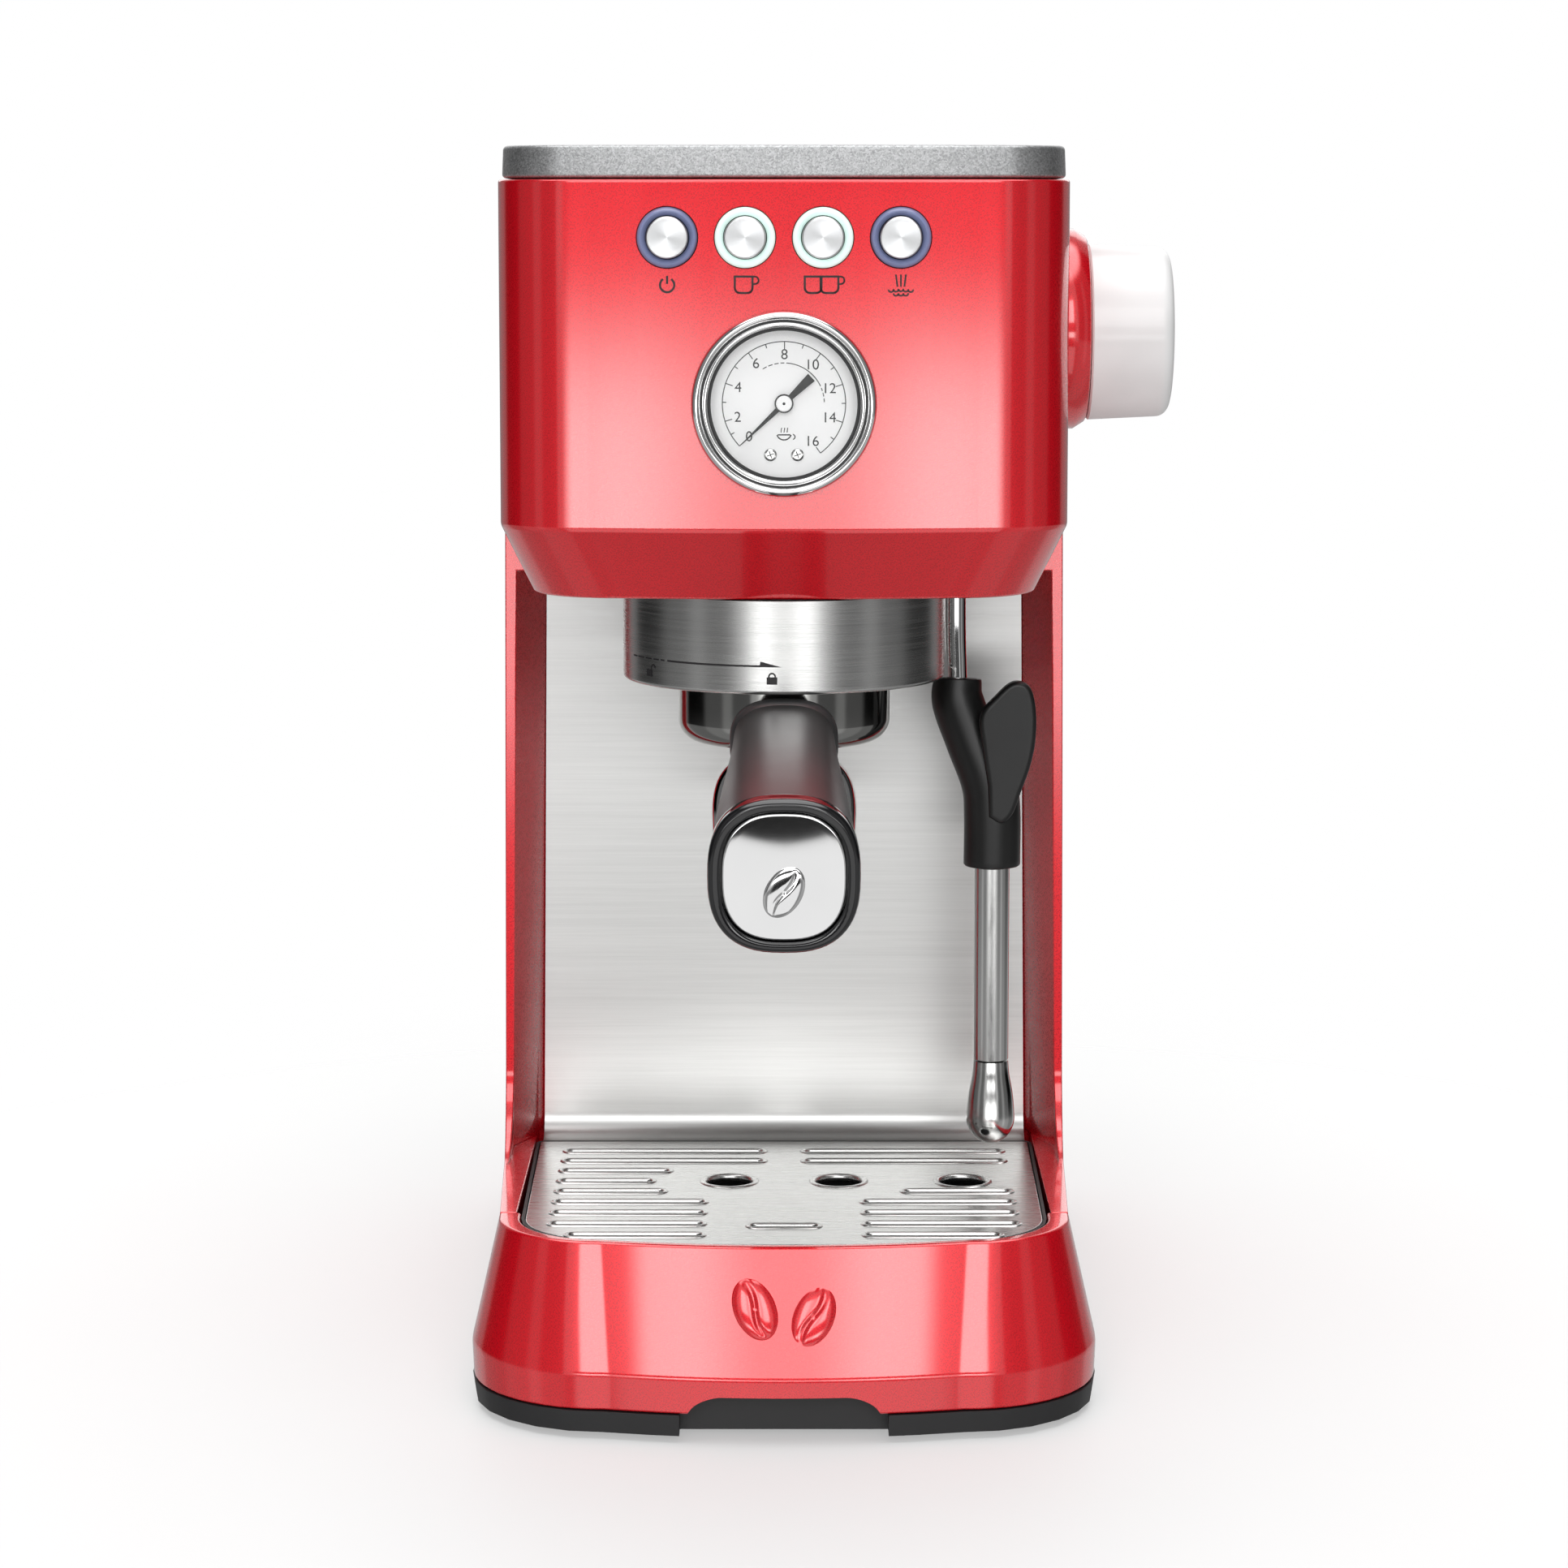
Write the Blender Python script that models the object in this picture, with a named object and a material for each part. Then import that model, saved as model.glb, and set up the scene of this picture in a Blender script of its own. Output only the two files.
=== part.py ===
"""A compact espresso machine, in metres, +Z up, front towards -Y, standing on z = 0.

The machine is laid out around its own symmetry plane (x = 0) and the front face of its splash
panel (y = 0). stand_on_origin() then moves the whole of it so that the centre of its footprint
is the world origin.
"""

import math

import bmesh
import bpy
from mathutils import Matrix, Vector

MM = 0.001
GAP = 0.3 * MM  # air left between two pieces that touch

# Overall sizes
HEIGHT = 382 * MM
BODY_WIDTH = 180 * MM  # across the rear body, under the lid
REAR_Y = 157 * MM
BASE_REACH = 157 * MM  # splash panel to the front of the base
HEAD_REACH = 125 * MM  # splash panel to the front of the head
BASE_HEIGHT = 57.5 * MM
HEAD_HEIGHT = 125 * MM  # underside of the head to the lid seam
LID_HEIGHT = 10 * MM

# Body shell
WALL = 3 * MM
FRONT_TAPER = 4.2 * MM  # the head is this much narrower on each side than the body
COLUMN_FLARE = 2.2 * MM  # the columns widen this much towards the base
BASE_FLARE = 5.5 * MM
BASE_TOP_SETBACK = 11 * MM
BASE_BAND = 11 * MM  # upright band at the foot of the red base
COLUMN_FRONT = 20 * MM  # how far the columns stand forward of the splash panel
COLUMN_FACE = 3.6 * MM
COLUMN_WIDTH = 12 * MM
RAIL_CURVE = 26 * MM
TRAY_SEAM_Y = -105 * MM
HEAD_CHAMFER_HEIGHT = 21.5 * MM
HEAD_CHAMFER_SIDE = 9.3 * MM
HEAD_CHAMFER_FRONT = 12 * MM
HEAD_CORNER = 26 * MM
HEAD_BOW = 4 * MM
BASE_CORNER = 42 * MM
BASE_TOP_CORNER = 31 * MM
BASE_BOW = 6 * MM
REAR_CORNER = 20 * MM
PANEL_THICKNESS = 1.2 * MM
PANEL_BEND = 8 * MM
HEAD_FLOOR_THICKNESS = 2.5 * MM

# Base
FOOT_HEIGHT = 2.2 * MM
FOOT_RADIUS = 9 * MM
FOOT_INSET_X = 26 * MM
FOOT_INSET_Y = 34 * MM
PLATE_FLOOR = 2.5 * MM
PLATE_RIM = 4 * MM
PLATE_HEIGHT = 6.6 * MM
NOTCH_HALF = 30 * MM
NOTCH_RISE = 5.5 * MM
NOTCH_DEPTH = 10 * MM

# Drip tray
RAIL_WIDTH = 10.3 * MM
TRAY_WALL = 2 * MM
TRAY_LIP = 4.2 * MM
TRAY_REAR_Y = -10 * MM
TRAY_FRONT_RIM = 3.5 * MM
GRILLE_THICKNESS = 1.2 * MM
SLOT_WIDTH = 4.4 * MM
DRAIN_RADIUS = 8.4 * MM
DRAIN_SPACING = 34.6 * MM

# Water tank
TANK_FRONT_Y = 80 * MM
TANK_WALL = 2.5 * MM

# Group and portafilter
GROUP_PROUD = 2 * MM  # the collar stands this far forward of the foot of the head
COLLAR_ROOM = 7 * MM  # brew head to the outside of the collar
COLLAR_DROP = 28.5 * MM  # the brushed collar hangs this far below the head
COLLAR_WALL = 1.2 * MM
CASTING_WALL = 4.5 * MM
CASTING_FOOT = 1.5 * MM  # collar to the underside of the brew head
CASTING_RISE = 12 * MM  # brew head above the foot of the head
GASKET_HEIGHT = 7 * MM
RIM_RISE = 9.7 * MM  # collar to the portafilter's rim
BASKET_RIM = 1.2 * MM
BASKET_RADIUS = 28.9 * MM
CUP_WALL = 4.1 * MM
SCREEN_CLEARANCE = 1.9 * MM
CUP_DEPTH = 20 * MM  # portafilter cup below the collar
EAR_REACH = 4.5 * MM
EAR_ROOM = 1 * MM
EAR_HALF_ANGLE = 14
LUG_HALF_ANGLE = 27
EAR_HEIGHT = 4 * MM
SPOUT_HALF = 22.5 * MM
SPOUT_DROP = 29 * MM
HANDLE_LENGTH = 156 * MM
HANDLE_DROP = 18 * MM
HANDLE_HALF_WIDTH = 20.5 * MM
HANDLE_HALF_HEIGHT = 21.4 * MM
NECK_HALF_WIDTH = 15.8 * MM
NECK_HALF_HEIGHT = 13 * MM
NECK_LENGTH = 9.5 * MM
CAP_DEPTH = 4.5 * MM

# Steam wand
WAND_BESIDE_COLLAR = 4.5 * MM
WAND_BEHIND_GROUP = 22 * MM
BALL_RADIUS = 8 * MM
WAND_PIPE_RADIUS = 3.2 * MM
SLEEVE_RADIUS = 5.6 * MM
SLEEVE_OFFSET = 11.5 * MM
GRIP_RADIUS = 9 * MM
GRIP_TOP_DROP = 33 * MM
GRIP_LENGTH = 58 * MM
TIP_RADIUS = 7.8 * MM
TIP_LENGTH = 27 * MM
TIP_GAP = 9 * MM
SOCKET_RADIUS = 12 * MM
BALL_RISE = 6 * MM  # ball above the foot of the head

# Controls
BUTTON_PITCH = 22.9 * MM
BUTTON_RADIUS = 6.2 * MM
BUTTON_RING_RADIUS = 8.9 * MM
BUTTON_DROP = 17 * MM
BUTTON_PROUD = 1.9 * MM
BUTTON_DEPTH = 9 * MM
BUTTON_TRAVEL = 2 * MM
GAUGE_RADIUS = 27.3 * MM
GAUGE_DROP = 65.7 * MM
GAUGE_DEPTH = 27 * MM
KNOB_RADIUS = 27.2 * MM
KNOB_LENGTH = 25.5 * MM
KNOB_Y = -55 * MM
KNOB_DROP = 47 * MM
BEZEL_RADIUS = 31 * MM
BEZEL_HEIGHT = 4.5 * MM
GAUGE_ZERO_DEG = 223.5

# Rear face
SWITCH_X = 48 * MM
SWITCH_SIZE = (21 * MM, 15 * MM)
GLAND_RADIUS = 6.5 * MM
CORD_RADIUS = 3.6 * MM

# Inner works
PUMP_X = 35 * MM
PUMP_Y = 40 * MM
PUMP_RADIUS = 20 * MM
PUMP_LOW = 66 * MM
PUMP_LENGTH = 78 * MM
BOILER_HALF = 36 * MM
BOILER_HEIGHT = 58 * MM

# Smoothness of the facets
CORNER_STEPS = 6
BOW_STEPS = 4
ROUND_STEPS = 24
SMALL_STEPS = 16
COLLAR_STEPS = 36
FLATNESS = math.radians(0.01)

# Heights and widths that follow from the sizes above
BODY_TOP = HEIGHT - LID_HEIGHT
HEAD_BOTTOM = BODY_TOP - HEAD_HEIGHT
SHELL_BOTTOM = FOOT_HEIGHT + PLATE_HEIGHT + GAP
CREASE = SHELL_BOTTOM + BASE_BAND
BODY_HALF = BODY_WIDTH / 2
BASE_HALF = BODY_HALF + BASE_FLARE
COLLAR_BOTTOM = HEAD_BOTTOM - COLLAR_DROP
CUP_RADIUS = BASKET_RADIUS + CUP_WALL
SCREEN_RADIUS = BASKET_RADIUS - SCREEN_CLEARANCE
CASTING_INNER = CUP_RADIUS + EAR_REACH + EAR_ROOM
CASTING_RADIUS = CASTING_INNER + CASTING_WALL
COLLAR_RADIUS = CASTING_RADIUS + COLLAR_ROOM
GROUP_Y = COLLAR_RADIUS - (HEAD_REACH - HEAD_CHAMFER_FRONT) - GROUP_PROUD
WAND_X = COLLAR_RADIUS + WAND_BESIDE_COLLAR
WAND_Y = GROUP_Y + WAND_BEHIND_GROUP
TRAY_HALF = BODY_HALF + COLUMN_FLARE - RAIL_WIDTH - GAP
TRAY_FRONT_Y = -(BASE_REACH - BASE_TOP_SETBACK - TRAY_FRONT_RIM)
GRILLE_TOP = BASE_HEIGHT - 0.5 * MM
RIM_Z = COLLAR_BOTTOM + RIM_RISE
CASTING_BOTTOM = COLLAR_BOTTOM + CASTING_FOOT
CASTING_TOP = HEAD_BOTTOM + CASTING_RISE
BALL_Z = HEAD_BOTTOM + BALL_RISE
FAR = 1.0  # longer than the machine, for cutters that go right through

PAINTS = {
    "red_lacquer": ((0.62, 0.012, 0.02, 1), 0.18, 0.4),
    "black_plastic": ((0.018, 0.018, 0.02, 1), 0.45, 0.0),
    "grip_rubber": ((0.02, 0.02, 0.022, 1), 0.6, 0.0),
    "grey_plastic": ((0.2, 0.2, 0.205, 1), 0.5, 0.3),
    "brushed_steel": ((0.62, 0.62, 0.61, 1), 0.32, 1.0),
    "chrome": ((0.8, 0.8, 0.8, 1), 0.05, 1.0),
    "white_plastic": ((0.85, 0.85, 0.85, 1), 0.35, 0.0),
    "light_ring": ((0.75, 0.85, 0.83, 1), 0.3, 0.0),
    "clear_glass": ((0.9, 0.93, 0.93, 1), 0.02, 0.0),
    "smoked_plastic": ((0.06, 0.06, 0.065, 1), 0.1, 0.0),
    "aluminium": ((0.6, 0.6, 0.6, 1), 0.4, 1.0),
    "brass": ((0.66, 0.48, 0.2, 1), 0.35, 1.0),
    "silicone": ((0.6, 0.6, 0.58, 1), 0.6, 0.0),
    "circuit_green": ((0.02, 0.16, 0.07, 1), 0.5, 0.0),
}


# ---------------------------------------------------------------- building blocks


def material(name):
    """The named finish, made once."""
    found = bpy.data.materials.get(name)
    if found:
        return found
    colour, roughness, metallic = PAINTS[name]
    made = bpy.data.materials.new(name)
    made.use_nodes = True
    surface = made.node_tree.nodes["Principled BSDF"]
    surface.inputs["Base Color"].default_value = colour
    surface.inputs["Roughness"].default_value = roughness
    surface.inputs["Metallic"].default_value = metallic
    return made


def finish(bm, name, paint):
    """Closes a bmesh into an object of the machine, shaded smooth except at sharp edges."""
    bmesh.ops.remove_doubles(bm, verts=bm.verts, dist=1e-6)
    bmesh.ops.recalc_face_normals(bm, faces=bm.faces)
    mesh = bpy.data.meshes.new(name)
    bm.to_mesh(mesh)
    bm.free()
    mesh.materials.append(material(paint))
    mesh.shade_smooth()
    mesh.set_sharp_from_angle(angle=math.radians(35))
    made = bpy.data.objects.new(name, mesh)
    bpy.context.scene.collection.objects.link(made)
    made.parent = bpy.data.objects["machine"]
    return made


def pivot(made, point, parent=None):
    """Puts an object's origin at a point of the machine, and parents it to an axis empty."""
    point = Vector(point)
    made.data.transform(Matrix.Translation(-point))
    made.location = point
    if parent:
        made.parent = parent
        made.location = point - parent.location
    return made


def axis_empty(name, point):
    empty = bpy.data.objects.new(name, None)
    bpy.context.scene.collection.objects.link(empty)
    empty.parent = bpy.data.objects["machine"]
    empty.location = point
    return empty


def as_cutter(made):
    made.hide_render = True
    made.display_type = "WIRE"
    return made


def boolean(target, others, operation):
    for other in others:
        modifier = target.modifiers.new(other.name, "BOOLEAN")
        modifier.operation = operation
        modifier.solver = "EXACT"
        modifier.object = as_cutter(other)
    return target


def cut(target, *cutters):
    return boolean(target, cutters, "DIFFERENCE")


def fuse(target, *others):
    return boolean(target, others, "UNION")


def box(name, low, high, paint="black_plastic"):
    bm = bmesh.new()
    low, high = Vector(low), Vector(high)
    bmesh.ops.create_cube(bm, size=1)
    bmesh.ops.scale(bm, vec=high - low, verts=bm.verts)
    bmesh.ops.translate(bm, vec=(low + high) / 2, verts=bm.verts)
    return finish(bm, name, paint)


def loft(name, sections, paint="black_plastic"):
    """A solid through level outlines: sections are (height, outline), lowest first. Twisted
    side faces are split, so that every face is flat."""
    bm = bmesh.new()
    rings = []
    for height, points in sections:
        verts = [bm.verts.new((x, y, height)) for x, y in points]
        edges = [bm.edges.new((a, b)) for a, b in zip(verts, verts[1:] + verts[:1])]
        rings.append((verts, edges))
    for (_, lower), (_, upper) in zip(rings, rings[1:]):
        bmesh.ops.bridge_loops(bm, edges=lower + upper)
    bmesh.ops.connect_verts_nonplanar(bm, angle_limit=FLATNESS, faces=bm.faces)
    for verts, _ in (rings[0], rings[-1]):
        bm.faces.new(verts)
    return finish(bm, name, paint)


def prism(name, points, low, high, axis="X", paint="black_plastic"):
    """A flat outline pushed along an axis. Points are (y, z) for X, (x, z) for Y, (x, y) for Z."""
    place = {
        "X": lambda a, b, t: (t, a, b),
        "Y": lambda a, b, t: (a, t, b),
        "Z": lambda a, b, t: (a, b, t),
    }[axis]
    bm = bmesh.new()
    face = bm.faces.new([bm.verts.new(place(a, b, low)) for a, b in points])
    pushed = bmesh.ops.extrude_face_region(bm, geom=[face])["geom"]
    verts = [v for v in pushed if isinstance(v, bmesh.types.BMVert)]
    bmesh.ops.translate(bm, vec=place(0, 0, high - low), verts=verts)
    return finish(bm, name, paint)


TURNS = {
    "Z": Matrix.Identity(4),
    "Y": Matrix.Rotation(-math.pi / 2, 4, "X"),
    "X": Matrix.Rotation(math.pi / 2, 4, "Y"),
}


def lathe(name, profile, paint, centre=(0, 0, 0), axis="Z", steps=ROUND_STEPS):
    """Turns (radius, distance along the axis) points. A profile off the axis closes on itself."""
    bm = bmesh.new()
    verts = [bm.verts.new((radius, 0, along)) for radius, along in profile]
    edges = [bm.edges.new(pair) for pair in zip(verts, verts[1:])]
    if profile[0][0] > 0:
        edges.append(bm.edges.new((verts[-1], verts[0])))
    bmesh.ops.spin(
        bm,
        geom=verts + edges,
        cent=(0, 0, 0),
        axis=(0, 0, 1),
        angle=math.tau,
        steps=steps,
        use_merge=True,
        use_duplicate=False,
    )
    bmesh.ops.transform(bm, matrix=Matrix.Translation(centre) @ TURNS[axis], verts=bm.verts)
    return finish(bm, name, paint)


def rod(
    name,
    radius,
    low,
    high,
    paint="black_plastic",
    centre=(0, 0, 0),
    axis="Z",
    steps=SMALL_STEPS,
):
    profile = [(0, low), (radius, low), (radius, high), (0, high)]
    return lathe(name, profile, paint, centre, axis, steps)


def sector(name, inner, outer, low, high, start, end, paint="chrome", steps=6):
    """Part of a flat ring about Z, between two angles in degrees."""
    angles = [math.radians(start + (end - start) * i / steps) for i in range(steps + 1)]
    points = [(outer * math.cos(a), outer * math.sin(a)) for a in angles]
    points += [(inner * math.cos(a), inner * math.sin(a)) for a in reversed(angles)]
    return prism(name, points, low, high, "Z", paint)


def sweep(name, stations, paint, steps=20, squareness=2.0):
    """A solid along stations of (centre, half width, half height), square to its own path."""
    centres = [Vector(station[0]) for station in stations]
    bm = bmesh.new()
    rings = []
    for i, (_, half_width, half_height) in enumerate(stations):
        ahead = centres[min(i + 1, len(centres) - 1)]
        behind = centres[max(i - 1, 0)]
        along = (ahead - behind).normalized()
        reference = Vector((1, 0, 0)) if abs(along.x) < 0.9 else Vector((0, 1, 0))
        across = (reference - along * reference.dot(along)).normalized()
        upward = across.cross(along)
        verts = []
        for k in range(steps):
            c, s = math.cos(math.tau * k / steps), math.sin(math.tau * k / steps)
            a = math.copysign(abs(c) ** (2 / squareness), c) * half_width
            b = math.copysign(abs(s) ** (2 / squareness), s) * half_height
            verts.append(bm.verts.new(centres[i] + across * a + upward * b))
        edges = [bm.edges.new(pair) for pair in zip(verts, verts[1:] + verts[:1])]
        rings.append((verts, edges))
    for (_, before), (_, after) in zip(rings, rings[1:]):
        bmesh.ops.bridge_loops(bm, edges=before + after)
    for verts, _ in (rings[0], rings[-1]):
        bm.faces.new(verts)
    return finish(bm, name, paint)


def smooth_route(points, count):
    """A Catmull-Rom curve through the points, as `count` steps for each stretch."""
    points = [Vector(p) for p in points]
    ends = [points[0] * 2 - points[1], *points, points[-1] * 2 - points[-2]]
    route = []
    for a, b, c, d in zip(ends, ends[1:], ends[2:], ends[3:]):
        for i in range(count):
            t = i / count
            route.append(
                0.5
                * (
                    2 * b
                    + (c - a) * t
                    + (2 * a - 5 * b + 4 * c - d) * t**2
                    + (3 * b - a - 3 * c + d) * t**3
                )
            )
    return [*route, points[-1]]


def hose(name, points, radius, paint, count=5):
    """A fixed hose or pipe: a round tube with filled ends along a smooth route."""
    curve = bpy.data.curves.new(name, "CURVE")
    curve.dimensions = "3D"
    curve.bevel_depth = radius
    curve.bevel_resolution = 2
    curve.use_fill_caps = True
    route = smooth_route(points, count)
    spline = curve.splines.new("POLY")
    spline.points.add(len(route) - 1)
    for point, place in zip(spline.points, route):
        point.co = (*place, 1)
    curve.materials.append(material(paint))
    made = bpy.data.objects.new(name, curve)
    bpy.context.scene.collection.objects.link(made)
    made.parent = bpy.data.objects["machine"]
    return made


# ---------------------------------------------------------------- plan outlines


def outline(front_half, rear_half, front_y, rear_y, front_corner, rear_corner, bow=0.0, knee_y=0.0):
    """A plan outline, anticlockwise from the middle of the front: a bowed front, two rounded front
    corners, sides that widen up to knee_y and then run straight, and a rounded rear."""
    flat = front_half - front_corner
    right = []
    for i in range(BOW_STEPS + 1):
        x = flat * i / BOW_STEPS
        right.append((x, front_y + bow * (x / flat) ** 2))
    centre_y = front_y + bow + front_corner
    for i in range(1, CORNER_STEPS + 1):
        a = math.pi / 2 * (i / CORNER_STEPS - 1)
        right.append((flat + front_corner * math.cos(a), centre_y + front_corner * math.sin(a)))
    right.append((rear_half, knee_y))
    for i in range(CORNER_STEPS + 1):
        a = math.pi / 2 * i / CORNER_STEPS
        x = rear_half - rear_corner + rear_corner * math.cos(a)
        right.append((x, rear_y - rear_corner + rear_corner * math.sin(a)))
    left = [(-x, y) for x, y in reversed(right) if x > 1e-9]
    return right + left


def base_outline(share, inset=0.0):
    """The base in plan, from its crease (share 0) up to its top edge (share 1)."""
    front_half = BASE_HALF + share * (BODY_HALF - FRONT_TAPER + COLUMN_FLARE / 2 - BASE_HALF)
    rear_half = BASE_HALF + share * (BODY_HALF + COLUMN_FLARE - BASE_HALF)
    front_y = -(BASE_REACH - share * BASE_TOP_SETBACK)
    corner = BASE_CORNER + share * (BASE_TOP_CORNER - BASE_CORNER)
    return outline(
        front_half - inset,
        rear_half - inset,
        front_y + inset,
        REAR_Y - inset,
        corner - inset,
        REAR_CORNER - inset,
        BASE_BOW,
    )


def head_outline(share, inset=0.0):
    """The head in plan, from its underside (share 0) up to the top of its chamfer (share 1)."""
    side = (1 - share) * HEAD_CHAMFER_SIDE + inset
    front = (1 - share) * HEAD_CHAMFER_FRONT + inset
    return outline(
        BODY_HALF - FRONT_TAPER - side,
        BODY_HALF - side,
        -(HEAD_REACH - front),
        REAR_Y - inset,
        HEAD_CORNER - inset,
        REAR_CORNER - inset,
        HEAD_BOW,
    )


def body_outline(flare, inset=0.0):
    """The rear body in plan; flare is the share of the columns' widening."""
    half = BODY_HALF + flare * COLUMN_FLARE - inset
    return outline(
        half - FRONT_TAPER,
        half,
        -(HEAD_REACH - inset),
        REAR_Y - inset,
        HEAD_CORNER - inset,
        REAR_CORNER - inset,
        HEAD_BOW,
    )


def head_face_y(x):
    """Where the bowed front of the head is, x from the middle."""
    flat = BODY_HALF - FRONT_TAPER - HEAD_CORNER
    return -HEAD_REACH + HEAD_BOW * (x / flat) ** 2


def head_side_x(y):
    """Where the side of the head is, at a depth between its front corner and the knee."""
    corner_y = -HEAD_REACH + HEAD_BOW + HEAD_CORNER
    return BODY_HALF - FRONT_TAPER * (y / corner_y)


def arc(centre, radius, start, end, steps=CORNER_STEPS):
    """Points on an arc, angles in degrees."""
    angles = [math.radians(start + (end - start) * i / steps) for i in range(steps + 1)]
    return [(centre[0] + radius * math.cos(a), centre[1] + radius * math.sin(a)) for a in angles]


# ---------------------------------------------------------------- housing


def build_base_plate():
    plate = loft(
        "base_plate",
        [(FOOT_HEIGHT, base_outline(0, 1 * MM)), (FOOT_HEIGHT + PLATE_HEIGHT, base_outline(0))],
    )
    pocket_low = FOOT_HEIGHT + PLATE_FLOOR
    pocket = loft(
        "base_plate_pocket",
        [(pocket_low, base_outline(0, PLATE_RIM)), (FAR, base_outline(0, PLATE_RIM))],
    )
    notch = box(
        "base_plate_notch",
        (-NOTCH_HALF - 1 * MM, -FAR, -FAR),
        (NOTCH_HALF + 1 * MM, -BASE_REACH + NOTCH_DEPTH, FAR),
    )
    wall_half = NOTCH_HALF + PLATE_RIM
    wall_back = -BASE_REACH + NOTCH_DEPTH + PLATE_RIM
    low_wall = box(
        "base_plate_low_wall",
        (-wall_half, -BASE_REACH + PLATE_RIM / 2 + BASE_BOW / 2, FOOT_HEIGHT + PLATE_FLOOR / 2),
        (wall_half, wall_back, FOOT_HEIGHT + PLATE_HEIGHT),
    )
    high_wall = box(
        "base_plate_high_wall",
        (-wall_half, -BASE_REACH + NOTCH_DEPTH - GAP, FOOT_HEIGHT + PLATE_FLOOR / 2),
        (wall_half, wall_back, SHELL_BOTTOM + NOTCH_RISE - GAP),
    )
    cut(plate, pocket)
    fuse(plate, low_wall, high_wall)
    return cut(plate, notch)


def build_feet():
    x = BASE_HALF - FOOT_INSET_X
    spots = {
        "foot_front_left": (-x, -BASE_REACH + FOOT_INSET_Y),
        "foot_front_right": (x, -BASE_REACH + FOOT_INSET_Y),
        "foot_rear_left": (-x, REAR_Y - FOOT_INSET_Y),
        "foot_rear_right": (x, REAR_Y - FOOT_INSET_Y),
    }
    edge = 0.6 * MM
    profile = [
        (0, 0),
        (FOOT_RADIUS - edge, 0),
        (FOOT_RADIUS, edge),
        (FOOT_RADIUS, FOOT_HEIGHT - GAP),
        (0, FOOT_HEIGHT - GAP),
    ]
    for name, (foot_x, foot_y) in spots.items():
        lathe(name, profile, "grip_rubber", (foot_x, foot_y, 0), steps=SMALL_STEPS)


def rear_fittings_z():
    return (SHELL_BOTTOM + BASE_HEIGHT) / 2


def build_body_shell():
    shell = loft(
        "body_shell",
        [
            (SHELL_BOTTOM, base_outline(0, 0.5 * MM)),
            (CREASE, base_outline(0)),
            (BASE_HEIGHT, base_outline(1)),
            (HEAD_BOTTOM, body_outline(0)),
            (BODY_TOP, body_outline(0)),
        ],
        "red_lacquer",
    )
    curve_top = BASE_HEIGHT + RAIL_CURVE
    bay_side = prism(
        "bay_side_cut",
        [(-FAR, BASE_HEIGHT)]
        + arc((-COLUMN_FRONT - RAIL_CURVE, curve_top), RAIL_CURVE, -90, 0)
        + [(-COLUMN_FRONT, FAR), (-FAR, FAR)],
        -FAR,
        FAR,
    )

    def pocket_outline(widen):
        panel_half = BODY_HALF - COLUMN_WIDTH + widen
        face_half = BODY_HALF - COLUMN_FACE + widen
        back = PANEL_THICKNESS + 2 * GAP
        right = [(face_half, -FAR), (face_half, -COLUMN_FRONT), (panel_half, 0), (panel_half, back)]
        return right + [(-x, y) for x, y in reversed(right)]

    pocket = loft(
        "bay_pocket_cut",
        [
            (BASE_HEIGHT, pocket_outline(COLUMN_FLARE)),
            (HEAD_BOTTOM, pocket_outline(0)),
        ],
    )
    window_half = BODY_HALF - COLUMN_WIDTH - 6 * MM
    window = box("bay_window_cut", (-window_half, -COLUMN_FRONT, 75 * MM), (window_half, 5 * MM, FAR))
    tray_slot = box(
        "tray_slot_cut",
        (-TRAY_HALF - GAP, -FAR, -FAR),
        (TRAY_HALF + GAP, PANEL_THICKNESS + 2 * GAP, BASE_HEIGHT + 1 * MM),
    )
    front_off = box("shell_front_cut", (-FAR, -FAR, -FAR), (FAR, TRAY_SEAM_Y, FAR))
    inner_half = BODY_HALF - WALL
    cavity = box(
        "body_cavity_cut", (-inner_half, 3 * MM, -FAR), (inner_half, TANK_FRONT_Y - WALL, FAR)
    )
    base_cavity = loft(
        "base_cavity_cut",
        [
            (-FAR, [(x, max(y, 4 * MM)) for x, y in base_outline(0, WALL + 1 * MM)]),
            (CREASE, [(x, max(y, 4 * MM)) for x, y in base_outline(0, WALL + 1 * MM)]),
            (
                BASE_HEIGHT - WALL,
                [(x, max(y, 4 * MM)) for x, y in base_outline(1, WALL + 1 * MM)],
            ),
        ],
    )
    rear_off = box("tank_bay_cut", (-FAR, TANK_FRONT_Y, BASE_HEIGHT), (FAR, FAR, FAR))
    z = rear_fittings_z()
    switch = box(
        "switch_cut",
        (SWITCH_X - SWITCH_SIZE[0] / 2, REAR_Y - 20 * MM, z - SWITCH_SIZE[1] / 2),
        (SWITCH_X + SWITCH_SIZE[0] / 2, FAR, z + SWITCH_SIZE[1] / 2),
    )
    gland = rod(
        "gland_cut", GLAND_RADIUS, REAR_Y - 20 * MM, FAR, centre=(-SWITCH_X, 0, z), axis="Y"
    )
    inlet = rod("inlet_cut", 8 * MM, 0, 2 * BASE_HEIGHT, centre=(0, inlet_y(), 0))
    cut(shell, bay_side, pocket, window, tray_slot, front_off, cavity, rear_off)
    cut(shell, base_cavity, switch, gland, inlet)
    return shell


def inlet_y():
    """The middle of the tank, where its outlet sits in the dock."""
    return (TANK_FRONT_Y + REAR_Y) / 2


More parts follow.
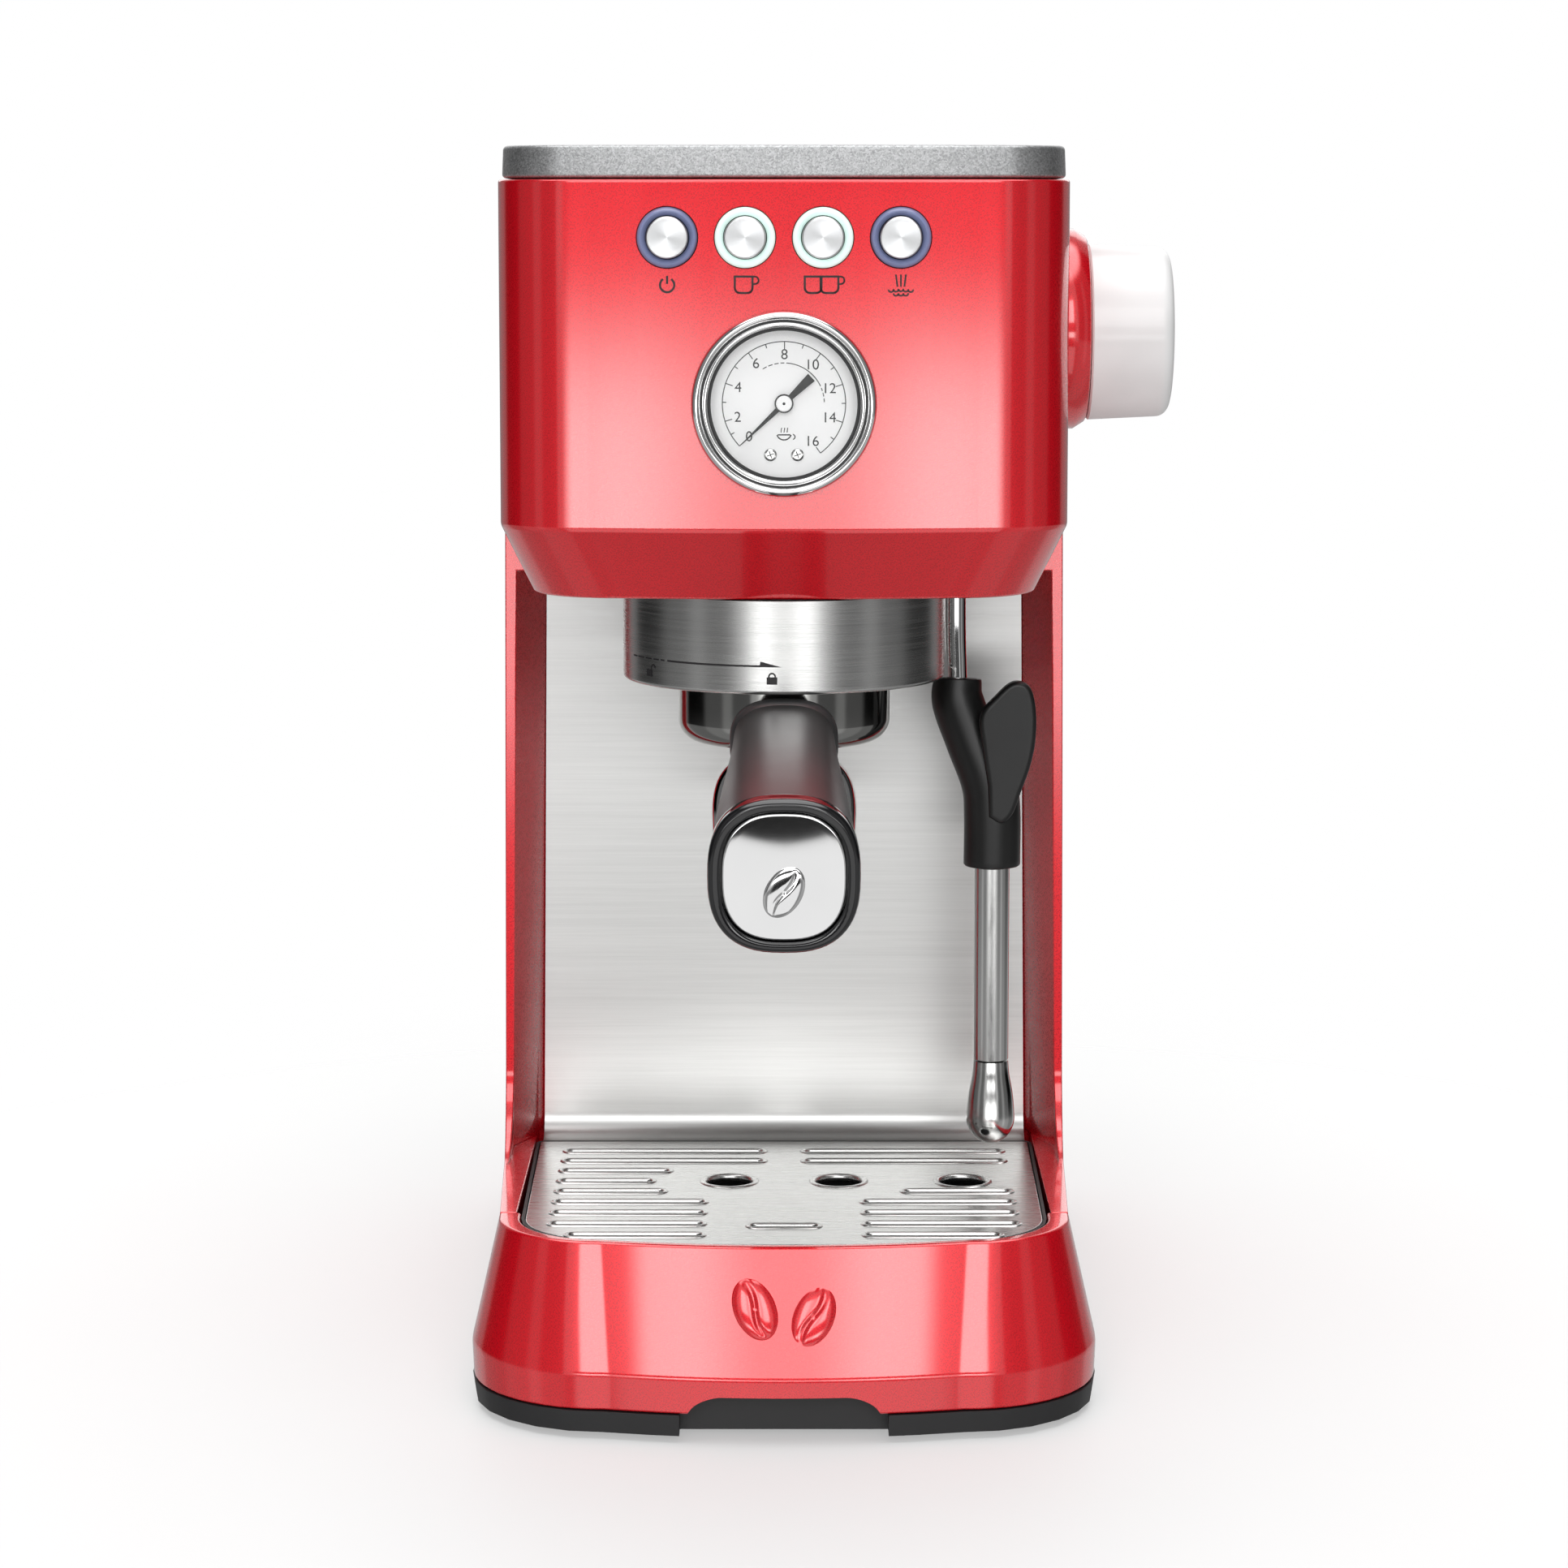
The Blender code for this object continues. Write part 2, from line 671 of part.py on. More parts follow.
def build_head_shell():
    crease = HEAD_BOTTOM + HEAD_CHAMFER_HEIGHT
    shell = loft(
        "head_shell",
        [(HEAD_BOTTOM, head_outline(0)), (crease, head_outline(1)), (BODY_TOP, head_outline(1))],
        "red_lacquer",
    )
    reach = 10 * MM / HEAD_CHAMFER_HEIGHT
    hollow = loft(
        "head_hollow_cut",
        [
            (HEAD_BOTTOM - 10 * MM, head_outline(-reach, WALL)),
            (crease, head_outline(1, WALL)),
            (FAR, head_outline(1, WALL)),
        ],
    )
    seam = box("head_seam_cut", (-FAR, -COLUMN_FRONT - GAP, -FAR), (FAR, FAR, FAR))
    holes = [
        rod(
            f"button_cut_{i}",
            BUTTON_RING_RADIUS + GAP,
            -FAR,
            -HEAD_REACH / 2,
            centre=(x, 0, BODY_TOP - BUTTON_DROP),
            axis="Y",
        )
        for i, x in enumerate(button_places())
    ]
    gauge = rod(
        "gauge_cut",
        GAUGE_RADIUS - 2 * MM,
        -FAR,
        -HEAD_REACH / 2,
        centre=(0, 0, BODY_TOP - GAUGE_DROP),
        axis="Y",
        steps=ROUND_STEPS,
    )
    spindle = rod(
        "spindle_cut", 5.5 * MM, 60 * MM, FAR, centre=(0, KNOB_Y, BODY_TOP - KNOB_DROP), axis="X"
    )
    return cut(shell, hollow, seam, gauge, spindle, *holes)


def build_head_floor():
    """The steel plate that closes the underside of the head and carries the group."""
    share = HEAD_FLOOR_THICKNESS / HEAD_CHAMFER_HEIGHT
    floor = loft(
        "head_floor",
        [
            (HEAD_BOTTOM + GAP, head_outline(0, WALL + GAP)),
            (HEAD_BOTTOM + HEAD_FLOOR_THICKNESS, head_outline(share, WALL + GAP)),
        ],
        "black_plastic",
    )
    seam = box("floor_seam_cut", (-FAR, -COLUMN_FRONT - 2 * GAP, -FAR), (FAR, FAR, FAR))
    centre = (0, GROUP_Y, 0)
    group = rod("floor_group_cut", CASTING_RADIUS + GAP, 0, FAR, centre=centre, steps=ROUND_STEPS)
    wand = rod("floor_wand_cut", SOCKET_RADIUS + GAP, 0, FAR, centre=(WAND_X, WAND_Y, 0))
    return cut(floor, seam, group, wand)


def build_back_panel():
    """The splash sheet: upright between the columns, turned forward at its foot."""
    top_half = BODY_HALF - COLUMN_WIDTH - GAP
    low_half = top_half + COLUMN_FLARE * 0.9
    foot_z = BASE_HEIGHT - 1 * MM
    bend = [
        (y, z)
        for y, z in arc((GAP - PANEL_BEND, foot_z + PANEL_BEND), PANEL_BEND, -90, 0)
    ]
    profile = bend + [(GAP, HEAD_BOTTOM - GAP)]
    bm = bmesh.new()
    rows = []
    for y, z in profile:
        share = (z - foot_z) / (HEAD_BOTTOM - foot_z)
        half = min(low_half + (top_half - low_half) * share, TRAY_HALF if y < 0 else FAR)
        rows.append([bm.verts.new((side * half, y, z)) for side in (-1, 1)])
    for (a, b), (d, c) in zip(rows, rows[1:]):
        bm.faces.new((a, b, c, d))
    panel = finish(bm, "back_panel", "brushed_steel")
    thicken = panel.modifiers.new("thickness", "SOLIDIFY")
    thicken.thickness = PANEL_THICKNESS
    thicken.offset = -1 if panel.data.polygons[-1].normal.y < 0 else 1
    return panel


def build_top():
    """The grey lid frame, and the brushed plate that warms cups."""
    split_y = TANK_FRONT_Y
    low = BODY_TOP + GAP
    frame = loft(
        "top_frame",
        [(low, body_outline(0, 1.2 * MM)), (HEIGHT, body_outline(0, 1.6 * MM))],
        "grey_plastic",
    )
    rear_off = box("frame_rear_cut", (-FAR, split_y, -FAR), (FAR, FAR, FAR))
    rim = 7 * MM
    well_outline = outline(
        BODY_HALF - FRONT_TAPER - rim,
        BODY_HALF - rim,
        -(HEAD_REACH - rim),
        split_y - rim,
        HEAD_CORNER - rim,
        8 * MM,
        HEAD_BOW,
    )
    well = loft("frame_well_cut", [(HEIGHT - 4 * MM, well_outline), (FAR, well_outline)])
    cut(frame, rear_off, well)
    plate_outline = outline(
        BODY_HALF - FRONT_TAPER - rim - GAP,
        BODY_HALF - rim - GAP,
        -(HEAD_REACH - rim - GAP),
        split_y - rim - GAP,
        HEAD_CORNER - rim,
        8 * MM,
        HEAD_BOW,
    )
    floor = HEIGHT - 4 * MM + GAP
    loft(
        "cup_plate",
        [(floor, plate_outline), (floor + 1.5 * MM, plate_outline)],
        "brushed_steel",
    )


# ---------------------------------------------------------------- water tank


def tank_outline(inset=0.0):
    half = BODY_HALF - inset
    return outline(
        half,
        half,
        TANK_FRONT_Y + 2 * GAP + inset,
        REAR_Y - inset,
        4 * MM - inset / 2,
        REAR_CORNER - inset,
        knee_y=(TANK_FRONT_Y + REAR_Y) / 2,
    )


def build_tank():
    low = BASE_HEIGHT + GAP
    high = BODY_TOP - GAP
    tank = loft("water_tank", [(low, tank_outline()), (high, tank_outline())], "smoked_plastic")
    hollow = loft(
        "tank_hollow_cut",
        [(low + TANK_WALL, tank_outline(TANK_WALL)), (FAR, tank_outline(TANK_WALL))],
    )
    outlet = rod("tank_outlet_cut", 5 * MM, 0, low + 2 * TANK_WALL, centre=(0, inlet_y(), 0))
    cut(tank, hollow, outlet)
    valve_profile = [
        (0, low - 6 * MM),
        (3.2 * MM, low - 6 * MM),
        (3.2 * MM, low + TANK_WALL + GAP),
        (7.5 * MM, low + TANK_WALL + GAP),
        (7.5 * MM, low + TANK_WALL + 3 * MM),
        (3 * MM, low + TANK_WALL + 9 * MM),
        (0, low + TANK_WALL + 9 * MM),
    ]
    lathe("tank_valve", valve_profile, "black_plastic", (0, inlet_y(), 0), steps=SMALL_STEPS)
    seal_profile = [
        (4 * MM, BASE_HEIGHT - WALL - 3 * MM),
        (7.6 * MM, BASE_HEIGHT - WALL - 3 * MM),
        (7.6 * MM, BASE_HEIGHT - GAP),
        (4 * MM, BASE_HEIGHT - GAP),
    ]
    lathe("tank_seal", seal_profile, "silicone", (0, inlet_y(), 0), steps=SMALL_STEPS)
    lid_low = BODY_TOP + GAP
    front_y = TANK_FRONT_Y + 1.6 * MM
    lid_outline = outline(
        BODY_HALF - 1.2 * MM,
        BODY_HALF - 1.2 * MM,
        front_y,
        REAR_Y,
        3 * MM,
        REAR_CORNER,
        knee_y=(TANK_FRONT_Y + REAR_Y) / 2,
    )
    lid = loft("tank_lid", [(lid_low, lid_outline), (HEIGHT, lid_outline)], "grey_plastic")
    grip = box("lid_grip_cut", (-20 * MM, 0, HEIGHT - 3 * MM), (20 * MM, front_y + 12 * MM, FAR))
    cut(lid, grip)
    pivot(lid, (0, REAR_Y, lid_low))


# ---------------------------------------------------------------- drip tray


def tray_outline(inset=0.0):
    return outline(
        TRAY_HALF - 1.4 * MM - inset,
        TRAY_HALF - inset,
        TRAY_FRONT_Y + inset,
        TRAY_REAR_Y - inset,
        BASE_TOP_CORNER - 5 * MM - inset,
        3 * MM,
        BASE_BOW,
        knee_y=TRAY_REAR_Y - 20 * MM,
    )


def build_tray_front():
    front = loft(
        "tray_front",
        [
            (SHELL_BOTTOM, base_outline(0, 0.5 * MM)),
            (CREASE, base_outline(0)),
            (BASE_HEIGHT - 1.5 * MM, base_outline(1 - 1.5 * MM / (BASE_HEIGHT - CREASE))),
            (BASE_HEIGHT, base_outline(1, 1.2 * MM)),
        ],
        "red_lacquer",
    )
    rear_off = box("tray_seam_cut", (-FAR, TRAY_SEAM_Y - GAP, -FAR), (FAR, FAR, FAR))
    hollow = loft(
        "tray_front_hollow_cut",
        [
            (-FAR, base_outline(0, WALL)),
            (CREASE, base_outline(0, WALL)),
            (BASE_HEIGHT - WALL, base_outline(1, WALL)),
        ],
    )
    opening = loft(
        "tray_opening_cut",
        [(-FAR, tray_outline(-GAP)), (FAR, tray_outline(-GAP))],
    )
    rise = SHELL_BOTTOM + NOTCH_RISE
    soft = NOTCH_RISE
    arch = [
        (-NOTCH_HALF, -FAR),
        (-NOTCH_HALF, SHELL_BOTTOM),
        (-NOTCH_HALF + soft * 0.6, SHELL_BOTTOM + NOTCH_RISE * 0.35),
        (-NOTCH_HALF + soft * 1.2, SHELL_BOTTOM + NOTCH_RISE * 0.8),
        (-NOTCH_HALF + soft * 2, rise),
    ]
    arch += [(-x, z) for x, z in reversed(arch)]
    notch = prism("tray_notch_cut", arch, -FAR, TRAY_SEAM_Y, "Y")
    cut(front, rear_off, hollow, opening, notch)


def build_drip_tray():
    low = SHELL_BOTTOM + NOTCH_RISE + 2 * GAP
    shoulder = BASE_HEIGHT - TRAY_LIP
    tub = loft(
        "drip_tray",
        [
            (low, tray_outline(7 * MM)),
            (shoulder - 4 * MM, tray_outline(4 * MM)),
            (shoulder, tray_outline()),
            (GRILLE_TOP, tray_outline()),
        ],
    )
    hollow = loft(
        "drip_tray_hollow_cut",
        [
            (low + TRAY_WALL, tray_outline(7 * MM + TRAY_WALL)),
            (shoulder - 4 * MM, tray_outline(4 * MM + TRAY_WALL)),
            (FAR, tray_outline(4 * MM + TRAY_WALL)),
        ],
    )
    seat_low = GRILLE_TOP - GRILLE_THICKNESS - GAP
    seat = loft(
        "grille_seat_cut",
        [(seat_low, tray_outline(1 * MM)), (FAR, tray_outline(1 * MM))],
    )
    cut(tub, hollow, seat)


def slot_rows():
    """The grille's slots as (x from, x to, y): a block on each side, and a finger slot in front."""
    edge = TRAY_HALF - 10 * MM
    first_y = TRAY_REAR_Y - 15 * MM
    pitch = (first_y - TRAY_FRONT_Y - 12 * MM) / 8
    inner = [6, 6, 36, 41, 37, 24, 24, 24, 24]
    rows = []
    for i, start in enumerate(inner):
        y = first_y - i * pitch
        reach = edge + (-6 * MM if i == 8 else 0)
        rows.append((-reach, -start * MM, y))
        if i not in (2, 3):
            rows.append((start * MM, reach, y))
    rows.append((-11 * MM, 11 * MM, first_y - 7.2 * pitch))
    return rows, first_y - 3 * pitch


def stadium(x_from, x_to, y, radius, steps=4):
    right = arc((x_to - radius, y), radius, -90, 90, steps)
    left = arc((x_from + radius, y), radius, 90, 270, steps)
    return right + left


def build_grille():
    low = GRILLE_TOP - GRILLE_THICKNESS
    grille = loft(
        "drip_grille",
        [(low, tray_outline(1 * MM + GAP)), (GRILLE_TOP, tray_outline(1 * MM + GAP))],
        "brushed_steel",
    )
    rows, drain_y = slot_rows()
    slots = [
        prism(f"slot_cut_{i}", stadium(a, b, y, SLOT_WIDTH / 2), 0, FAR, "Z")
        for i, (a, b, y) in enumerate(rows)
    ]
    drains = [
        rod(f"drain_cut_{i}", DRAIN_RADIUS, 0, FAR, centre=(x, drain_y, 0), steps=SMALL_STEPS)
        for i, x in enumerate((-DRAIN_SPACING / 2, DRAIN_SPACING / 2, WAND_X + 2 * MM))
    ]
    cut(grille, *slots, *drains)


# ---------------------------------------------------------------- group and portafilter


def build_group():
    centre = (0, GROUP_Y, 0)
    collar = [
        (COLLAR_RADIUS, HEAD_BOTTOM - GAP),
        (COLLAR_RADIUS, COLLAR_BOTTOM + 0.8 * MM),
        (COLLAR_RADIUS - 0.8 * MM, COLLAR_BOTTOM),
        (CASTING_INNER + 1.5 * MM, COLLAR_BOTTOM),
        (CASTING_INNER + 1.5 * MM, COLLAR_BOTTOM + COLLAR_WALL),
        (COLLAR_RADIUS - COLLAR_WALL, COLLAR_BOTTOM + COLLAR_WALL),
        (COLLAR_RADIUS - COLLAR_WALL, HEAD_BOTTOM - GAP),
    ]
    lathe("group_collar", collar, "brushed_steel", centre, steps=COLLAR_STEPS)
    gasket_top = RIM_Z + BASKET_RIM + 2 * GAP + GASKET_HEIGHT
    boss_low = RIM_Z + BASKET_RIM - 1 * MM
    boss = SCREEN_RADIUS + 0.8 * MM
    casting = lathe(
        "brew_head",
        [
            (0, CASTING_TOP),
            (CASTING_RADIUS, CASTING_TOP),
            (CASTING_RADIUS, CASTING_BOTTOM),
            (CASTING_INNER, CASTING_BOTTOM),
            (CASTING_INNER, gasket_top + GAP),
            (boss, gasket_top + GAP),
            (boss, boss_low),
            (0, boss_low),
        ],
        "aluminium",
        centre,
    )
    lug_low = CASTING_BOTTOM + 0.2 * MM
    lug_high = RIM_Z - 1 * MM - EAR_HEIGHT - GAP
    lugs = [
        sector(
            f"lug_{side}",
            CUP_RADIUS + 0.6 * MM,
            CASTING_INNER + 2 * MM,
            lug_low,
            lug_high,
            side * 180 - LUG_HALF_ANGLE,
            side * 180 + LUG_HALF_ANGLE,
        )
        for side in (0, 1)
    ]
    for lug in lugs:
        lug.location = centre
    tapped = rod("screw_hole_cut", 2.4 * MM, 0, boss_low + 12 * MM, centre=centre, steps=12)
    fuse(casting, *lugs)
    cut(casting, tapped)
    gasket_low = RIM_Z + BASKET_RIM + 2 * GAP
    gasket = [
        (boss + GAP, gasket_low),
        (CUP_RADIUS + 2 * MM, gasket_low),
        (CUP_RADIUS + 2 * MM, gasket_top),
        (boss + GAP, gasket_top),
    ]
    lathe("group_gasket", gasket, "silicone", centre)
    screen_low = boss_low - 3.4 * MM
    screen = [
        (2.3 * MM, screen_low),
        (SCREEN_RADIUS - 1 * MM, screen_low),
        (SCREEN_RADIUS, screen_low + 1 * MM),
        (SCREEN_RADIUS, boss_low - GAP),
        (SCREEN_RADIUS - 1 * MM, boss_low - GAP),
        (SCREEN_RADIUS - 1 * MM, screen_low + 1 * MM),
        (2.3 * MM, screen_low + 1 * MM),
    ]
    lathe("shower_screen", screen, "brushed_steel", centre)
    screw = [
        (0, screen_low - 3 * MM),
        (3 * MM, screen_low - 3 * MM),
        (4 * MM, screen_low - GAP),
        (1.9 * MM, screen_low - GAP),
        (1.9 * MM, boss_low + 10 * MM),
        (0, boss_low + 10 * MM),
    ]
    lathe("shower_screw", screw, "brushed_steel", centre, steps=12)


def handle_stations(length, start, steps=8, grow=0.0):
    """Centres and half sizes along the handle, from the neck out to its end."""
    cup_front = GROUP_Y - CUP_RADIUS
    stations = []
    for i in range(steps + 1):
        t = start + (length - start) * i / steps
        eased = t * t * (3 - 2 * t)
        centre = (0, cup_front - t * HANDLE_LENGTH, neck_z() - t * HANDLE_DROP)
        half_width = NECK_HALF_WIDTH + (HANDLE_HALF_WIDTH - NECK_HALF_WIDTH) * eased + grow
        half_height = NECK_HALF_HEIGHT + (HANDLE_HALF_HEIGHT - NECK_HALF_HEIGHT) * eased + grow
        stations.append((centre, half_width, half_height))
    return stations


def neck_z():
    return COLLAR_BOTTOM - 13.5 * MM


def build_portafilter():
    axis = axis_empty("portafilter_axis", (0, GROUP_Y, RIM_Z))
    centre = (0, GROUP_Y, 0)
    low = COLLAR_BOTTOM - CUP_DEPTH
    inner = BASKET_RADIUS + 0.7 * MM
    cup = lathe(
        "portafilter_cup",
        [
            (0, low),
            (CUP_RADIUS - 5 * MM, low),
            (CUP_RADIUS - 1.5 * MM, low + 1.5 * MM),
            (CUP_RADIUS, low + 5 * MM),
            (CUP_RADIUS, RIM_Z),
            (inner, RIM_Z),
            (inner, low + 4.5 * MM),
            (0, low + 3 * MM),
        ],
        "chrome",
        centre,
    )
    ears = [
        sector(
            f"ear_{side}",
            CUP_RADIUS - 1.5 * MM,
            CUP_RADIUS + EAR_REACH,
            RIM_Z - 1 * MM - EAR_HEIGHT,
            RIM_Z - 1 * MM,
            side * 180 - EAR_HALF_ANGLE,
            side * 180 + EAR_HALF_ANGLE,
            steps=4,
        )
        for side in (0, 1)
    ]
    for ear in ears:
        ear.location = centre
    neck = sweep(
        "portafilter_neck",
        [
            ((0, GROUP_Y - CUP_RADIUS + 2.5 * MM, neck_z()), 9 * MM, 5.5 * MM),
            ((0, GROUP_Y - CUP_RADIUS - NECK_LENGTH, neck_z() - 0.5 * MM), 8 * MM, 5.5 * MM),
        ],
        "chrome",
        steps=12,
    )
    drain = rod("cup_drain_cut", 4.5 * MM, 0, low + 6 * MM, centre=centre, steps=16)
    fuse(cup, *ears, neck)
    cut(cup, drain)
    pivot(cup, (0, GROUP_Y, RIM_Z), axis)

    rim_low = RIM_Z + GAP
    floor = low + 8 * MM
    basket = lathe(
        "filter_basket",
        [
            (0, floor),
            (BASKET_RADIUS - 2 * MM, floor),
            (BASKET_RADIUS, floor + 3 * MM),
            (BASKET_RADIUS, rim_low),
            (CUP_RADIUS - 0.5 * MM, rim_low),
            (CUP_RADIUS - 0.5 * MM, rim_low + BASKET_RIM - GAP),
            (BASKET_RADIUS - 0.7 * MM, rim_low + BASKET_RIM - GAP),
            (BASKET_RADIUS - 0.7 * MM, floor + 3.4 * MM),
            (BASKET_RADIUS - 2.4 * MM, floor + 0.7 * MM),
            (0, floor + 0.7 * MM),
        ],
        "brushed_steel",
        centre,
    )
    pivot(basket, (0, GROUP_Y, RIM_Z), axis)

    neck_share = (NECK_LENGTH + 2 * GAP) / HANDLE_LENGTH
    handle = sweep(
        "portafilter_handle",
        handle_stations(1, neck_share),
        "black_plastic",
        steps=24,
        squareness=2.6,
    )
    inset = 3.4 * MM
    recess_share = 1 - CAP_DEPTH / HANDLE_LENGTH
    recess = sweep(
        "handle_recess_cut",
        handle_stations(1.1, recess_share, steps=1, grow=GAP - inset),
        "chrome",
        steps=24,
        squareness=2.6,
    )
    cut(handle, recess)
    pivot(handle, (0, GROUP_Y, RIM_Z), axis)
    cap = sweep(
        "handle_end_cap",
        handle_stations(1 + 2 * GAP / HANDLE_LENGTH, recess_share + GAP / HANDLE_LENGTH, 1, -inset),
        "chrome",
        steps=24,
        squareness=2.6,
    )
    pivot(cap, (0, GROUP_Y, RIM_Z), axis)

    top = low - GAP
    outlet = 6 * MM
    shoulder = SPOUT_DROP - 11 * MM
    half = SPOUT_HALF
    profile = [
        (-half, top - SPOUT_DROP + 1 * MM),
        (-half + 1 * MM, top - SPOUT_DROP),
        (-half + 2 * outlet, top - SPOUT_DROP),
        (-half + 2 * outlet, top - shoulder - 2 * MM),
        (-half + 2 * outlet + 5 * MM, top - shoulder + 1 * MM),
    ]
    profile += [(-x, z) for x, z in reversed(profile)]
    profile += [(half, top - shoulder), (half - 4 * MM, top - 9 * MM), (11 * MM, top - 4 * MM)]
    profile += [(11 * MM, top), (-11 * MM, top), (-11 * MM, top - 4 * MM)]
    profile += [(-half + 4 * MM, top - 9 * MM), (-half, top - shoulder)]
    spout = prism("twin_spout", profile, GROUP_Y - 8 * MM, GROUP_Y + 8 * MM, "Y", "chrome")
    channels = [
        rod(
            f"spout_channel_{side}",
            outlet - 2 * MM,
            0,
            top - SPOUT_DROP + 16 * MM,
            centre=(side * (half - outlet), GROUP_Y, 0),
            steps=16,
        )
        for side in (-1, 1)
    ]
    cut(spout, *channels)
    soften = spout.modifiers.new("edges", "BEVEL")
    soften.width = 1.5 * MM
    soften.segments = 1
    soften.limit_method = "ANGLE"
    pivot(spout, (0, GROUP_Y, RIM_Z), axis)


# ---------------------------------------------------------------- steam wand


def wand_place(x_share, z, forward=0.0):
    """A point on the wand: x_share 0 is under the ball, 1 is at the offset sleeve."""
    return Vector((WAND_X + x_share * SLEEVE_OFFSET, WAND_Y - forward, z))


def build_wand():
    ball = (WAND_X, WAND_Y, BALL_Z)
    tilt = axis_empty("wand_axis", ball)
    socket = [
        (7.4 * MM, HEAD_BOTTOM),
        (SOCKET_RADIUS, HEAD_BOTTOM),
        (SOCKET_RADIUS, BALL_Z + 12 * MM),
        (BALL_RADIUS + 2 * GAP, BALL_Z + 12 * MM),
        (BALL_RADIUS + 2 * GAP, BALL_Z),
        (BALL_RADIUS + GAP, BALL_Z - 2 * MM),
        (7.4 * MM, BALL_Z - 3.8 * MM),
    ]
    lathe("wand_socket", socket, "black_plastic", (WAND_X, WAND_Y, 0), steps=SMALL_STEPS)
    seat = [
        (3 * MM, BALL_Z + BALL_RADIUS + GAP),
        (BALL_RADIUS, BALL_Z + BALL_RADIUS + GAP),
        (BALL_RADIUS, BALL_Z + 11.5 * MM),
        (3 * MM, BALL_Z + 11.5 * MM),
    ]
    pivot(lathe("wand_seat", seat, "silicone", (WAND_X, WAND_Y, 0), steps=SMALL_STEPS), ball)

    grip_top = HEAD_BOTTOM - GRIP_TOP_DROP
    grip_low = grip_top - GRIP_LENGTH
    tip_low = GRILLE_TOP + TIP_GAP
    tip_top = tip_low + TIP_LENGTH
    forward = 7 * MM
    bend = [
        (wand_place(0, BALL_Z - 2 * MM), WAND_PIPE_RADIUS),
        (wand_place(0, HEAD_BOTTOM - 12 * MM, 0), WAND_PIPE_RADIUS),
        (wand_place(0.02, grip_top + 8 * MM, 0.1 * forward), WAND_PIPE_RADIUS),
        (wand_place(0.1, grip_top - 6 * MM, 0.3 * forward), WAND_PIPE_RADIUS),
        (wand_place(0.5, grip_top - 19 * MM, 0.6 * forward), WAND_PIPE_RADIUS),
        (wand_place(0.9, grip_top - 32 * MM, 0.9 * forward), WAND_PIPE_RADIUS),
        (wand_place(1, grip_low, forward), WAND_PIPE_RADIUS),
        (wand_place(1, tip_top + 4 * MM, forward), WAND_PIPE_RADIUS),
    ]
    pipe = sweep("wand_pipe", [(p, r, r) for p, r in bend], "chrome", steps=12)
    sphere = [
        (BALL_RADIUS * math.sin(math.radians(a)), -BALL_RADIUS * math.cos(math.radians(a)))
        for a in range(0, 181, 15)
    ]
    sphere[0] = (0, -BALL_RADIUS)
    sphere[-1] = (0, BALL_RADIUS)
    knuckle = lathe("wand_ball", sphere, "chrome", ball, steps=SMALL_STEPS)
    fuse(pipe, knuckle)
    pivot(pipe, ball, tilt)

    grip_route = [
        (wand_place(0.05, grip_top, 0.2 * forward), 7.2 * MM),
        (wand_place(0.06, grip_top - 7 * MM, 0.3 * forward), 8.2 * MM),
        (wand_place(0.45, grip_top - 19 * MM, 0.55 * forward), 8.4 * MM),
        (wand_place(0.9, grip_top - 32 * MM, 0.9 * forward), 8.8 * MM),
        (wand_place(1, grip_top - 42 * MM, forward), GRIP_RADIUS),
        (wand_place(1, grip_low, forward), GRIP_RADIUS),
    ]
    grip = sweep("wand_grip", [(p, r, r) for p, r in grip_route], "grip_rubber", steps=16)
    fin_x = WAND_X + SLEEVE_OFFSET
    fin_z = grip_top
    fin_points = [
        (fin_x - 3 * MM, fin_z - 44 * MM),
        (fin_x + 2.5 * MM, fin_z - 45 * MM),
        (fin_x + 8 * MM, fin_z - 32 * MM),
        (fin_x + 13 * MM, fin_z - 20 * MM),
        (fin_x + 13.5 * MM, fin_z - 9 * MM),
        (fin_x + 11 * MM, fin_z - 1.5 * MM),
        (fin_x + 7 * MM, fin_z),
        (fin_x + 3 * MM, fin_z - 2 * MM),
        (fin_x - 3 * MM, fin_z - 10 * MM),
        (fin_x - 7 * MM, fin_z - 16 * MM),
    ]
    fin_y = WAND_Y - forward
    fin = prism("wand_fin", fin_points, fin_y - 2.6 * MM, fin_y + 2.6 * MM, "Y", "grip_rubber")
    bore_route = [(p, r + GAP) for p, r in bend[1:]]
    bore = sweep("grip_bore_cut", [(p, r, r) for p, r in bore_route], "chrome", steps=12)
    fuse(grip, fin)
    cut(grip, bore)
    pivot(grip, ball, tilt)

    centre = wand_place(1, 0, forward)
    sleeve_inner = WAND_PIPE_RADIUS + 2 * GAP
    sleeve = [
        (sleeve_inner, tip_top + GAP),
        (SLEEVE_RADIUS, tip_top + GAP),
        (SLEEVE_RADIUS, grip_low - GAP),
        (sleeve_inner, grip_low - GAP),
    ]
    pivot(lathe("wand_sleeve", sleeve, "brushed_steel", centre, steps=SMALL_STEPS), ball, tilt)
    rise = tip_top - tip_low
    tip = [
        (0, tip_low),
        (3.5 * MM, tip_low + 0.6 * MM),
        (6.4 * MM, tip_low + 3 * MM),
        (TIP_RADIUS, tip_low + 6.5 * MM),
        (TIP_RADIUS - 0.3 * MM, tip_low + 0.45 * rise),
        (SLEEVE_RADIUS + 0.6 * MM, tip_low + 0.8 * rise),
        (SLEEVE_RADIUS, tip_top),
        (sleeve_inner, tip_top),
        (sleeve_inner, tip_top - 5 * MM),
        (0, tip_top - 5 * MM),
    ]
    short_pipe = box(
        "pipe_end_cut",
        centre + Vector((-0.02, -0.02, 0)),
        centre + Vector((0.02, 0.02, tip_top + 2 * MM)),
    )
    cut(pipe, short_pipe)
    pivot(lathe("wand_tip", tip, "brushed_steel", centre, steps=SMALL_STEPS), ball, tilt)


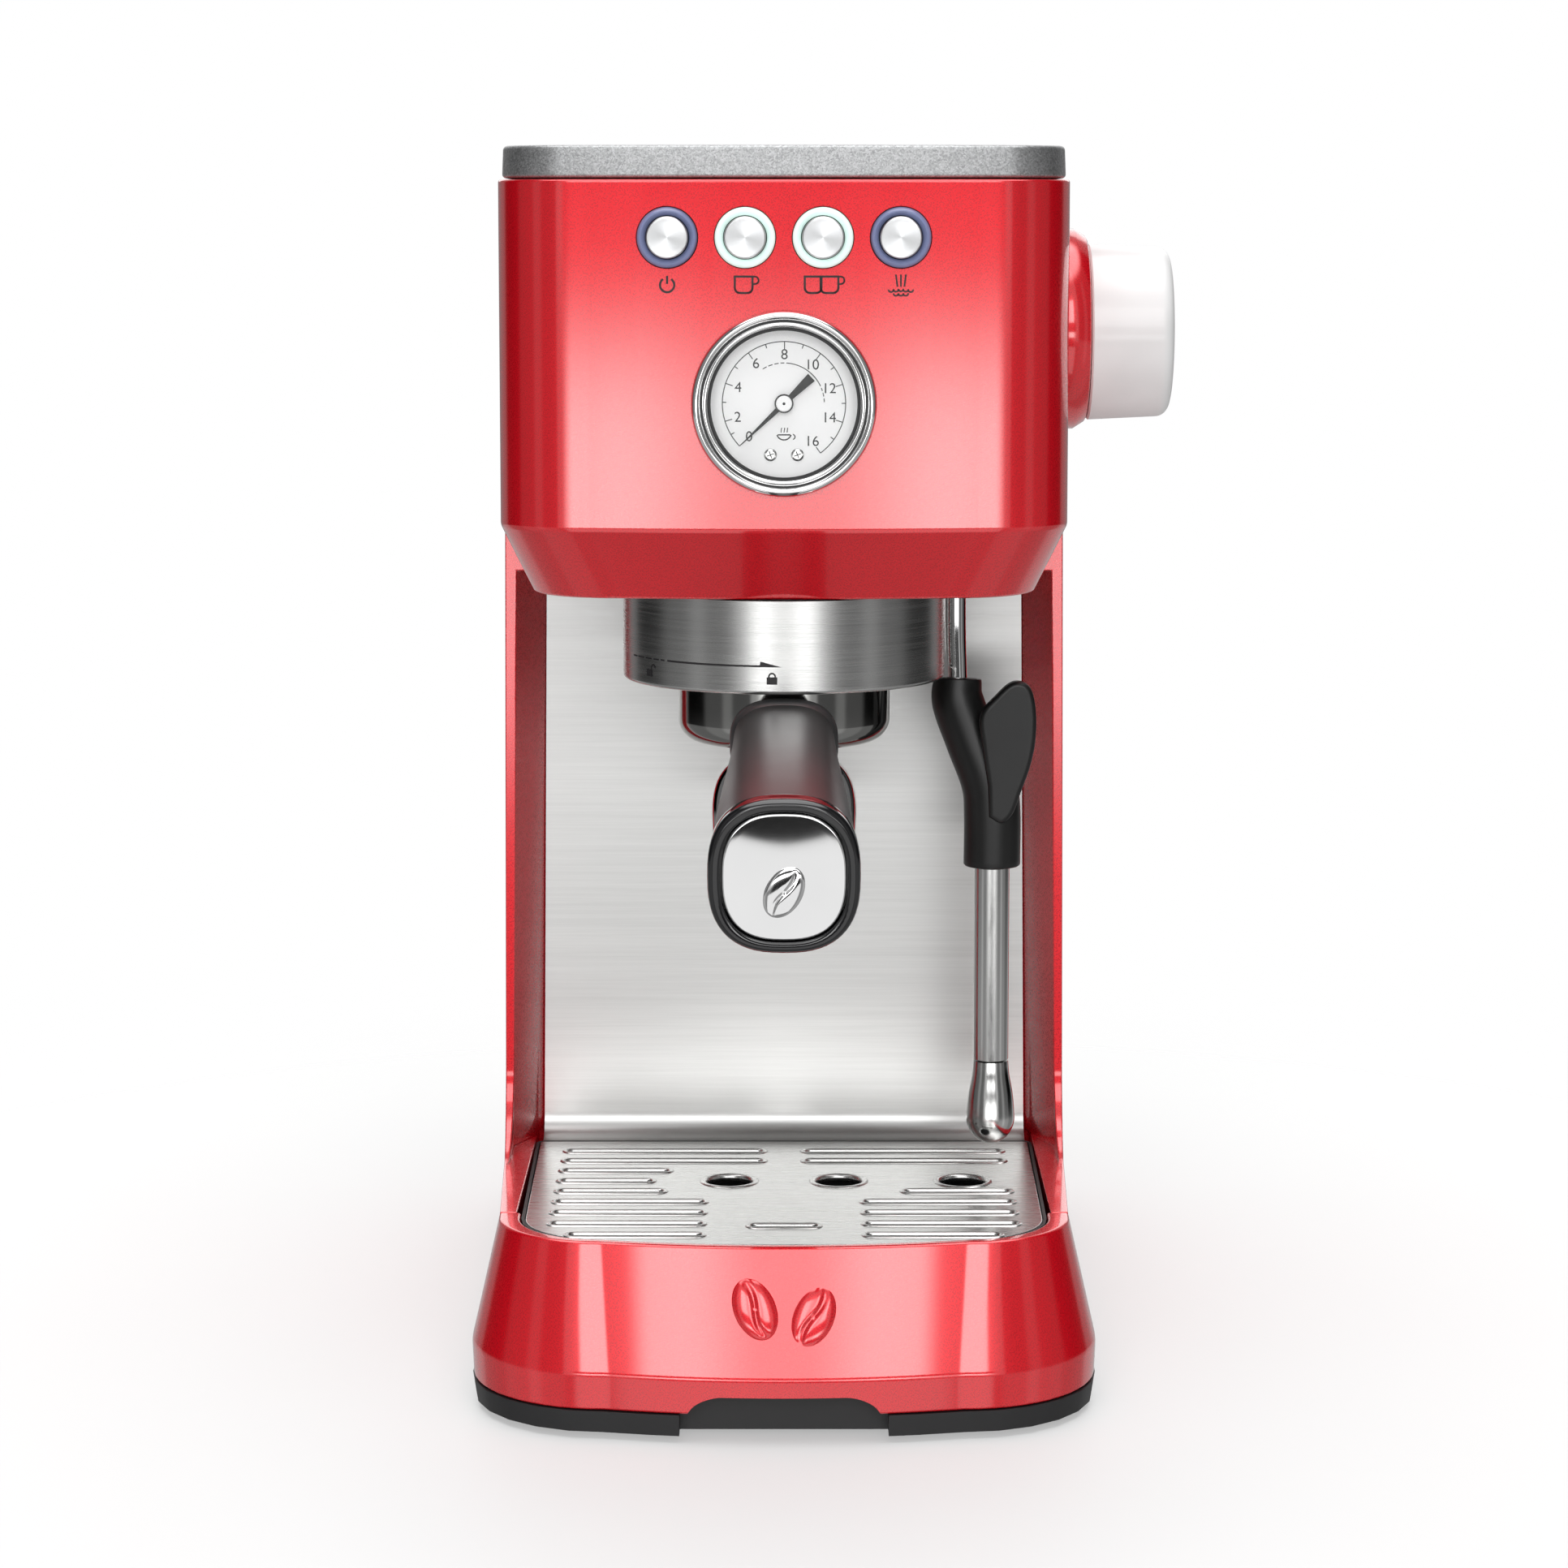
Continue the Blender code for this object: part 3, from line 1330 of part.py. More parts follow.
# ---------------------------------------------------------------- controls


def button_places():
    return [(i - 1.5) * BUTTON_PITCH for i in range(4)]


def build_buttons():
    z = BODY_TOP - BUTTON_DROP
    names = ("program", "single", "double", "steam")
    for name, x in zip(names, button_places()):
        face = head_face_y(x)
        ring = [
            (BUTTON_RADIUS + GAP, face - 0.2 * MM),
            (BUTTON_RADIUS + 1.2 * MM, face - 1 * MM),
            (BUTTON_RING_RADIUS - 0.6 * MM, face - 0.8 * MM),
            (BUTTON_RING_RADIUS, face),
            (BUTTON_RING_RADIUS, face + 3 * MM),
            (BUTTON_RADIUS + GAP, face + 3 * MM),
        ]
        lathe(f"ring_{name}", ring, "light_ring", (x, 0, z), "Y", steps=SMALL_STEPS)
        cap = [
            (0, face - BUTTON_PROUD),
            (BUTTON_RADIUS - 0.5 * MM, face - BUTTON_PROUD),
            (BUTTON_RADIUS, face - BUTTON_PROUD + 0.5 * MM),
            (BUTTON_RADIUS, face + BUTTON_DEPTH - BUTTON_PROUD),
            (0, face + BUTTON_DEPTH - BUTTON_PROUD),
        ]
        made = lathe(f"button_{name}", cap, "brushed_steel", (x, 0, z), "Y", steps=SMALL_STEPS)
        pivot(made, (x, face, z))


def build_control_board():
    z = BODY_TOP - BUTTON_DROP
    back = -HEAD_REACH + HEAD_BOW + BUTTON_DEPTH - BUTTON_PROUD + BUTTON_TRAVEL + GAP
    half = 1.5 * BUTTON_PITCH + 8 * MM
    board = box(
        "control_board",
        (-half, back + 3.5 * MM, z - 8 * MM),
        (half, back + 5 * MM, z + 8 * MM),
        "circuit_green",
    )
    switches = [
        box(f"tact_{i}", (x - 3 * MM, back, z - 3 * MM), (x + 3 * MM, back + 4 * MM, z + 3 * MM))
        for i, x in enumerate(button_places())
    ]
    fuse(board, *switches)


def gauge_centre():
    return (0, 0, BODY_TOP - GAUGE_DROP)


def build_gauge():
    centre = gauge_centre()
    face = -HEAD_REACH
    front = face - GAP
    case_radius = GAUGE_RADIUS - 2.5 * MM
    inner = case_radius - 1.5 * MM
    case = [
        (0, face + GAUGE_DEPTH),
        (case_radius, face + GAUGE_DEPTH),
        (case_radius, face),
        (inner, face),
        (inner, face + 5 * MM),
        (0, face + 5 * MM),
    ]
    lathe("gauge_case", case, "black_plastic", centre, "Y")
    view = GAUGE_RADIUS - 5.7 * MM
    bezel = [
        (GAUGE_RADIUS, front),
        (GAUGE_RADIUS, front - 3.2 * MM),
        (GAUGE_RADIUS - 0.8 * MM, front - 4 * MM),
        (GAUGE_RADIUS - 2 * MM, front - 4 * MM),
        (GAUGE_RADIUS - 2.9 * MM, front - 3 * MM),
        (view + 0.8 * MM, front - 3.4 * MM),
        (view, front - 2.6 * MM),
        (view, front - 2.2 * MM),
        (inner, front - 2.2 * MM),
        (inner, front),
    ]
    lathe("gauge_bezel", bezel, "chrome", centre, "Y")
    lens = [(0, front - 1.9 * MM), (inner - GAP, front - 1.9 * MM), (inner - GAP, front - 0.9 * MM)]
    lens.append((0, front - 0.9 * MM))
    lathe("gauge_lens", lens, "clear_glass", centre, "Y")
    dial = [
        (1.2 * MM, face + 2.4 * MM),
        (inner - GAP, face + 2.4 * MM),
        (inner - GAP, face + 3 * MM),
        (1.2 * MM, face + 3 * MM),
    ]
    lathe("gauge_dial", dial, "white_plastic", centre, "Y")
    hub = lathe(
        "gauge_needle",
        [
            (0, face + 0.2 * MM),
            (2.6 * MM, face + 0.2 * MM),
            (2.6 * MM, face + 1.4 * MM),
            (0.8 * MM, face + 1.6 * MM),
            (0.8 * MM, face + 4.6 * MM),
            (0, face + 4.6 * MM),
        ],
        "black_plastic",
        centre,
        "Y",
        steps=16,
    )
    angle = math.radians(GAUGE_ZERO_DEG)
    along = Vector((math.cos(angle), math.sin(angle)))
    aside = Vector((-along.y, along.x))
    tip = view * 0.78
    tail = view * 0.5
    shape = [
        along * tip,
        along * 2 * MM + aside * 1.2 * MM,
        -along * tail + aside * 1.5 * MM,
        -along * tail - aside * 1.5 * MM,
        along * 2 * MM - aside * 1.2 * MM,
    ]
    points = [(p.x + centre[0], p.y + centre[2]) for p in shape]
    blade = prism("needle_blade", points, face + 0.6 * MM, face + 1.1 * MM, "Y")
    fuse(hub, blade)
    pivot(hub, (centre[0], face, centre[2]))


def build_knob():
    z = BODY_TOP - KNOB_DROP
    side = head_side_x(KNOB_Y)
    centre = (0, KNOB_Y, z)
    seat = head_side_x(KNOB_Y + BEZEL_RADIUS) + GAP
    outer = seat + BEZEL_HEIGHT
    lathe(
        "knob_bezel",
        [
            (6 * MM, seat),
            (BEZEL_RADIUS, seat),
            (BEZEL_RADIUS - 0.6 * MM, seat + 1 * MM),
            (KNOB_RADIUS + 0.9 * MM, outer),
            (6 * MM, outer),
        ],
        "red_lacquer",
        (0, KNOB_Y, z + 1 * MM),
        "X",
    )
    low = outer + GAP
    high = low + KNOB_LENGTH
    edge = 3.5 * MM
    profile = [
        (0, low),
        (KNOB_RADIUS, low),
        (KNOB_RADIUS - 1 * MM, high - edge),
        (KNOB_RADIUS - 2 * MM, high - 1 * MM),
        (KNOB_RADIUS - 1 * MM - edge, high),
        (0, high),
    ]
    knob = lathe("steam_knob", profile, "white_plastic", centre, "X", steps=COLLAR_STEPS)
    spindle_hole = rod("knob_bore_cut", 3.3 * MM, 0, low + 14 * MM, centre=centre, axis="X", steps=16)
    cut(knob, spindle_hole)
    pivot(knob, (low, KNOB_Y, z))
    valve_high = side - 14 * MM
    lathe(
        "steam_valve",
        [
            (3.4 * MM, valve_high),
            (8 * MM, valve_high),
            (8 * MM, valve_high - 8 * MM),
            (11 * MM, valve_high - 10 * MM),
            (11 * MM, valve_high - 24 * MM),
            (3.4 * MM, valve_high - 24 * MM),
        ],
        "brass",
        centre,
        "X",
        steps=SMALL_STEPS,
    )
    spindle = rod("knob_spindle", 3 * MM, valve_high - 20 * MM, low + 13 * MM, "brass", centre, "X", 16)
    pivot(spindle, (low, KNOB_Y, z))


def build_switch():
    z = rear_fittings_z()
    half_x, half_z = SWITCH_SIZE[0] / 2 - GAP, SWITCH_SIZE[1] / 2 - GAP
    frame = box(
        "switch_frame",
        (SWITCH_X - half_x, REAR_Y - WALL - 10 * MM, z - half_z),
        (SWITCH_X + half_x, REAR_Y - 0.5 * MM, z + half_z),
    )
    well = box(
        "switch_well_cut",
        (SWITCH_X - half_x + 1.5 * MM, REAR_Y - WALL - 6 * MM, z - half_z + 1.5 * MM),
        (SWITCH_X + half_x - 1.5 * MM, FAR, z + half_z - 1.5 * MM),
    )
    cut(frame, well)
    reach = half_x - 2.6 * MM
    pivot_y = REAR_Y - 5.5 * MM
    points = [
        (SWITCH_X - reach, pivot_y - 0.5 * MM),
        (SWITCH_X - reach, pivot_y + 2.6 * MM),
        (SWITCH_X, pivot_y + 3.6 * MM),
        (SWITCH_X + reach, pivot_y + 4.6 * MM),
        (SWITCH_X + reach, pivot_y + 0.5 * MM),
        (SWITCH_X, pivot_y - 1.2 * MM),
    ]
    half = half_z - 2 * MM
    rocker = prism("power_rocker", points, z - half, z + half, "Z", "black_plastic")
    pivot(rocker, (SWITCH_X, pivot_y, z))
    gland = [
        (CORD_RADIUS, REAR_Y - 12 * MM),
        (GLAND_RADIUS - GAP, REAR_Y - 12 * MM),
        (GLAND_RADIUS - GAP, REAR_Y + GAP),
        (8.5 * MM, REAR_Y + GAP),
        (8.5 * MM, REAR_Y + 2.2 * MM),
        (CORD_RADIUS, REAR_Y + 2.2 * MM),
    ]
    lathe("cord_gland", gland, "black_plastic", (-SWITCH_X, 0, z), "Y", steps=SMALL_STEPS)


# ---------------------------------------------------------------- inside the casing


def build_inside():
    boiler_low = CASTING_TOP + GAP
    boiler_y = (GROUP_Y - 22 * MM, GROUP_Y + 40 * MM)
    boiler = box(
        "thermoblock",
        (-BOILER_HALF, boiler_y[0], boiler_low),
        (BOILER_HALF, boiler_y[1], boiler_low + BOILER_HEIGHT),
        "aluminium",
    )
    valve_z = boiler_low + BOILER_HEIGHT
    solenoid = box(
        "solenoid_valve",
        (-14 * MM, GROUP_Y + 4 * MM, valve_z - 1 * MM),
        (14 * MM, GROUP_Y + 34 * MM, valve_z + 16 * MM),
    )
    fuse(boiler, solenoid)
    pump = lathe(
        "pump",
        [
            (0, PUMP_LOW),
            (9 * MM, PUMP_LOW),
            (9 * MM, PUMP_LOW + 12 * MM),
            (PUMP_RADIUS, PUMP_LOW + 12 * MM),
            (PUMP_RADIUS, PUMP_LOW + PUMP_LENGTH - 20 * MM),
            (10 * MM, PUMP_LOW + PUMP_LENGTH - 18 * MM),
            (6 * MM, PUMP_LOW + PUMP_LENGTH),
            (0, PUMP_LOW + PUMP_LENGTH),
        ],
        "black_plastic",
        (PUMP_X, PUMP_Y, 0),
        steps=SMALL_STEPS,
    )
    bracket_low = FOOT_HEIGHT + PLATE_FLOOR + GAP
    bracket = box(
        "pump_bracket",
        (PUMP_X - 16 * MM, PUMP_Y - 16 * MM, bracket_low),
        (PUMP_X + 16 * MM, PUMP_Y + 16 * MM, PUMP_LOW + 1 * MM),
    )
    hollow = box(
        "bracket_cut",
        (PUMP_X - 14.5 * MM, PUMP_Y - FAR, bracket_low + 1.5 * MM),
        (PUMP_X + 14.5 * MM, PUMP_Y + FAR, PUMP_LOW - 1.2 * MM),
    )
    cut(bracket, hollow)
    fuse(pump, bracket)
    z = boiler_low + BOILER_HEIGHT - 14 * MM
    hose(
        "inlet_hose",
        [
            (0, inlet_y(), BASE_HEIGHT - WALL - 4 * MM),
            (2 * MM, inlet_y() - 8 * MM, BASE_HEIGHT - 22 * MM),
            (PUMP_X - 24 * MM, PUMP_Y + 30 * MM, BASE_HEIGHT - 30 * MM),
            (PUMP_X - 20 * MM, PUMP_Y + 4 * MM, BASE_HEIGHT - 28 * MM),
        ],
        3 * MM,
        "silicone",
    )
    hose(
        "pressure_hose",
        [
            (PUMP_X, PUMP_Y, PUMP_LOW + PUMP_LENGTH + GAP),
            (PUMP_X, PUMP_Y, PUMP_LOW + PUMP_LENGTH + 30 * MM),
            (PUMP_X - 8 * MM, PUMP_Y, z - 30 * MM),
            (PUMP_X - 20 * MM, PUMP_Y - 22 * MM, z),
            (PUMP_X - 20 * MM, boiler_y[1] + 3 * GAP, z),
        ],
        2.5 * MM,
        "silicone",
    )
    steam_start = boiler_low + BOILER_HEIGHT - 20 * MM
    hose(
        "steam_pipe",
        [
            (WAND_X, WAND_Y, BALL_Z + 12.5 * MM),
            (WAND_X, WAND_Y, BALL_Z + 26 * MM),
            (WAND_X - 3 * MM, WAND_Y + 2 * MM, steam_start - 8 * MM),
            (BOILER_HALF + 6 * MM, WAND_Y + 2 * MM, steam_start),
            (BOILER_HALF + 3 * GAP, WAND_Y + 2 * MM, steam_start),
        ],
        2.2 * MM,
        "brushed_steel",
    )


# ---------------------------------------------------------------- the whole machine


def clear_scene():
    for made in list(bpy.data.objects):
        bpy.data.objects.remove(made)


def stand_on_origin(machine):
    """Moves the machine so that the centre of its footprint is the world origin. The hoses, which
    are curves, all lie inside the casing."""
    bpy.context.view_layer.update()
    graph = bpy.context.evaluated_depsgraph_get()
    corners = []
    for made in bpy.data.objects:
        if made.type == "MESH" and not made.hide_render:
            seen = made.evaluated_get(graph)
            corners += [seen.matrix_world @ Vector(corner) for corner in seen.bound_box]
    for axis in range(2):
        side = [corner[axis] for corner in corners]
        machine.location[axis] = -(min(side) + max(side)) / 2


def main():
    clear_scene()
    machine = bpy.data.objects.new("machine", None)
    bpy.context.scene.collection.objects.link(machine)
    build_base_plate()
    build_feet()
    build_body_shell()
    build_head_shell()
    build_head_floor()
    build_back_panel()
    build_top()
    build_tank()
    build_tray_front()
    build_drip_tray()
    build_grille()
    build_group()
    build_portafilter()
    build_wand()
    build_buttons()
    build_control_board()
    build_gauge()
    build_knob()
    build_switch()
    build_inside()
    stand_on_origin(machine)


main()
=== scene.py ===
"""The visible surfaces of a compact espresso machine, built around its CAD frame.

Everything is in metres. Each piece is drawn around the machine's own middle plane (x = 0) and
the front of its splash panel (y = 0), and is moved to its place in the frame when it is
published.
"""

import math

import bmesh
import bpy
from bpy.props import FloatProperty, FloatVectorProperty, IntProperty, PointerProperty
from mathutils import Matrix, Vector


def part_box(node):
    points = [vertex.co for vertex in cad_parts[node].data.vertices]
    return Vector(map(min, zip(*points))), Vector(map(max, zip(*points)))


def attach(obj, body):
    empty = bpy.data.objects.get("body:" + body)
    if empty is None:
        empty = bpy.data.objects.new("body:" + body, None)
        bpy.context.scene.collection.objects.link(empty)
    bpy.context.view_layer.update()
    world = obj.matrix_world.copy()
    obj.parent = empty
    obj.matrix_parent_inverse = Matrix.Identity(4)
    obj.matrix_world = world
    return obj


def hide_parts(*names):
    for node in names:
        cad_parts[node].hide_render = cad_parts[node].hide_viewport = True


bl_info = {
    "name": "Espresso machine",
    "version": (1, 0, 0),
    "blender": (4, 5, 0),
    "location": "3D View > Sidebar > Espresso",
    "description": "Builds the visible surfaces of an espresso machine around its CAD frame",
    "category": "Add Mesh",
}

MM = 0.001
PANEL_THICKNESS = 1.2 * MM
PANEL_GAP = 0.3 * MM

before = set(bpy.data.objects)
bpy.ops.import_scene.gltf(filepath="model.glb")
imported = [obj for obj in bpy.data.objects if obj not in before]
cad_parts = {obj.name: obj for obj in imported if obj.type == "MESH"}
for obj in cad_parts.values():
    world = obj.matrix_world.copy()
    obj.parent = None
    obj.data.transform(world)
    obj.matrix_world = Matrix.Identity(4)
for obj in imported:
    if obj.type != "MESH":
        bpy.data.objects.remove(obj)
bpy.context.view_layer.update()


def machine_origin():
    """Where the middle plane, the splash panel's face and the floor meet in the frame."""
    lowest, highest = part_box("back_panel")
    panel_front = highest.y - PANEL_THICKNESS - PANEL_GAP
    return Vector(((lowest.x + highest.x) / 2, panel_front, 0))


ORIGIN = machine_origin()


def low(node):
    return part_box(node)[0] - ORIGIN


def high(node):
    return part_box(node)[1] - ORIGIN


def middle(node):
    return (low(node) + high(node)) / 2


# Heights and depths that the CAD gives
HEAD_TOP = high("head_shell").z
HEAD_FOOT = low("head_shell").z
HEAD_FRONT = -low("head_shell").y
HEAD_REAR = high("head_shell").y
BODY_HALF = high("water_tank").x
BASE_HALF = high("body_shell").x
BASE_FRONT = -low("tray_front").y
BASE_TOP = high("tray_front").z
SHELL_FOOT = low("tray_front").z
TRAY_SEAM = high("tray_front").y
COLLAR = middle("group_collar")
COLLAR_AXIS = (COLLAR.x, COLLAR.y, 0)
COLLAR_RADIUS = (high("group_collar").x - low("group_collar").x) / 2
CUP_FOOT = low("portafilter_cup").z
CUP_RIM = high("portafilter_cup").z
CUP_RADIUS = high("group_gasket").x - 2 * MM
GAUGE = middle("gauge_bezel")
GAUGE_AXIS = (GAUGE.x, 0, GAUGE.z)
GAUGE_RADIUS = (high("gauge_bezel").x - low("gauge_bezel").x) / 2
KNOB = middle("steam_knob")
SLEEVE = middle("wand_sleeve")
BUTTONS = ("program", "single", "double", "steam")

# The grille's openings: slots under the spout, and round drains in a row across them
SLOT_HALF = 2.2 * MM
SLOT_STARTS = (6, 6, 36, 41, 37, 24, 24, 24, 24)  # mm from the middle, from the back row on
DRAIN_RADIUS = 8.4 * MM
DRAIN_SIDE = 17.3 * MM
DRAINS = (-DRAIN_SIDE, DRAIN_SIDE, middle("wand_socket").x + 2 * MM)

# Sizes that several pieces share
ROLL_FACETS = 10
HOLE_FROM, HOLE_TO = -0.2, -0.08  # from in front of the head's face to well behind it
PIPE_RADIUS = 3.2 * MM
BALL_RADIUS = 8 * MM
GRIP_RADIUS = 9 * MM

# How brightly a light ring glows, and which rings are lit. An idle ring is off, so its faint glow
# is painted light
RING_GLOW = {"idle": 0.12, "lit": 0.45}
RINGS = dict(zip(BUTTONS, ("idle", "lit", "lit", "idle")))


# ---------------------------------------------------------------- sizes and colours


def length(name, description, default):
    return FloatProperty(
        name=name, description=description, default=default, unit="LENGTH", precision=5
    )


def colour(name, description, default):
    return FloatVectorProperty(
        name=name, description=description, default=default, size=3, subtype="COLOR", min=0, max=1
    )


class HousingSizes(bpy.types.PropertyGroup):
    front_taper: length("Front taper", "How much narrower the head is on each side", 4.2 * MM)
    chamfer_height: length("Chamfer height", "Height of the sloped foot of the head", 21.5 * MM)
    chamfer_side: length("Chamfer side", "How far the sides slope in at the foot", 9.3 * MM)
    chamfer_front: length("Chamfer front", "How far the front slopes in at the foot", 12 * MM)
    head_corner: length("Head corner", "Radius of the head's front corners", 26 * MM)
    head_bow: length("Head bow", "How far the middle of the head stands forward", 4 * MM)
    wall: length("Wall", "Thickness of the painted shells", 3 * MM)
    base_corner: length("Base corner", "Radius of the base's front corners at the crease", 42 * MM)
    base_top_corner: length("Base top corner", "Radius of the base's corners on top", 31 * MM)
    base_bow: length("Base bow", "How far the middle of the base stands forward", 6 * MM)
    base_setback: length("Base setback", "How far the base leans back at its top", 11 * MM)
    base_band: length("Base band", "Height of the upright band at the foot of the base", 11 * MM)
    column_flare: length("Column flare", "How much the columns widen at the base", 2.2 * MM)
    edge: length("Edge", "Rounding of the painted edges", 0.9 * MM)
    notch_half: length("Notch half width", "Half the width of the finger notch", 27 * MM)
    notch_rise: length("Notch rise", "Height of the finger notch in the red shell", 5.5 * MM)


class GroupSizes(bpy.types.PropertyGroup):
    handle_width: length("Handle width", "Half width of the handle at its end", 20.5 * MM)
    handle_height: length("Handle height", "Half height of the handle at its end", 21.4 * MM)
    neck_width: length("Neck width", "Half width of the handle at the cup", 15.8 * MM)
    neck_height: length("Neck height", "Half height of the handle at the cup", 13 * MM)
    handle_drop: length("Handle drop", "How far the end of the handle lies below its neck", 18 * MM)
    cap_inset: length("Cap inset", "Width of the rim round the bright end cap", 3.4 * MM)
    spout_tube: length("Spout tube", "Outer radius of each spout", 5.9 * MM)
    collar_edge: length("Collar edge", "Rounding of the collar's lower edge", 1.2 * MM)


class ControlSizes(bpy.types.PropertyGroup):
    cap_radius: length("Button radius", "Radius of a button", 6.2 * MM)
    ring_radius: length("Ring radius", "Radius of a button's light ring", 8.9 * MM)
    scale_radius: length("Scale radius", "Radius of the gauge's scale", 18.2 * MM)
    figure_height: length("Figure height", "Height of the numbers on the dial", 3.1 * MM)
    line: length("Line", "Width of the printed lines", 0.5 * MM)
    mark_drop: length("Mark drop", "How far the marks lie below the buttons", 13.8 * MM)
    turns: IntProperty(
        name="Turn steps", description="Facets round a turned piece", default=96, min=24, max=192
    )


class MachineColours(bpy.types.PropertyGroup):
    lacquer: colour("Lacquer", "The painted housing", (0.84, 0.0045, 0.016))
    lid: colour("Lid", "The speckled frame of the lid", (0.41, 0.415, 0.42))
    steel: colour("Steel", "Brushed sheet steel", (0.71, 0.71, 0.70))
    dark_chrome: colour("Dark chrome", "The portafilter's cup", (0.36, 0.36, 0.35))
    handle: colour("Handle", "The satin handle", (0.036, 0.036, 0.037))
    grip: colour("Grip", "The steam wand's grip", (0.006, 0.006, 0.006))
    knob: colour("Knob", "The steam knob", (0.86, 0.86, 0.855))
    ring_idle: colour("Idle ring", "A light ring that is off", (0.22, 0.25, 0.43))
    ring_lit: colour("Lit ring", "A light ring that is on", (0.74, 0.96, 0.87))
    ink: colour("Ink", "The printed marks", (0.018, 0.016, 0.018))
    floor: colour("Floor", "The studio floor", (0.9, 0.9, 0.9))


def housing():
    return bpy.context.scene.espresso_housing


def group():
    return bpy.context.scene.espresso_group


def controls():
    return bpy.context.scene.espresso_controls


def colours():
    return bpy.context.scene.espresso_colours


# ---------------------------------------------------------------- shader maths


class Signal:
    """A shader value that Python's arithmetic works on."""

    def __init__(self, finish, socket):
        self.finish = finish
        self.socket = socket

    def __add__(self, other):
        return self.finish.maths("ADD", self, other)

    def __radd__(self, other):
        return self.finish.maths("ADD", other, self)

    def __sub__(self, other):
        return self.finish.maths("SUBTRACT", self, other)

    def __rsub__(self, other):
        return self.finish.maths("SUBTRACT", other, self)

    def __mul__(self, other):
        return self.finish.maths("MULTIPLY", self, other)

    def __rmul__(self, other):
        return self.finish.maths("MULTIPLY", other, self)


class Nodes:
    """A node tree that is being put together."""

    def __init__(self, tree):
        self.tree = tree

    def node(self, kind, settings=None, sockets=None, output=0):
        made = self.tree.nodes.new("ShaderNode" + kind)
        for key, value in (settings or {}).items():
            setattr(made, key, value)
        for key, value in (sockets or {}).items():
            if isinstance(value, Signal):
                self.tree.links.new(value.socket, made.inputs[key])
            else:
                made.inputs[key].default_value = value
        return Signal(self, made.outputs[output])

    def maths(self, operation, first, second=0.0):
        return self.node("Math", {"operation": operation}, {0: first, 1: second})

    def smooth(self, value, start, end):
        """0 below start, 1 above end, and eased between them."""
        settings = {"interpolation_type": "SMOOTHSTEP", "clamp": True}
        sockets = {0: value, 1: start, 2: end, 3: 0.0, 4: 1.0}
        return self.node("MapRange", settings, sockets)

    def band(self, value, start, end, soft):
        rise = self.smooth(value, start - soft, start + soft)
        return rise - self.smooth(value, end - soft, end + soft)

    def blend(self, factor, first, second):
        """One colour into another."""
        settings = {"data_type": "RGBA"}
        return self.node("Mix", settings, {0: factor, 6: first, 7: second}, output=2)

    def split(self, vector):
        parts = self.tree.nodes.new("ShaderNodeSeparateXYZ")
        self.tree.links.new(vector.socket, parts.inputs[0])
        return [Signal(self, output) for output in parts.outputs]


class Finish(Nodes):
    """A surface finish, with its pattern in the piece's own metres."""

    def __init__(self, name, base, roughness, metallic=0.0, **constants):
        self.material = bpy.data.materials.new(name)
        self.material.use_nodes = True
        super().__init__(self.material.node_tree)
        self.surface = self.tree.nodes["Principled BSDF"]
        self.base = (*base, 1)
        self.set("Base Color", self.base)
        self.set("Roughness", roughness)
        self.set("Metallic", metallic)
        for key, value in constants.items():
            self.set(key.replace("_", " ").title().replace("Ior", "IOR"), value)
        self.place = self.node("TexCoord", output="Object")

    def set(self, socket, value):
        if isinstance(value, Signal):
            self.tree.links.new(value.socket, self.surface.inputs[socket])
        else:
            self.surface.inputs[socket].default_value = value

    def stretched(self, scale):
        """The piece's coordinates, scaled differently along each axis."""
        return self.node("VectorMath", {"operation": "MULTIPLY"}, {0: self.place, 1: scale})

    def noise(self, scale, detail, rough=0.5):
        vector = self.stretched(scale)
        sockets = {"Vector": vector, "Scale": 1.0, "Detail": detail, "Roughness": rough}
        return self.node("TexNoise", None, sockets)

    def grains(self, size):
        """A random value for each cell of about this size."""
        sockets = {"Vector": self.stretched((1 / size,) * 3), "Scale": 1.0}
        return self.split(self.node("TexVoronoi", None, sockets, output="Color"))[0]

    def relief(self, height, depth, strength):
        """Raises the surface by a height of 0 to 1 times a depth in metres."""
        sockets = {"Strength": strength, "Distance": depth, "Height": height}
        self.set("Normal", self.node("Bump", None, sockets))

    def shade(self, amount, dark, light):
        """Base colour between two brightnesses of the finish's own colour."""
        first = tuple(min(1, c * dark) for c in self.base[:3]) + (1,)
        second = tuple(min(1, c * light) for c in self.base[:3]) + (1,)
        self.set("Base Color", self.blend(amount, first, second))


def away_from(finish, centre, first, second):
    """Distance from an axis, from two of the three coordinates."""
    away = finish.node("VectorMath", {"operation": "SUBTRACT"}, {0: finish.place, 1: centre})
    parts = finish.split(away)
    return finish.maths("SQRT", parts[first] * parts[first] + parts[second] * parts[second])


def world_place(point):
    return tuple(Vector(point) + ORIGIN)


# ---------------------------------------------------------------- finishes


def candy(name):
    """Candy lacquer, fine metal flakes under a deep clear coat, and its flakes."""
    coat = {"coat_weight": 1.0, "coat_roughness": 0.07, "coat_ior": 1.75}
    made = Finish(name, colours().lacquer, 0.3, 0.35, **coat)
    flakes = made.grains(0.35 * MM)
    clouds = made.noise((40, 40, 40), 2)
    made.shade(flakes * 0.5 + clouds * 0.5, 0.9, 1.1)
    made.set("Roughness", 0.26 + flakes * 0.05)
    return made, flakes


def lacquer():
    """The lacquer with a faint orange peel."""
    made, flakes = candy("red_lacquer")
    peel = made.noise((520, 520, 520), 2)
    made.relief(peel + flakes * 0.1, 0.016 * MM, 0.8)
    return made.material


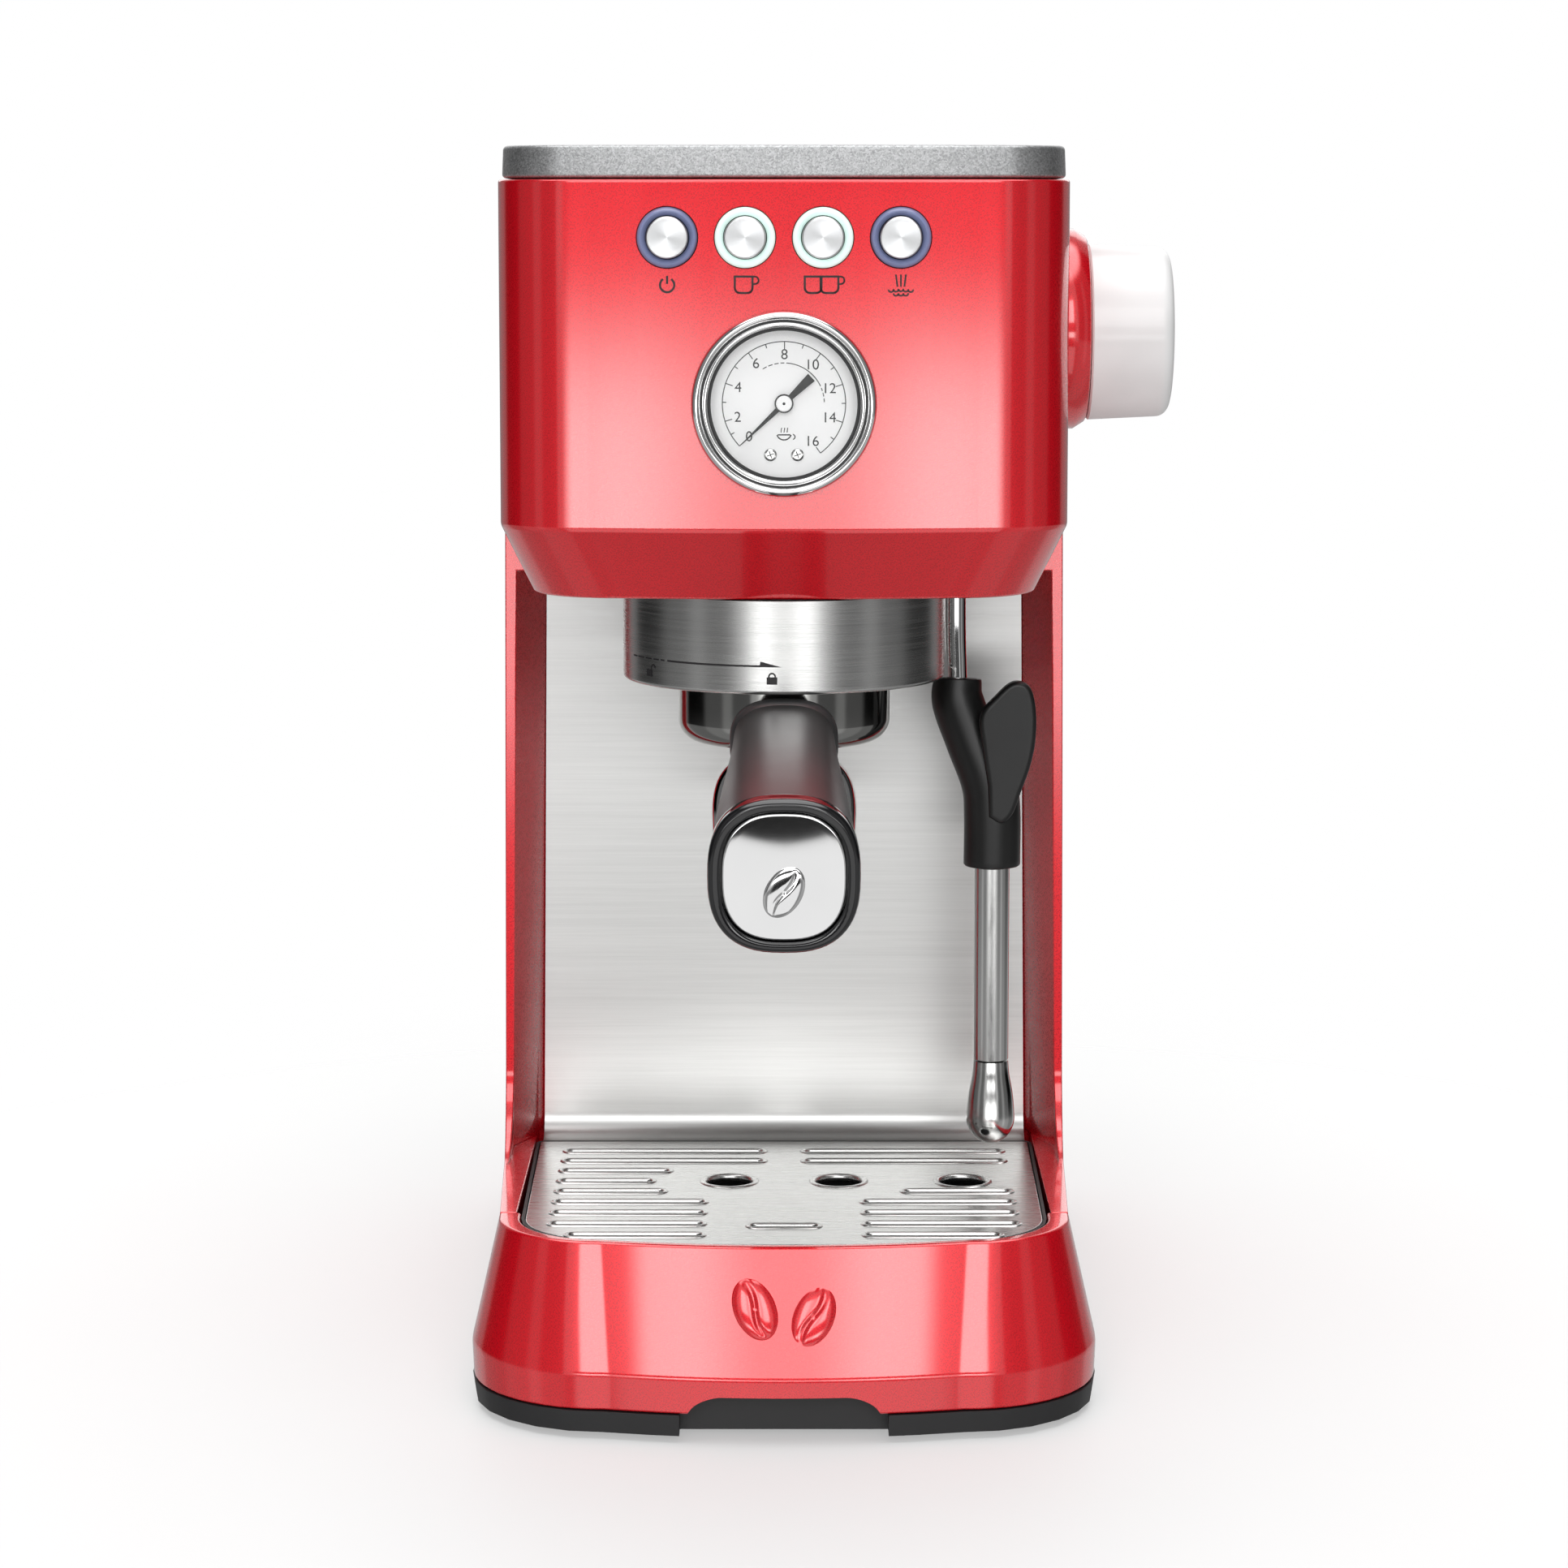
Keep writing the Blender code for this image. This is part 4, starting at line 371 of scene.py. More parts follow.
def tray_lacquer():
    """The same lacquer with the coarser peel that lies round the relief on the base."""
    made, _ = candy("red_lacquer_base")
    centre = world_place((0, -BASE_FRONT, (BASE_TOP + SHELL_FOOT) / 2))
    reach = away_from(made, centre, 0, 2)
    near = 1 - made.smooth(reach, 15 * MM, 48 * MM)
    peel = made.noise((420, 420, 420), 3)
    made.relief(peel * (0.15 + near * 0.85), 0.1 * MM, 0.8)
    return made.material


def speckled_lid():
    made = Finish("speckled_lid", colours().lid, 0.42, 0.85)
    specks = made.grains(0.45 * MM)
    fine = made.grains(0.2 * MM)
    made.shade(specks * 0.6 + fine * 0.4, 0.6, 1.5)
    made.set("Roughness", 0.34 + fine * 0.2)
    made.relief(specks, 0.02 * MM, 0.6)
    return made.material


def brushed(name, scale, roughness=0.3, depth=0.006 * MM, tint=1.0):
    """Sheet steel with brush lines: the scale is small along the lines and large across them."""
    base = tuple(c * tint for c in colours().steel)
    made = Finish(name, base, roughness, 1.0)
    lines = made.noise(scale, 3, 0.65)
    coarse = made.noise(tuple(s * 0.3 for s in scale), 2)
    made.shade(lines * 0.6 + coarse * 0.4, 0.8, 1.14)
    made.set("Roughness", roughness - 0.07 + lines * 0.16)
    made.relief(lines, depth, 0.7)
    return made.material


def splash_steel():
    return brushed("splash_steel", (22, 60, 1500), 0.34, 0.012 * MM, 0.92)


def grille_steel():
    return brushed("grille_steel", (24, 1500, 60), 0.27, 0.008 * MM)


def shelf_steel():
    return brushed("shelf_steel", (1500, 24, 60), 0.3)


def collar_steel():
    return brushed("collar_steel", (30, 30, 1900), 0.25, 0.006 * MM, 0.86)


def wand_steel():
    return brushed("wand_steel", (300, 300, 60), 0.16, 0.002 * MM)


def dark_chrome():
    made = Finish("dark_chrome", colours().dark_chrome, 0.1, 1.0)
    smears = made.noise((60, 60, 60), 3)
    made.set("Roughness", 0.07 + smears * 0.08)
    made.shade(smears, 0.9, 1.08)
    return made.material


def bright_chrome():
    made = Finish("bright_chrome", (0.86, 0.86, 0.86), 0.06, 1.0)
    smears = made.noise((80, 80, 80), 3)
    made.set("Roughness", 0.035 + smears * 0.06)
    made.shade(smears, 0.96, 1.03)
    return made.material


def spun_aluminium(button):
    """Turned metal: fine rings round a button's centre, and soft rays of painted highlight round
    it.
    """
    made = Finish(f"spun_aluminium_{button}", (0.83, 0.84, 0.85), 0.24, 1.0)
    centre = world_place(middle(f"button_{button}"))
    rings = made.maths("SINE", away_from(made, centre, 0, 2) * (math.tau / (0.3 * MM)))
    x, _, z = made.split(made.place)
    around = made.maths("ARCTAN2", x - centre[0], z - centre[2])
    painted_highlight_rays = made.maths("SINE", around * 2 + 0.9) * 0.5 + 0.5
    # Painted highlight: the base colour goes lighter and darker in soft rays round the button's
    # centre.
    made.shade(painted_highlight_rays, 0.62, 1.05)
    made.set("Roughness", 0.3 + rings * 0.03)
    made.relief(rings * 0.5 + 0.5, 0.0015 * MM, 0.6)
    return made.material


def moulded(name, base, roughness, grain=0.25 * MM, depth=0.02 * MM, **constants):
    """Moulded plastic or rubber, with a fine spark-eroded grain."""
    made = Finish(name, base, roughness, **constants)
    grains = made.noise((1 / grain,) * 3, 3, 0.6)
    patches = made.noise((35, 35, 35), 2)
    made.shade(patches, 0.85, 1.2)
    made.set("Roughness", roughness - 0.05 + patches * 0.1)
    made.relief(grains, depth, 0.7)
    return made.material


def satin_handle():
    return moulded(
        "satin_handle", colours().handle, 0.36, 0.35 * MM, 0.012 * MM, specular_ior_level=0.9
    )


def gloss_black():
    return moulded("gloss_black", (0.008, 0.008, 0.009), 0.1, 0.6 * MM, 0.002 * MM, coat_weight=0.6)


def matt_black():
    return moulded("matt_black", (0.02, 0.02, 0.021), 0.5)


def wand_rubber():
    return moulded("wand_rubber", colours().grip, 0.38, 0.3 * MM, 0.02 * MM)


def satin_white():
    return moulded("satin_white", colours().knob, 0.34, 0.3 * MM, 0.006 * MM, coat_weight=0.25)


def dial_white():
    """The printed face, with a faint glow of painted light that brightens it inside the bezel."""
    return moulded(
        "dial_white", (0.94, 0.94, 0.94), 0.5, 0.3 * MM, 0.001 * MM,
        # Painted light: a faint white glow on the dial face and on the pointer hub.
        emission_color=(1, 1, 1, 1), emission_strength=0.16,
    )


def printed_ink():
    return moulded("printed_ink", colours().ink, 0.5, 0.15 * MM, 0.002 * MM)


def engraved_lines():
    return moulded("dial_ink", (0.012, 0.012, 0.012), 0.6, 0.15 * MM, 0.001 * MM)


def light_ring(state):
    """Frosted light guide that glows when it is lit; a ring that is off still gets a faint painted
    glow.
    """
    base, glow = getattr(colours(), f"ring_{state}"), RING_GLOW[state]
    # Emission: a lit ring's own light, and painted light on an idle ring that is off.
    made = Finish(f"{state}_ring", base, 0.25, 0.0, coat_weight=0.5, emission_strength=glow)
    frost = made.noise((700, 700, 700), 2)
    made.shade(frost, 0.9, 1.08)
    made.set("Emission Color", made.blend(frost, (*base, 1), (*(min(1, c * 1.2) for c in base), 1)))
    made.relief(frost, 0.004 * MM, 0.5)
    return made.material


def gauge_glass():
    """A thin clear window: mostly open, with a little gloss of its own."""
    made = Finish("gauge_glass", (0.95, 0.97, 0.97), 0.02, 0.0)
    dust = made.noise((120, 120, 120), 4)
    made.set("Alpha", 0.02 + dust * 0.03)
    made.material.surface_render_method = "BLENDED"
    return made.material


def smoked_tank():
    """Clear smoked plastic that lets some of the inside show."""
    made = Finish("smoked_tank", (0.035, 0.036, 0.04), 0.12, 0.0, coat_weight=0.5)
    waves = made.noise((25, 25, 8), 2)
    made.shade(waves, 0.85, 1.25)
    made.set("Alpha", 0.6 + waves * 0.12)
    made.relief(waves, 0.05 * MM, 0.5)
    return made.material


def cast_metal():
    made = Finish("cast_metal", (0.52, 0.52, 0.51), 0.42, 1.0)
    skin = made.noise((900, 900, 900), 3, 0.6)
    made.shade(skin, 0.8, 1.15)
    made.set("Roughness", 0.34 + skin * 0.18)
    made.relief(skin, 0.05 * MM, 0.6)
    return made.material


def brass():
    made = Finish("brass", (0.66, 0.46, 0.17), 0.3, 1.0)
    tarnish = made.noise((140, 140, 140), 4)
    made.shade(tarnish, 0.7, 1.15)
    made.set("Roughness", 0.22 + tarnish * 0.2)
    return made.material


def silicone():
    return moulded("silicone", (0.55, 0.54, 0.51), 0.55, 0.4 * MM, 0.01 * MM)


def circuit_board():
    """Green solder mask with paler tracks."""
    made = Finish("circuit_board", (0.012, 0.12, 0.05), 0.35, 0.0, coat_weight=0.4)
    tracks = made.grains(2.2 * MM)
    on = made.smooth(tracks, 0.55, 0.6)
    made.set("Base Color", made.blend(on, made.base, (0.03, 0.26, 0.11, 1)))
    made.relief(on, 0.03 * MM, 0.6)
    return made.material


def studio_floor():
    """A pale sheet that fades out before its edge."""
    made = Finish("studio_floor", colours().floor, 0.6, 0.0)
    reach = away_from(made, (0, 0, 0), 0, 1)
    made.set("Alpha", (1 - made.smooth(reach, 0.28, 0.62)) * 0.6)
    mottle = made.noise((3, 3, 3), 2)
    made.shade(mottle, 0.985, 1.01)
    return made.material


# ---------------------------------------------------------------- shaping


def rolled(bm, path, radius, z):
    """A closed ring of round section along a flat loop."""
    rings = []
    for i, here in enumerate(path):
        along = Vector(path[(i + 1) % len(path)]) - Vector(path[i - 1])
        out = Vector((along.y, -along.x)).normalized()
        ring = []
        for k in range(ROLL_FACETS):
            angle = math.tau * k / ROLL_FACETS
            spot = Vector(here) + out * (radius * math.cos(angle))
            ring.append(bm.verts.new((spot.x, spot.y, z + radius * math.sin(angle))))
        rings.append(ring)
    for i, ring in enumerate(rings):
        after = rings[(i + 1) % len(rings)]
        for k in range(ROLL_FACETS):
            n = (k + 1) % ROLL_FACETS
            bm.faces.new((ring[k], after[k], after[n], ring[n]))


def loop_of(bm, points, closed=True):
    """Edges through points, in order."""
    verts = [bm.verts.new(point) for point in points]
    pairs = list(zip(verts, verts[1:]))
    if closed:
        pairs.append((verts[-1], verts[0]))
    return verts, [bm.edges.new(pair) for pair in pairs]


def lofted(bm, loops):
    """Skins a row of loops with the same number of points, and fills its ends."""
    rows = [loop_of(bm, points) for points in loops]
    for (_, before), (_, after) in zip(rows, rows[1:]):
        bmesh.ops.bridge_loops(bm, edges=before + after)
    for verts, _ in (rows[0], rows[-1]):
        bm.faces.new(verts)


TURNS = {
    "Z": Matrix.Identity(4),
    "Y": Matrix.Rotation(-math.pi / 2, 4, "X"),
    "X": Matrix.Rotation(math.pi / 2, 4, "Y"),
}


def turned(bm, profile, centre, axis="Z", steps=None):
    """Spins (radius, along) points round an axis. A profile off the axis closes on itself."""
    closed = min(radius for radius, _ in profile) > 0
    before = set(bm.verts)
    verts, edges = loop_of(bm, [(radius, 0, along) for radius, along in profile], closed)
    bmesh.ops.spin(
        bm,
        geom=verts + edges,
        cent=(0, 0, 0),
        axis=(0, 0, 1),
        angle=math.tau,
        steps=steps or controls().turns,
        use_merge=True,
        use_duplicate=False,
    )
    made = [vert for vert in bm.verts if vert not in before]
    bmesh.ops.transform(bm, matrix=Matrix.Translation(centre) @ TURNS[axis], verts=made)


def rounded(profile, radius):
    """An open (radius, along) profile with its inner corners turned into arcs."""
    steps = 5
    points = [Vector(p) for p in profile]
    smooth = [points[0]]
    for before, corner, after in zip(points, points[1:], points[2:]):
        back, on = before - corner, after - corner
        reach = min(radius, back.length * 0.45, on.length * 0.45)
        start, end = corner + back.normalized() * reach, corner + on.normalized() * reach
        for i in range(steps + 1):
            t = i / steps
            smooth.append(start * (1 - t) ** 2 + corner * 2 * t * (1 - t) + end * t**2)
    return [*smooth, points[-1]]


def pushed(bm, faces, vector):
    """Extrudes faces into a solid."""
    made = bmesh.ops.extrude_face_region(bm, geom=faces, use_keep_orig=True)["geom"]
    verts = [v for v in made if isinstance(v, bmesh.types.BMVert)]
    bmesh.ops.translate(bm, vec=vector, verts=verts)


def merged(bm, other):
    """Adds one shape to another."""
    spare = bpy.data.meshes.new("spare")
    other.to_mesh(spare)
    other.free()
    bm.from_mesh(spare)
    bpy.data.meshes.remove(spare)


def soften(bm, width, segments, degrees=30, edges=None):
    """Rounds the edges that turn by more than an angle."""
    if edges is None:
        limit = math.radians(degrees)
        edges = [e for e in bm.edges if e.is_manifold and e.calc_face_angle() > limit]
    if edges:
        bmesh.ops.bevel(
            bm,
            geom=edges,
            offset=width,
            offset_type="OFFSET",
            affect="EDGES",
            segments=segments,
            profile=0.5,
            material=-1,
            clamp_overlap=True,
        )


def smooth_route(points, count):
    """A Catmull-Rom curve through the points."""
    points = [Vector(p) for p in points]
    ends = [points[0] * 2 - points[1], *points, points[-1] * 2 - points[-2]]
    route = []
    for a, b, c, d in zip(ends, ends[1:], ends[2:], ends[3:]):
        for i in range(count):
            t = i / count
            bend = (2 * a - 5 * b + 4 * c - d) * t**2 + (3 * b - a - 3 * c + d) * t**3
            route.append(0.5 * (2 * b + (c - a) * t + bend))
    return [*route, points[-1]]


def section(centre, along, half_width, half_height, steps, squareness=2.0):
    """A superellipse across a direction."""
    along = along.normalized()
    reference = Vector((1, 0, 0)) if abs(along.x) < 0.9 else Vector((0, 1, 0))
    across = (reference - along * reference.dot(along)).normalized()
    upward = across.cross(along)
    points = []
    for k in range(steps):
        c, s = math.cos(math.tau * k / steps), math.sin(math.tau * k / steps)
        a = math.copysign(abs(c) ** (2 / squareness), c) * half_width
        b = math.copysign(abs(s) ** (2 / squareness), s) * half_height
        points.append(centre + across * a + upward * b)
    return points


def tube(bm, stations, steps, squareness=2.0):
    """Sweeps (centre, half width, half height) stations into a closed bar."""
    loops = []
    centres = [Vector(station[0]) for station in stations]
    for i, (_, half_width, half_height) in enumerate(stations):
        along = centres[min(i + 1, len(centres) - 1)] - centres[max(i - 1, 0)]
        loops.append(section(centres[i], along, half_width, half_height, steps, squareness))
    lofted(bm, loops)


def arc(centre, radius, start, end, steps):
    angles = [math.radians(start + (end - start) * i / steps) for i in range(steps + 1)]
    return [(centre[0] + radius * math.cos(a), centre[1] + radius * math.sin(a)) for a in angles]


def stadium(left, right, y, half):
    """A round-ended slot in plan, from the centres of its ends."""
    return arc((right, y), half, -90, 90, 10) + arc((left, y), half, 90, 270, 10)


def front_run(front_half, rear_half, front_y, corner, bow, end_y):
    """The plan of a bowed front with two rounded corners, left to right, between its sides."""
    bows, corners = 24, 14
    flat = front_half - corner
    centre_y = front_y + bow + corner
    right = []
    for i in range(bows + 1):
        x = flat * i / bows
        right.append((x, front_y + bow * (x / flat) ** 2))
    for i in range(1, corners + 1):
        a = math.pi / 2 * (i / corners - 1)
        right.append((flat + corner * math.cos(a), centre_y + corner * math.sin(a)))
    share = (end_y - centre_y) / -centre_y
    right.append((front_half + (rear_half - front_half) * share, end_y))
    return [(-x, y) for x, y in reversed(right[1:])] + right


def head_run(share, inset=0.0):
    """The head's front in plan, from its foot (share 0) to the top of its chamfer (share 1)."""
    size = housing()
    side = (1 - share) * size.chamfer_side + inset
    front = (1 - share) * size.chamfer_front + inset
    return front_run(
        BODY_HALF - size.front_taper - side,
        BODY_HALF - side,
        -(HEAD_FRONT - front),
        size.head_corner - inset,
        size.head_bow,
        HEAD_REAR,
    )


def base_run(share, inset=0.0):
    """The base's front in plan, from its crease (share 0) up to its top edge (share 1)."""
    size = housing()
    top_front = BODY_HALF - size.front_taper + size.column_flare / 2
    top_rear = BODY_HALF + size.column_flare
    return front_run(
        BASE_HALF + share * (top_front - BASE_HALF) - inset,
        BASE_HALF + share * (top_rear - BASE_HALF) - inset,
        -(BASE_FRONT - share * size.base_setback) + inset,
        size.base_corner + share * (size.base_top_corner - size.base_corner) - inset,
        size.base_bow,
        TRAY_SEAM,
    )


def head_face_y(x):
    size = housing()
    flat = BODY_HALF - size.front_taper - size.head_corner
    return -HEAD_FRONT + size.head_bow * (x / flat) ** 2


def level(points, z):
    return [(x, y, z) for x, y in points]


def shell_of(bm, levels):
    """Bridges open runs into a folded wall, and closes it back to its first run."""
    rows = [loop_of(bm, points, closed=False) for points in levels]
    for (_, before), (_, after) in zip(rows, rows[1:] + rows[:1]):
        bmesh.ops.bridge_loops(bm, edges=before + after)
    bmesh.ops.holes_fill(bm, edges=bm.edges, sides=0)


def cad_copy(node):
    """A CAD node's own shape, welded and with its flat faces whole, ready to be refined."""
    bm = bmesh.new()
    bm.from_mesh(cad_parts[node].data)
    bmesh.ops.translate(bm, vec=-ORIGIN, verts=bm.verts)
    bmesh.ops.remove_doubles(bm, verts=bm.verts, dist=1e-6)
    limit = math.radians(1)
    bmesh.ops.dissolve_limit(
        bm, angle_limit=limit, verts=bm.verts, edges=bm.edges, use_dissolve_boundaries=False
    )
    return bm


def as_object(bm, name):
    mesh = bpy.data.meshes.new(name)
    bm.to_mesh(mesh)
    bm.free()
    made = bpy.data.objects.new(name, mesh)
    bpy.context.scene.collection.objects.link(made)
    return made


def settle(piece):
    """Applies a piece's modifiers to its mesh."""
    bpy.context.view_layer.update()
    shown = piece.evaluated_get(bpy.context.evaluated_depsgraph_get())
    done = bpy.data.meshes.new_from_object(shown)
    piece.modifiers.clear()
    spent = piece.data
    piece.data = done
    bpy.data.meshes.remove(spent)


def carve(bm, name, tools):
    """Takes tool shapes out of a shape."""
    body = as_object(bm, name)
    used = [as_object(tool, f"{name}_tool") for tool in tools]
    for tool in used:
        modifier = body.modifiers.new("carve", "BOOLEAN")
        modifier.operation = "DIFFERENCE"
        modifier.solver = "EXACT"
        modifier.object = tool
    settle(body)
    for tool in used:
        spent = tool.data
        bpy.data.objects.remove(tool)
        bpy.data.meshes.remove(spent)
    result = bmesh.new()
    result.from_mesh(body.data)
    spent = body.data
    bpy.data.objects.remove(body)
    bpy.data.meshes.remove(spent)
    return result


def publish(bm, name, body, paint, stands_for=(), sharp=32, even=True):
    """Puts a finished shape in its place in the frame, with its finish and its body."""
    bmesh.ops.remove_doubles(bm, verts=bm.verts, dist=1e-6)
    bmesh.ops.recalc_face_normals(bm, faces=bm.faces)
    bmesh.ops.translate(bm, vec=ORIGIN, verts=bm.verts)
    piece = as_object(bm, name)
    piece.data.shade_smooth()
    piece.data.set_sharp_from_angle(angle=math.radians(sharp))
    if even:
        flats = piece.modifiers.new("flats", "WEIGHTED_NORMAL")
        flats.keep_sharp = True
        flats.weight = 60
        settle(piece)
    piece.data.materials.clear()
    piece.data.materials.append(paint)
    piece.name = piece.data.name = name
    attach(piece, body)
    if stands_for:
        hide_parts(*stands_for)


def refined(node, body, paint, width, segments, degrees=30):
    """A CAD node's own shape with its edges rounded."""
    bm = cad_copy(node)
    soften(bm, width, segments, degrees)
    publish(bm, f"{node}_skin", body, paint, (node,))


def paint_node(node, paint):
    """Gives a CAD node that stays as it is a finish of its own."""
    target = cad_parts[node]
    if not target.data.materials:
        target.data.materials.append(paint)
    for place in target.material_slots:
        place.material = paint


class Print:
    """Flat marks drawn in a plane, then laid on a surface."""

    def __init__(self):
        self.bm = bmesh.new()

    def bar(self, start, end, width, end_width=None):
        start, end = Vector(start), Vector(end)
        aside = (end - start).orthogonal().normalized() / 2
        first, last = aside * width, aside * (width if end_width is None else end_width)
        corners = (start - first, end - last, end + last, start + first)
        self.bm.faces.new([self.bm.verts.new((*corner, 0)) for corner in corners])

    def band(self, centre, radius, width, start, end, steps):
        inner = arc(centre, radius - width / 2, start, end, steps)
        outer = arc(centre, radius + width / 2, start, end, steps)
        _, near = loop_of(self.bm, level(inner, 0), closed=False)
        _, far = loop_of(self.bm, level(outer, 0), closed=False)
        bmesh.ops.bridge_loops(self.bm, edges=near + far)

    def line(self, points, width):
        for start, end in zip(points, points[1:]):
            self.bar(start, end, width)
        for point in points[1:-1]:
            self.disc(point, width / 2, 12)

    def disc(self, centre, radius, steps=24):
        place = Matrix.Translation((*centre, 0))
        bmesh.ops.create_circle(self.bm, cap_ends=True, segments=steps, radius=radius, matrix=place)

    def figure(self, text, centre, height):
        curve = bpy.data.curves.new("figure", "FONT")
        curve.body = text
        curve.size = height
        curve.align_x = "CENTER"
        curve.align_y = "CENTER"
        written = bpy.data.objects.new("figure", curve)
        bpy.context.scene.collection.objects.link(written)
        bpy.context.view_layer.update()
        shown = written.evaluated_get(bpy.context.evaluated_depsgraph_get())
        mesh = bpy.data.meshes.new_from_object(shown)
        mesh.transform(Matrix.Translation((*centre, 0)))
        self.bm.from_mesh(mesh)
        bpy.data.objects.remove(written)
        bpy.data.curves.remove(curve)
        bpy.data.meshes.remove(mesh)

    def laid(self, place):
        for vert in self.bm.verts:
            vert.co = place(vert.co.x, vert.co.y)
        return self.bm


def publish_print(drawn, place, name, body, paint):
    """Lays printed marks on a surface, facing out of it."""
    bm = drawn.laid(place)
    bmesh.ops.translate(bm, vec=ORIGIN, verts=bm.verts)
    piece = as_object(bm, name)
    piece.data.materials.clear()
    piece.data.materials.append(paint)
    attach(piece, body)


# ---------------------------------------------------------------- pieces


PAINTS = {}


def paint(maker, *details):
    """A finish, made once."""
    key = (maker.__name__, *details)
    if key not in PAINTS:
        PAINTS[key] = maker(*details)
    return PAINTS[key]


def bean(bm, centre, turn, size, width, rise):
    """A coffee bean lying in the x-z plane, domed towards -Y, with its wavy furrow."""
    made = bmesh.ops.create_uvsphere(bm, u_segments=48, v_segments=24, radius=1)["verts"]
    for vert in made:
        x, along, out = vert.co.x, vert.co.y, vert.co.z
        furrow = 0.16 * math.sin(math.pi * along)
        depth = 0.42 * math.exp(-(((x - furrow) / 0.13) ** 2)) * max(0.0, out)
        vert.co = Vector((x * width / 2, -(out - depth) * rise, along * size / 2))
    place = Matrix.Translation(centre) @ turn
    bmesh.ops.transform(bm, matrix=place, verts=made)


def lean(degrees_back, degrees_round):
    tip = Matrix.Rotation(math.radians(-degrees_back), 4, "X")
    return tip @ Matrix.Rotation(math.radians(degrees_round), 4, "Y")


def plug(centre, radius, start, end, axis, steps=64):
    """A round tool for a hole."""
    bm = bmesh.new()
    turned(bm, [(0, start), (radius, start), (radius, end), (0, end)], centre, axis, steps)
    bmesh.ops.recalc_face_normals(bm, faces=bm.faces)
    return bm


class EspressoPiece:
    """What the operators share."""

    bl_options = {"REGISTER", "UNDO"}

    def execute(self, context):
        self.build()
        return {"FINISHED"}


class ESPRESSO_OT_head(EspressoPiece, bpy.types.Operator):
    """Painted head with its bowed front, sloped foot and holes, and the plate that closes it"""

    bl_idname = "espresso.head"
    bl_label = "Head"

    def build(self):
        size = housing()
        crease = HEAD_FOOT + size.chamfer_height
        wall = size.wall
        bm = bmesh.new()
        levels = [
            level(head_run(0), HEAD_FOOT),
            level(head_run(1), crease),
            level(head_run(1), HEAD_TOP),
            level(head_run(1, wall), HEAD_TOP),
            level(head_run(1, wall), crease),
            level(head_run(0, wall), HEAD_FOOT),
        ]
        shell_of(bm, levels)
        bmesh.ops.recalc_face_normals(bm, faces=bm.faces)
        soften(bm, size.edge, 4, 20)
        tools = []
        for name in BUTTONS:
            place = middle(f"ring_{name}")
            hole = controls().ring_radius + PANEL_GAP
            tools.append(plug((place.x, 0, place.z), hole, HOLE_FROM, HOLE_TO, "Y"))
        window = GAUGE_RADIUS - 2 * MM
        tools.append(plug(GAUGE_AXIS, window, HOLE_FROM, HOLE_TO, "Y"))
        tools.append(plug((0, KNOB.y, KNOB.z), 5.5 * MM, 0.06, 0.12, "X", 32))
        bm = carve(bm, "head", tools)
        publish(bm, "head_housing", "housing", paint(lacquer), ("head_shell",), 28)
        refined("head_floor", "housing", paint(matt_black), 0.3 * MM, 2)


class ESPRESSO_OT_body(EspressoPiece, bpy.types.Operator):
    """Painted body with its two columns, the black base under it and the feet"""

    bl_idname = "espresso.body"
    bl_label = "Body"

    def build(self):
        refined("body_shell", "housing", paint(lacquer), housing().edge, 4, 26)
        refined("base_plate", "housing", paint(matt_black), 0.5 * MM, 2, 40)
        for corner in ("front_left", "front_right", "rear_left", "rear_right"):
            place = middle(f"foot_{corner}")
            radius = high(f"foot_{corner}").x - place.x
            top = high(f"foot_{corner}").z
            bm = bmesh.new()
            profile = rounded([(0, 0), (radius, 0), (radius, top), (0, top)], 0.5 * MM)
            turned(bm, profile, (place.x, place.y, 0), "Z", 48)
            publish(
                bm, f"rubber_foot_{corner}", "housing", paint(wand_rubber),
                (f"foot_{corner}",),
            )


class ESPRESSO_OT_splash_panel(EspressoPiece, bpy.types.Operator):
    """Brushed sheet behind the cups, turned forward at its foot"""

    bl_idname = "espresso.splash_panel"
    bl_label = "Splash panel"

    def build(self):
        lowest, highest = low("back_panel"), high("back_panel")
        bend = PANEL_GAP - lowest.y
        centre = (PANEL_GAP - bend, lowest.z + PANEL_THICKNESS + bend)
        bend_front = arc(centre, bend, -90, 0, 14)
        bend_rear = arc(centre, bend + PANEL_THICKNESS, 0, -90, 14)
        profile = bend_front + [(PANEL_GAP, highest.z)]
        profile += [(PANEL_GAP + PANEL_THICKNESS, highest.z)] + bend_rear
        span = highest.z - lowest.z
        tray_half = high("drip_tray").x

        def half(z):
            """Half the sheet's width: it narrows upwards, and fits the tray at its foot."""
            return min(highest.x - 2 * MM * (z - lowest.z) / span, tray_half)

        bm = bmesh.new()
        lofted(bm, [[(side * half(z), y, z) for y, z in profile] for side in (-1, 1)])
        publish(
            bm, "splash_sheet", "housing", paint(splash_steel), ("back_panel",)
        )


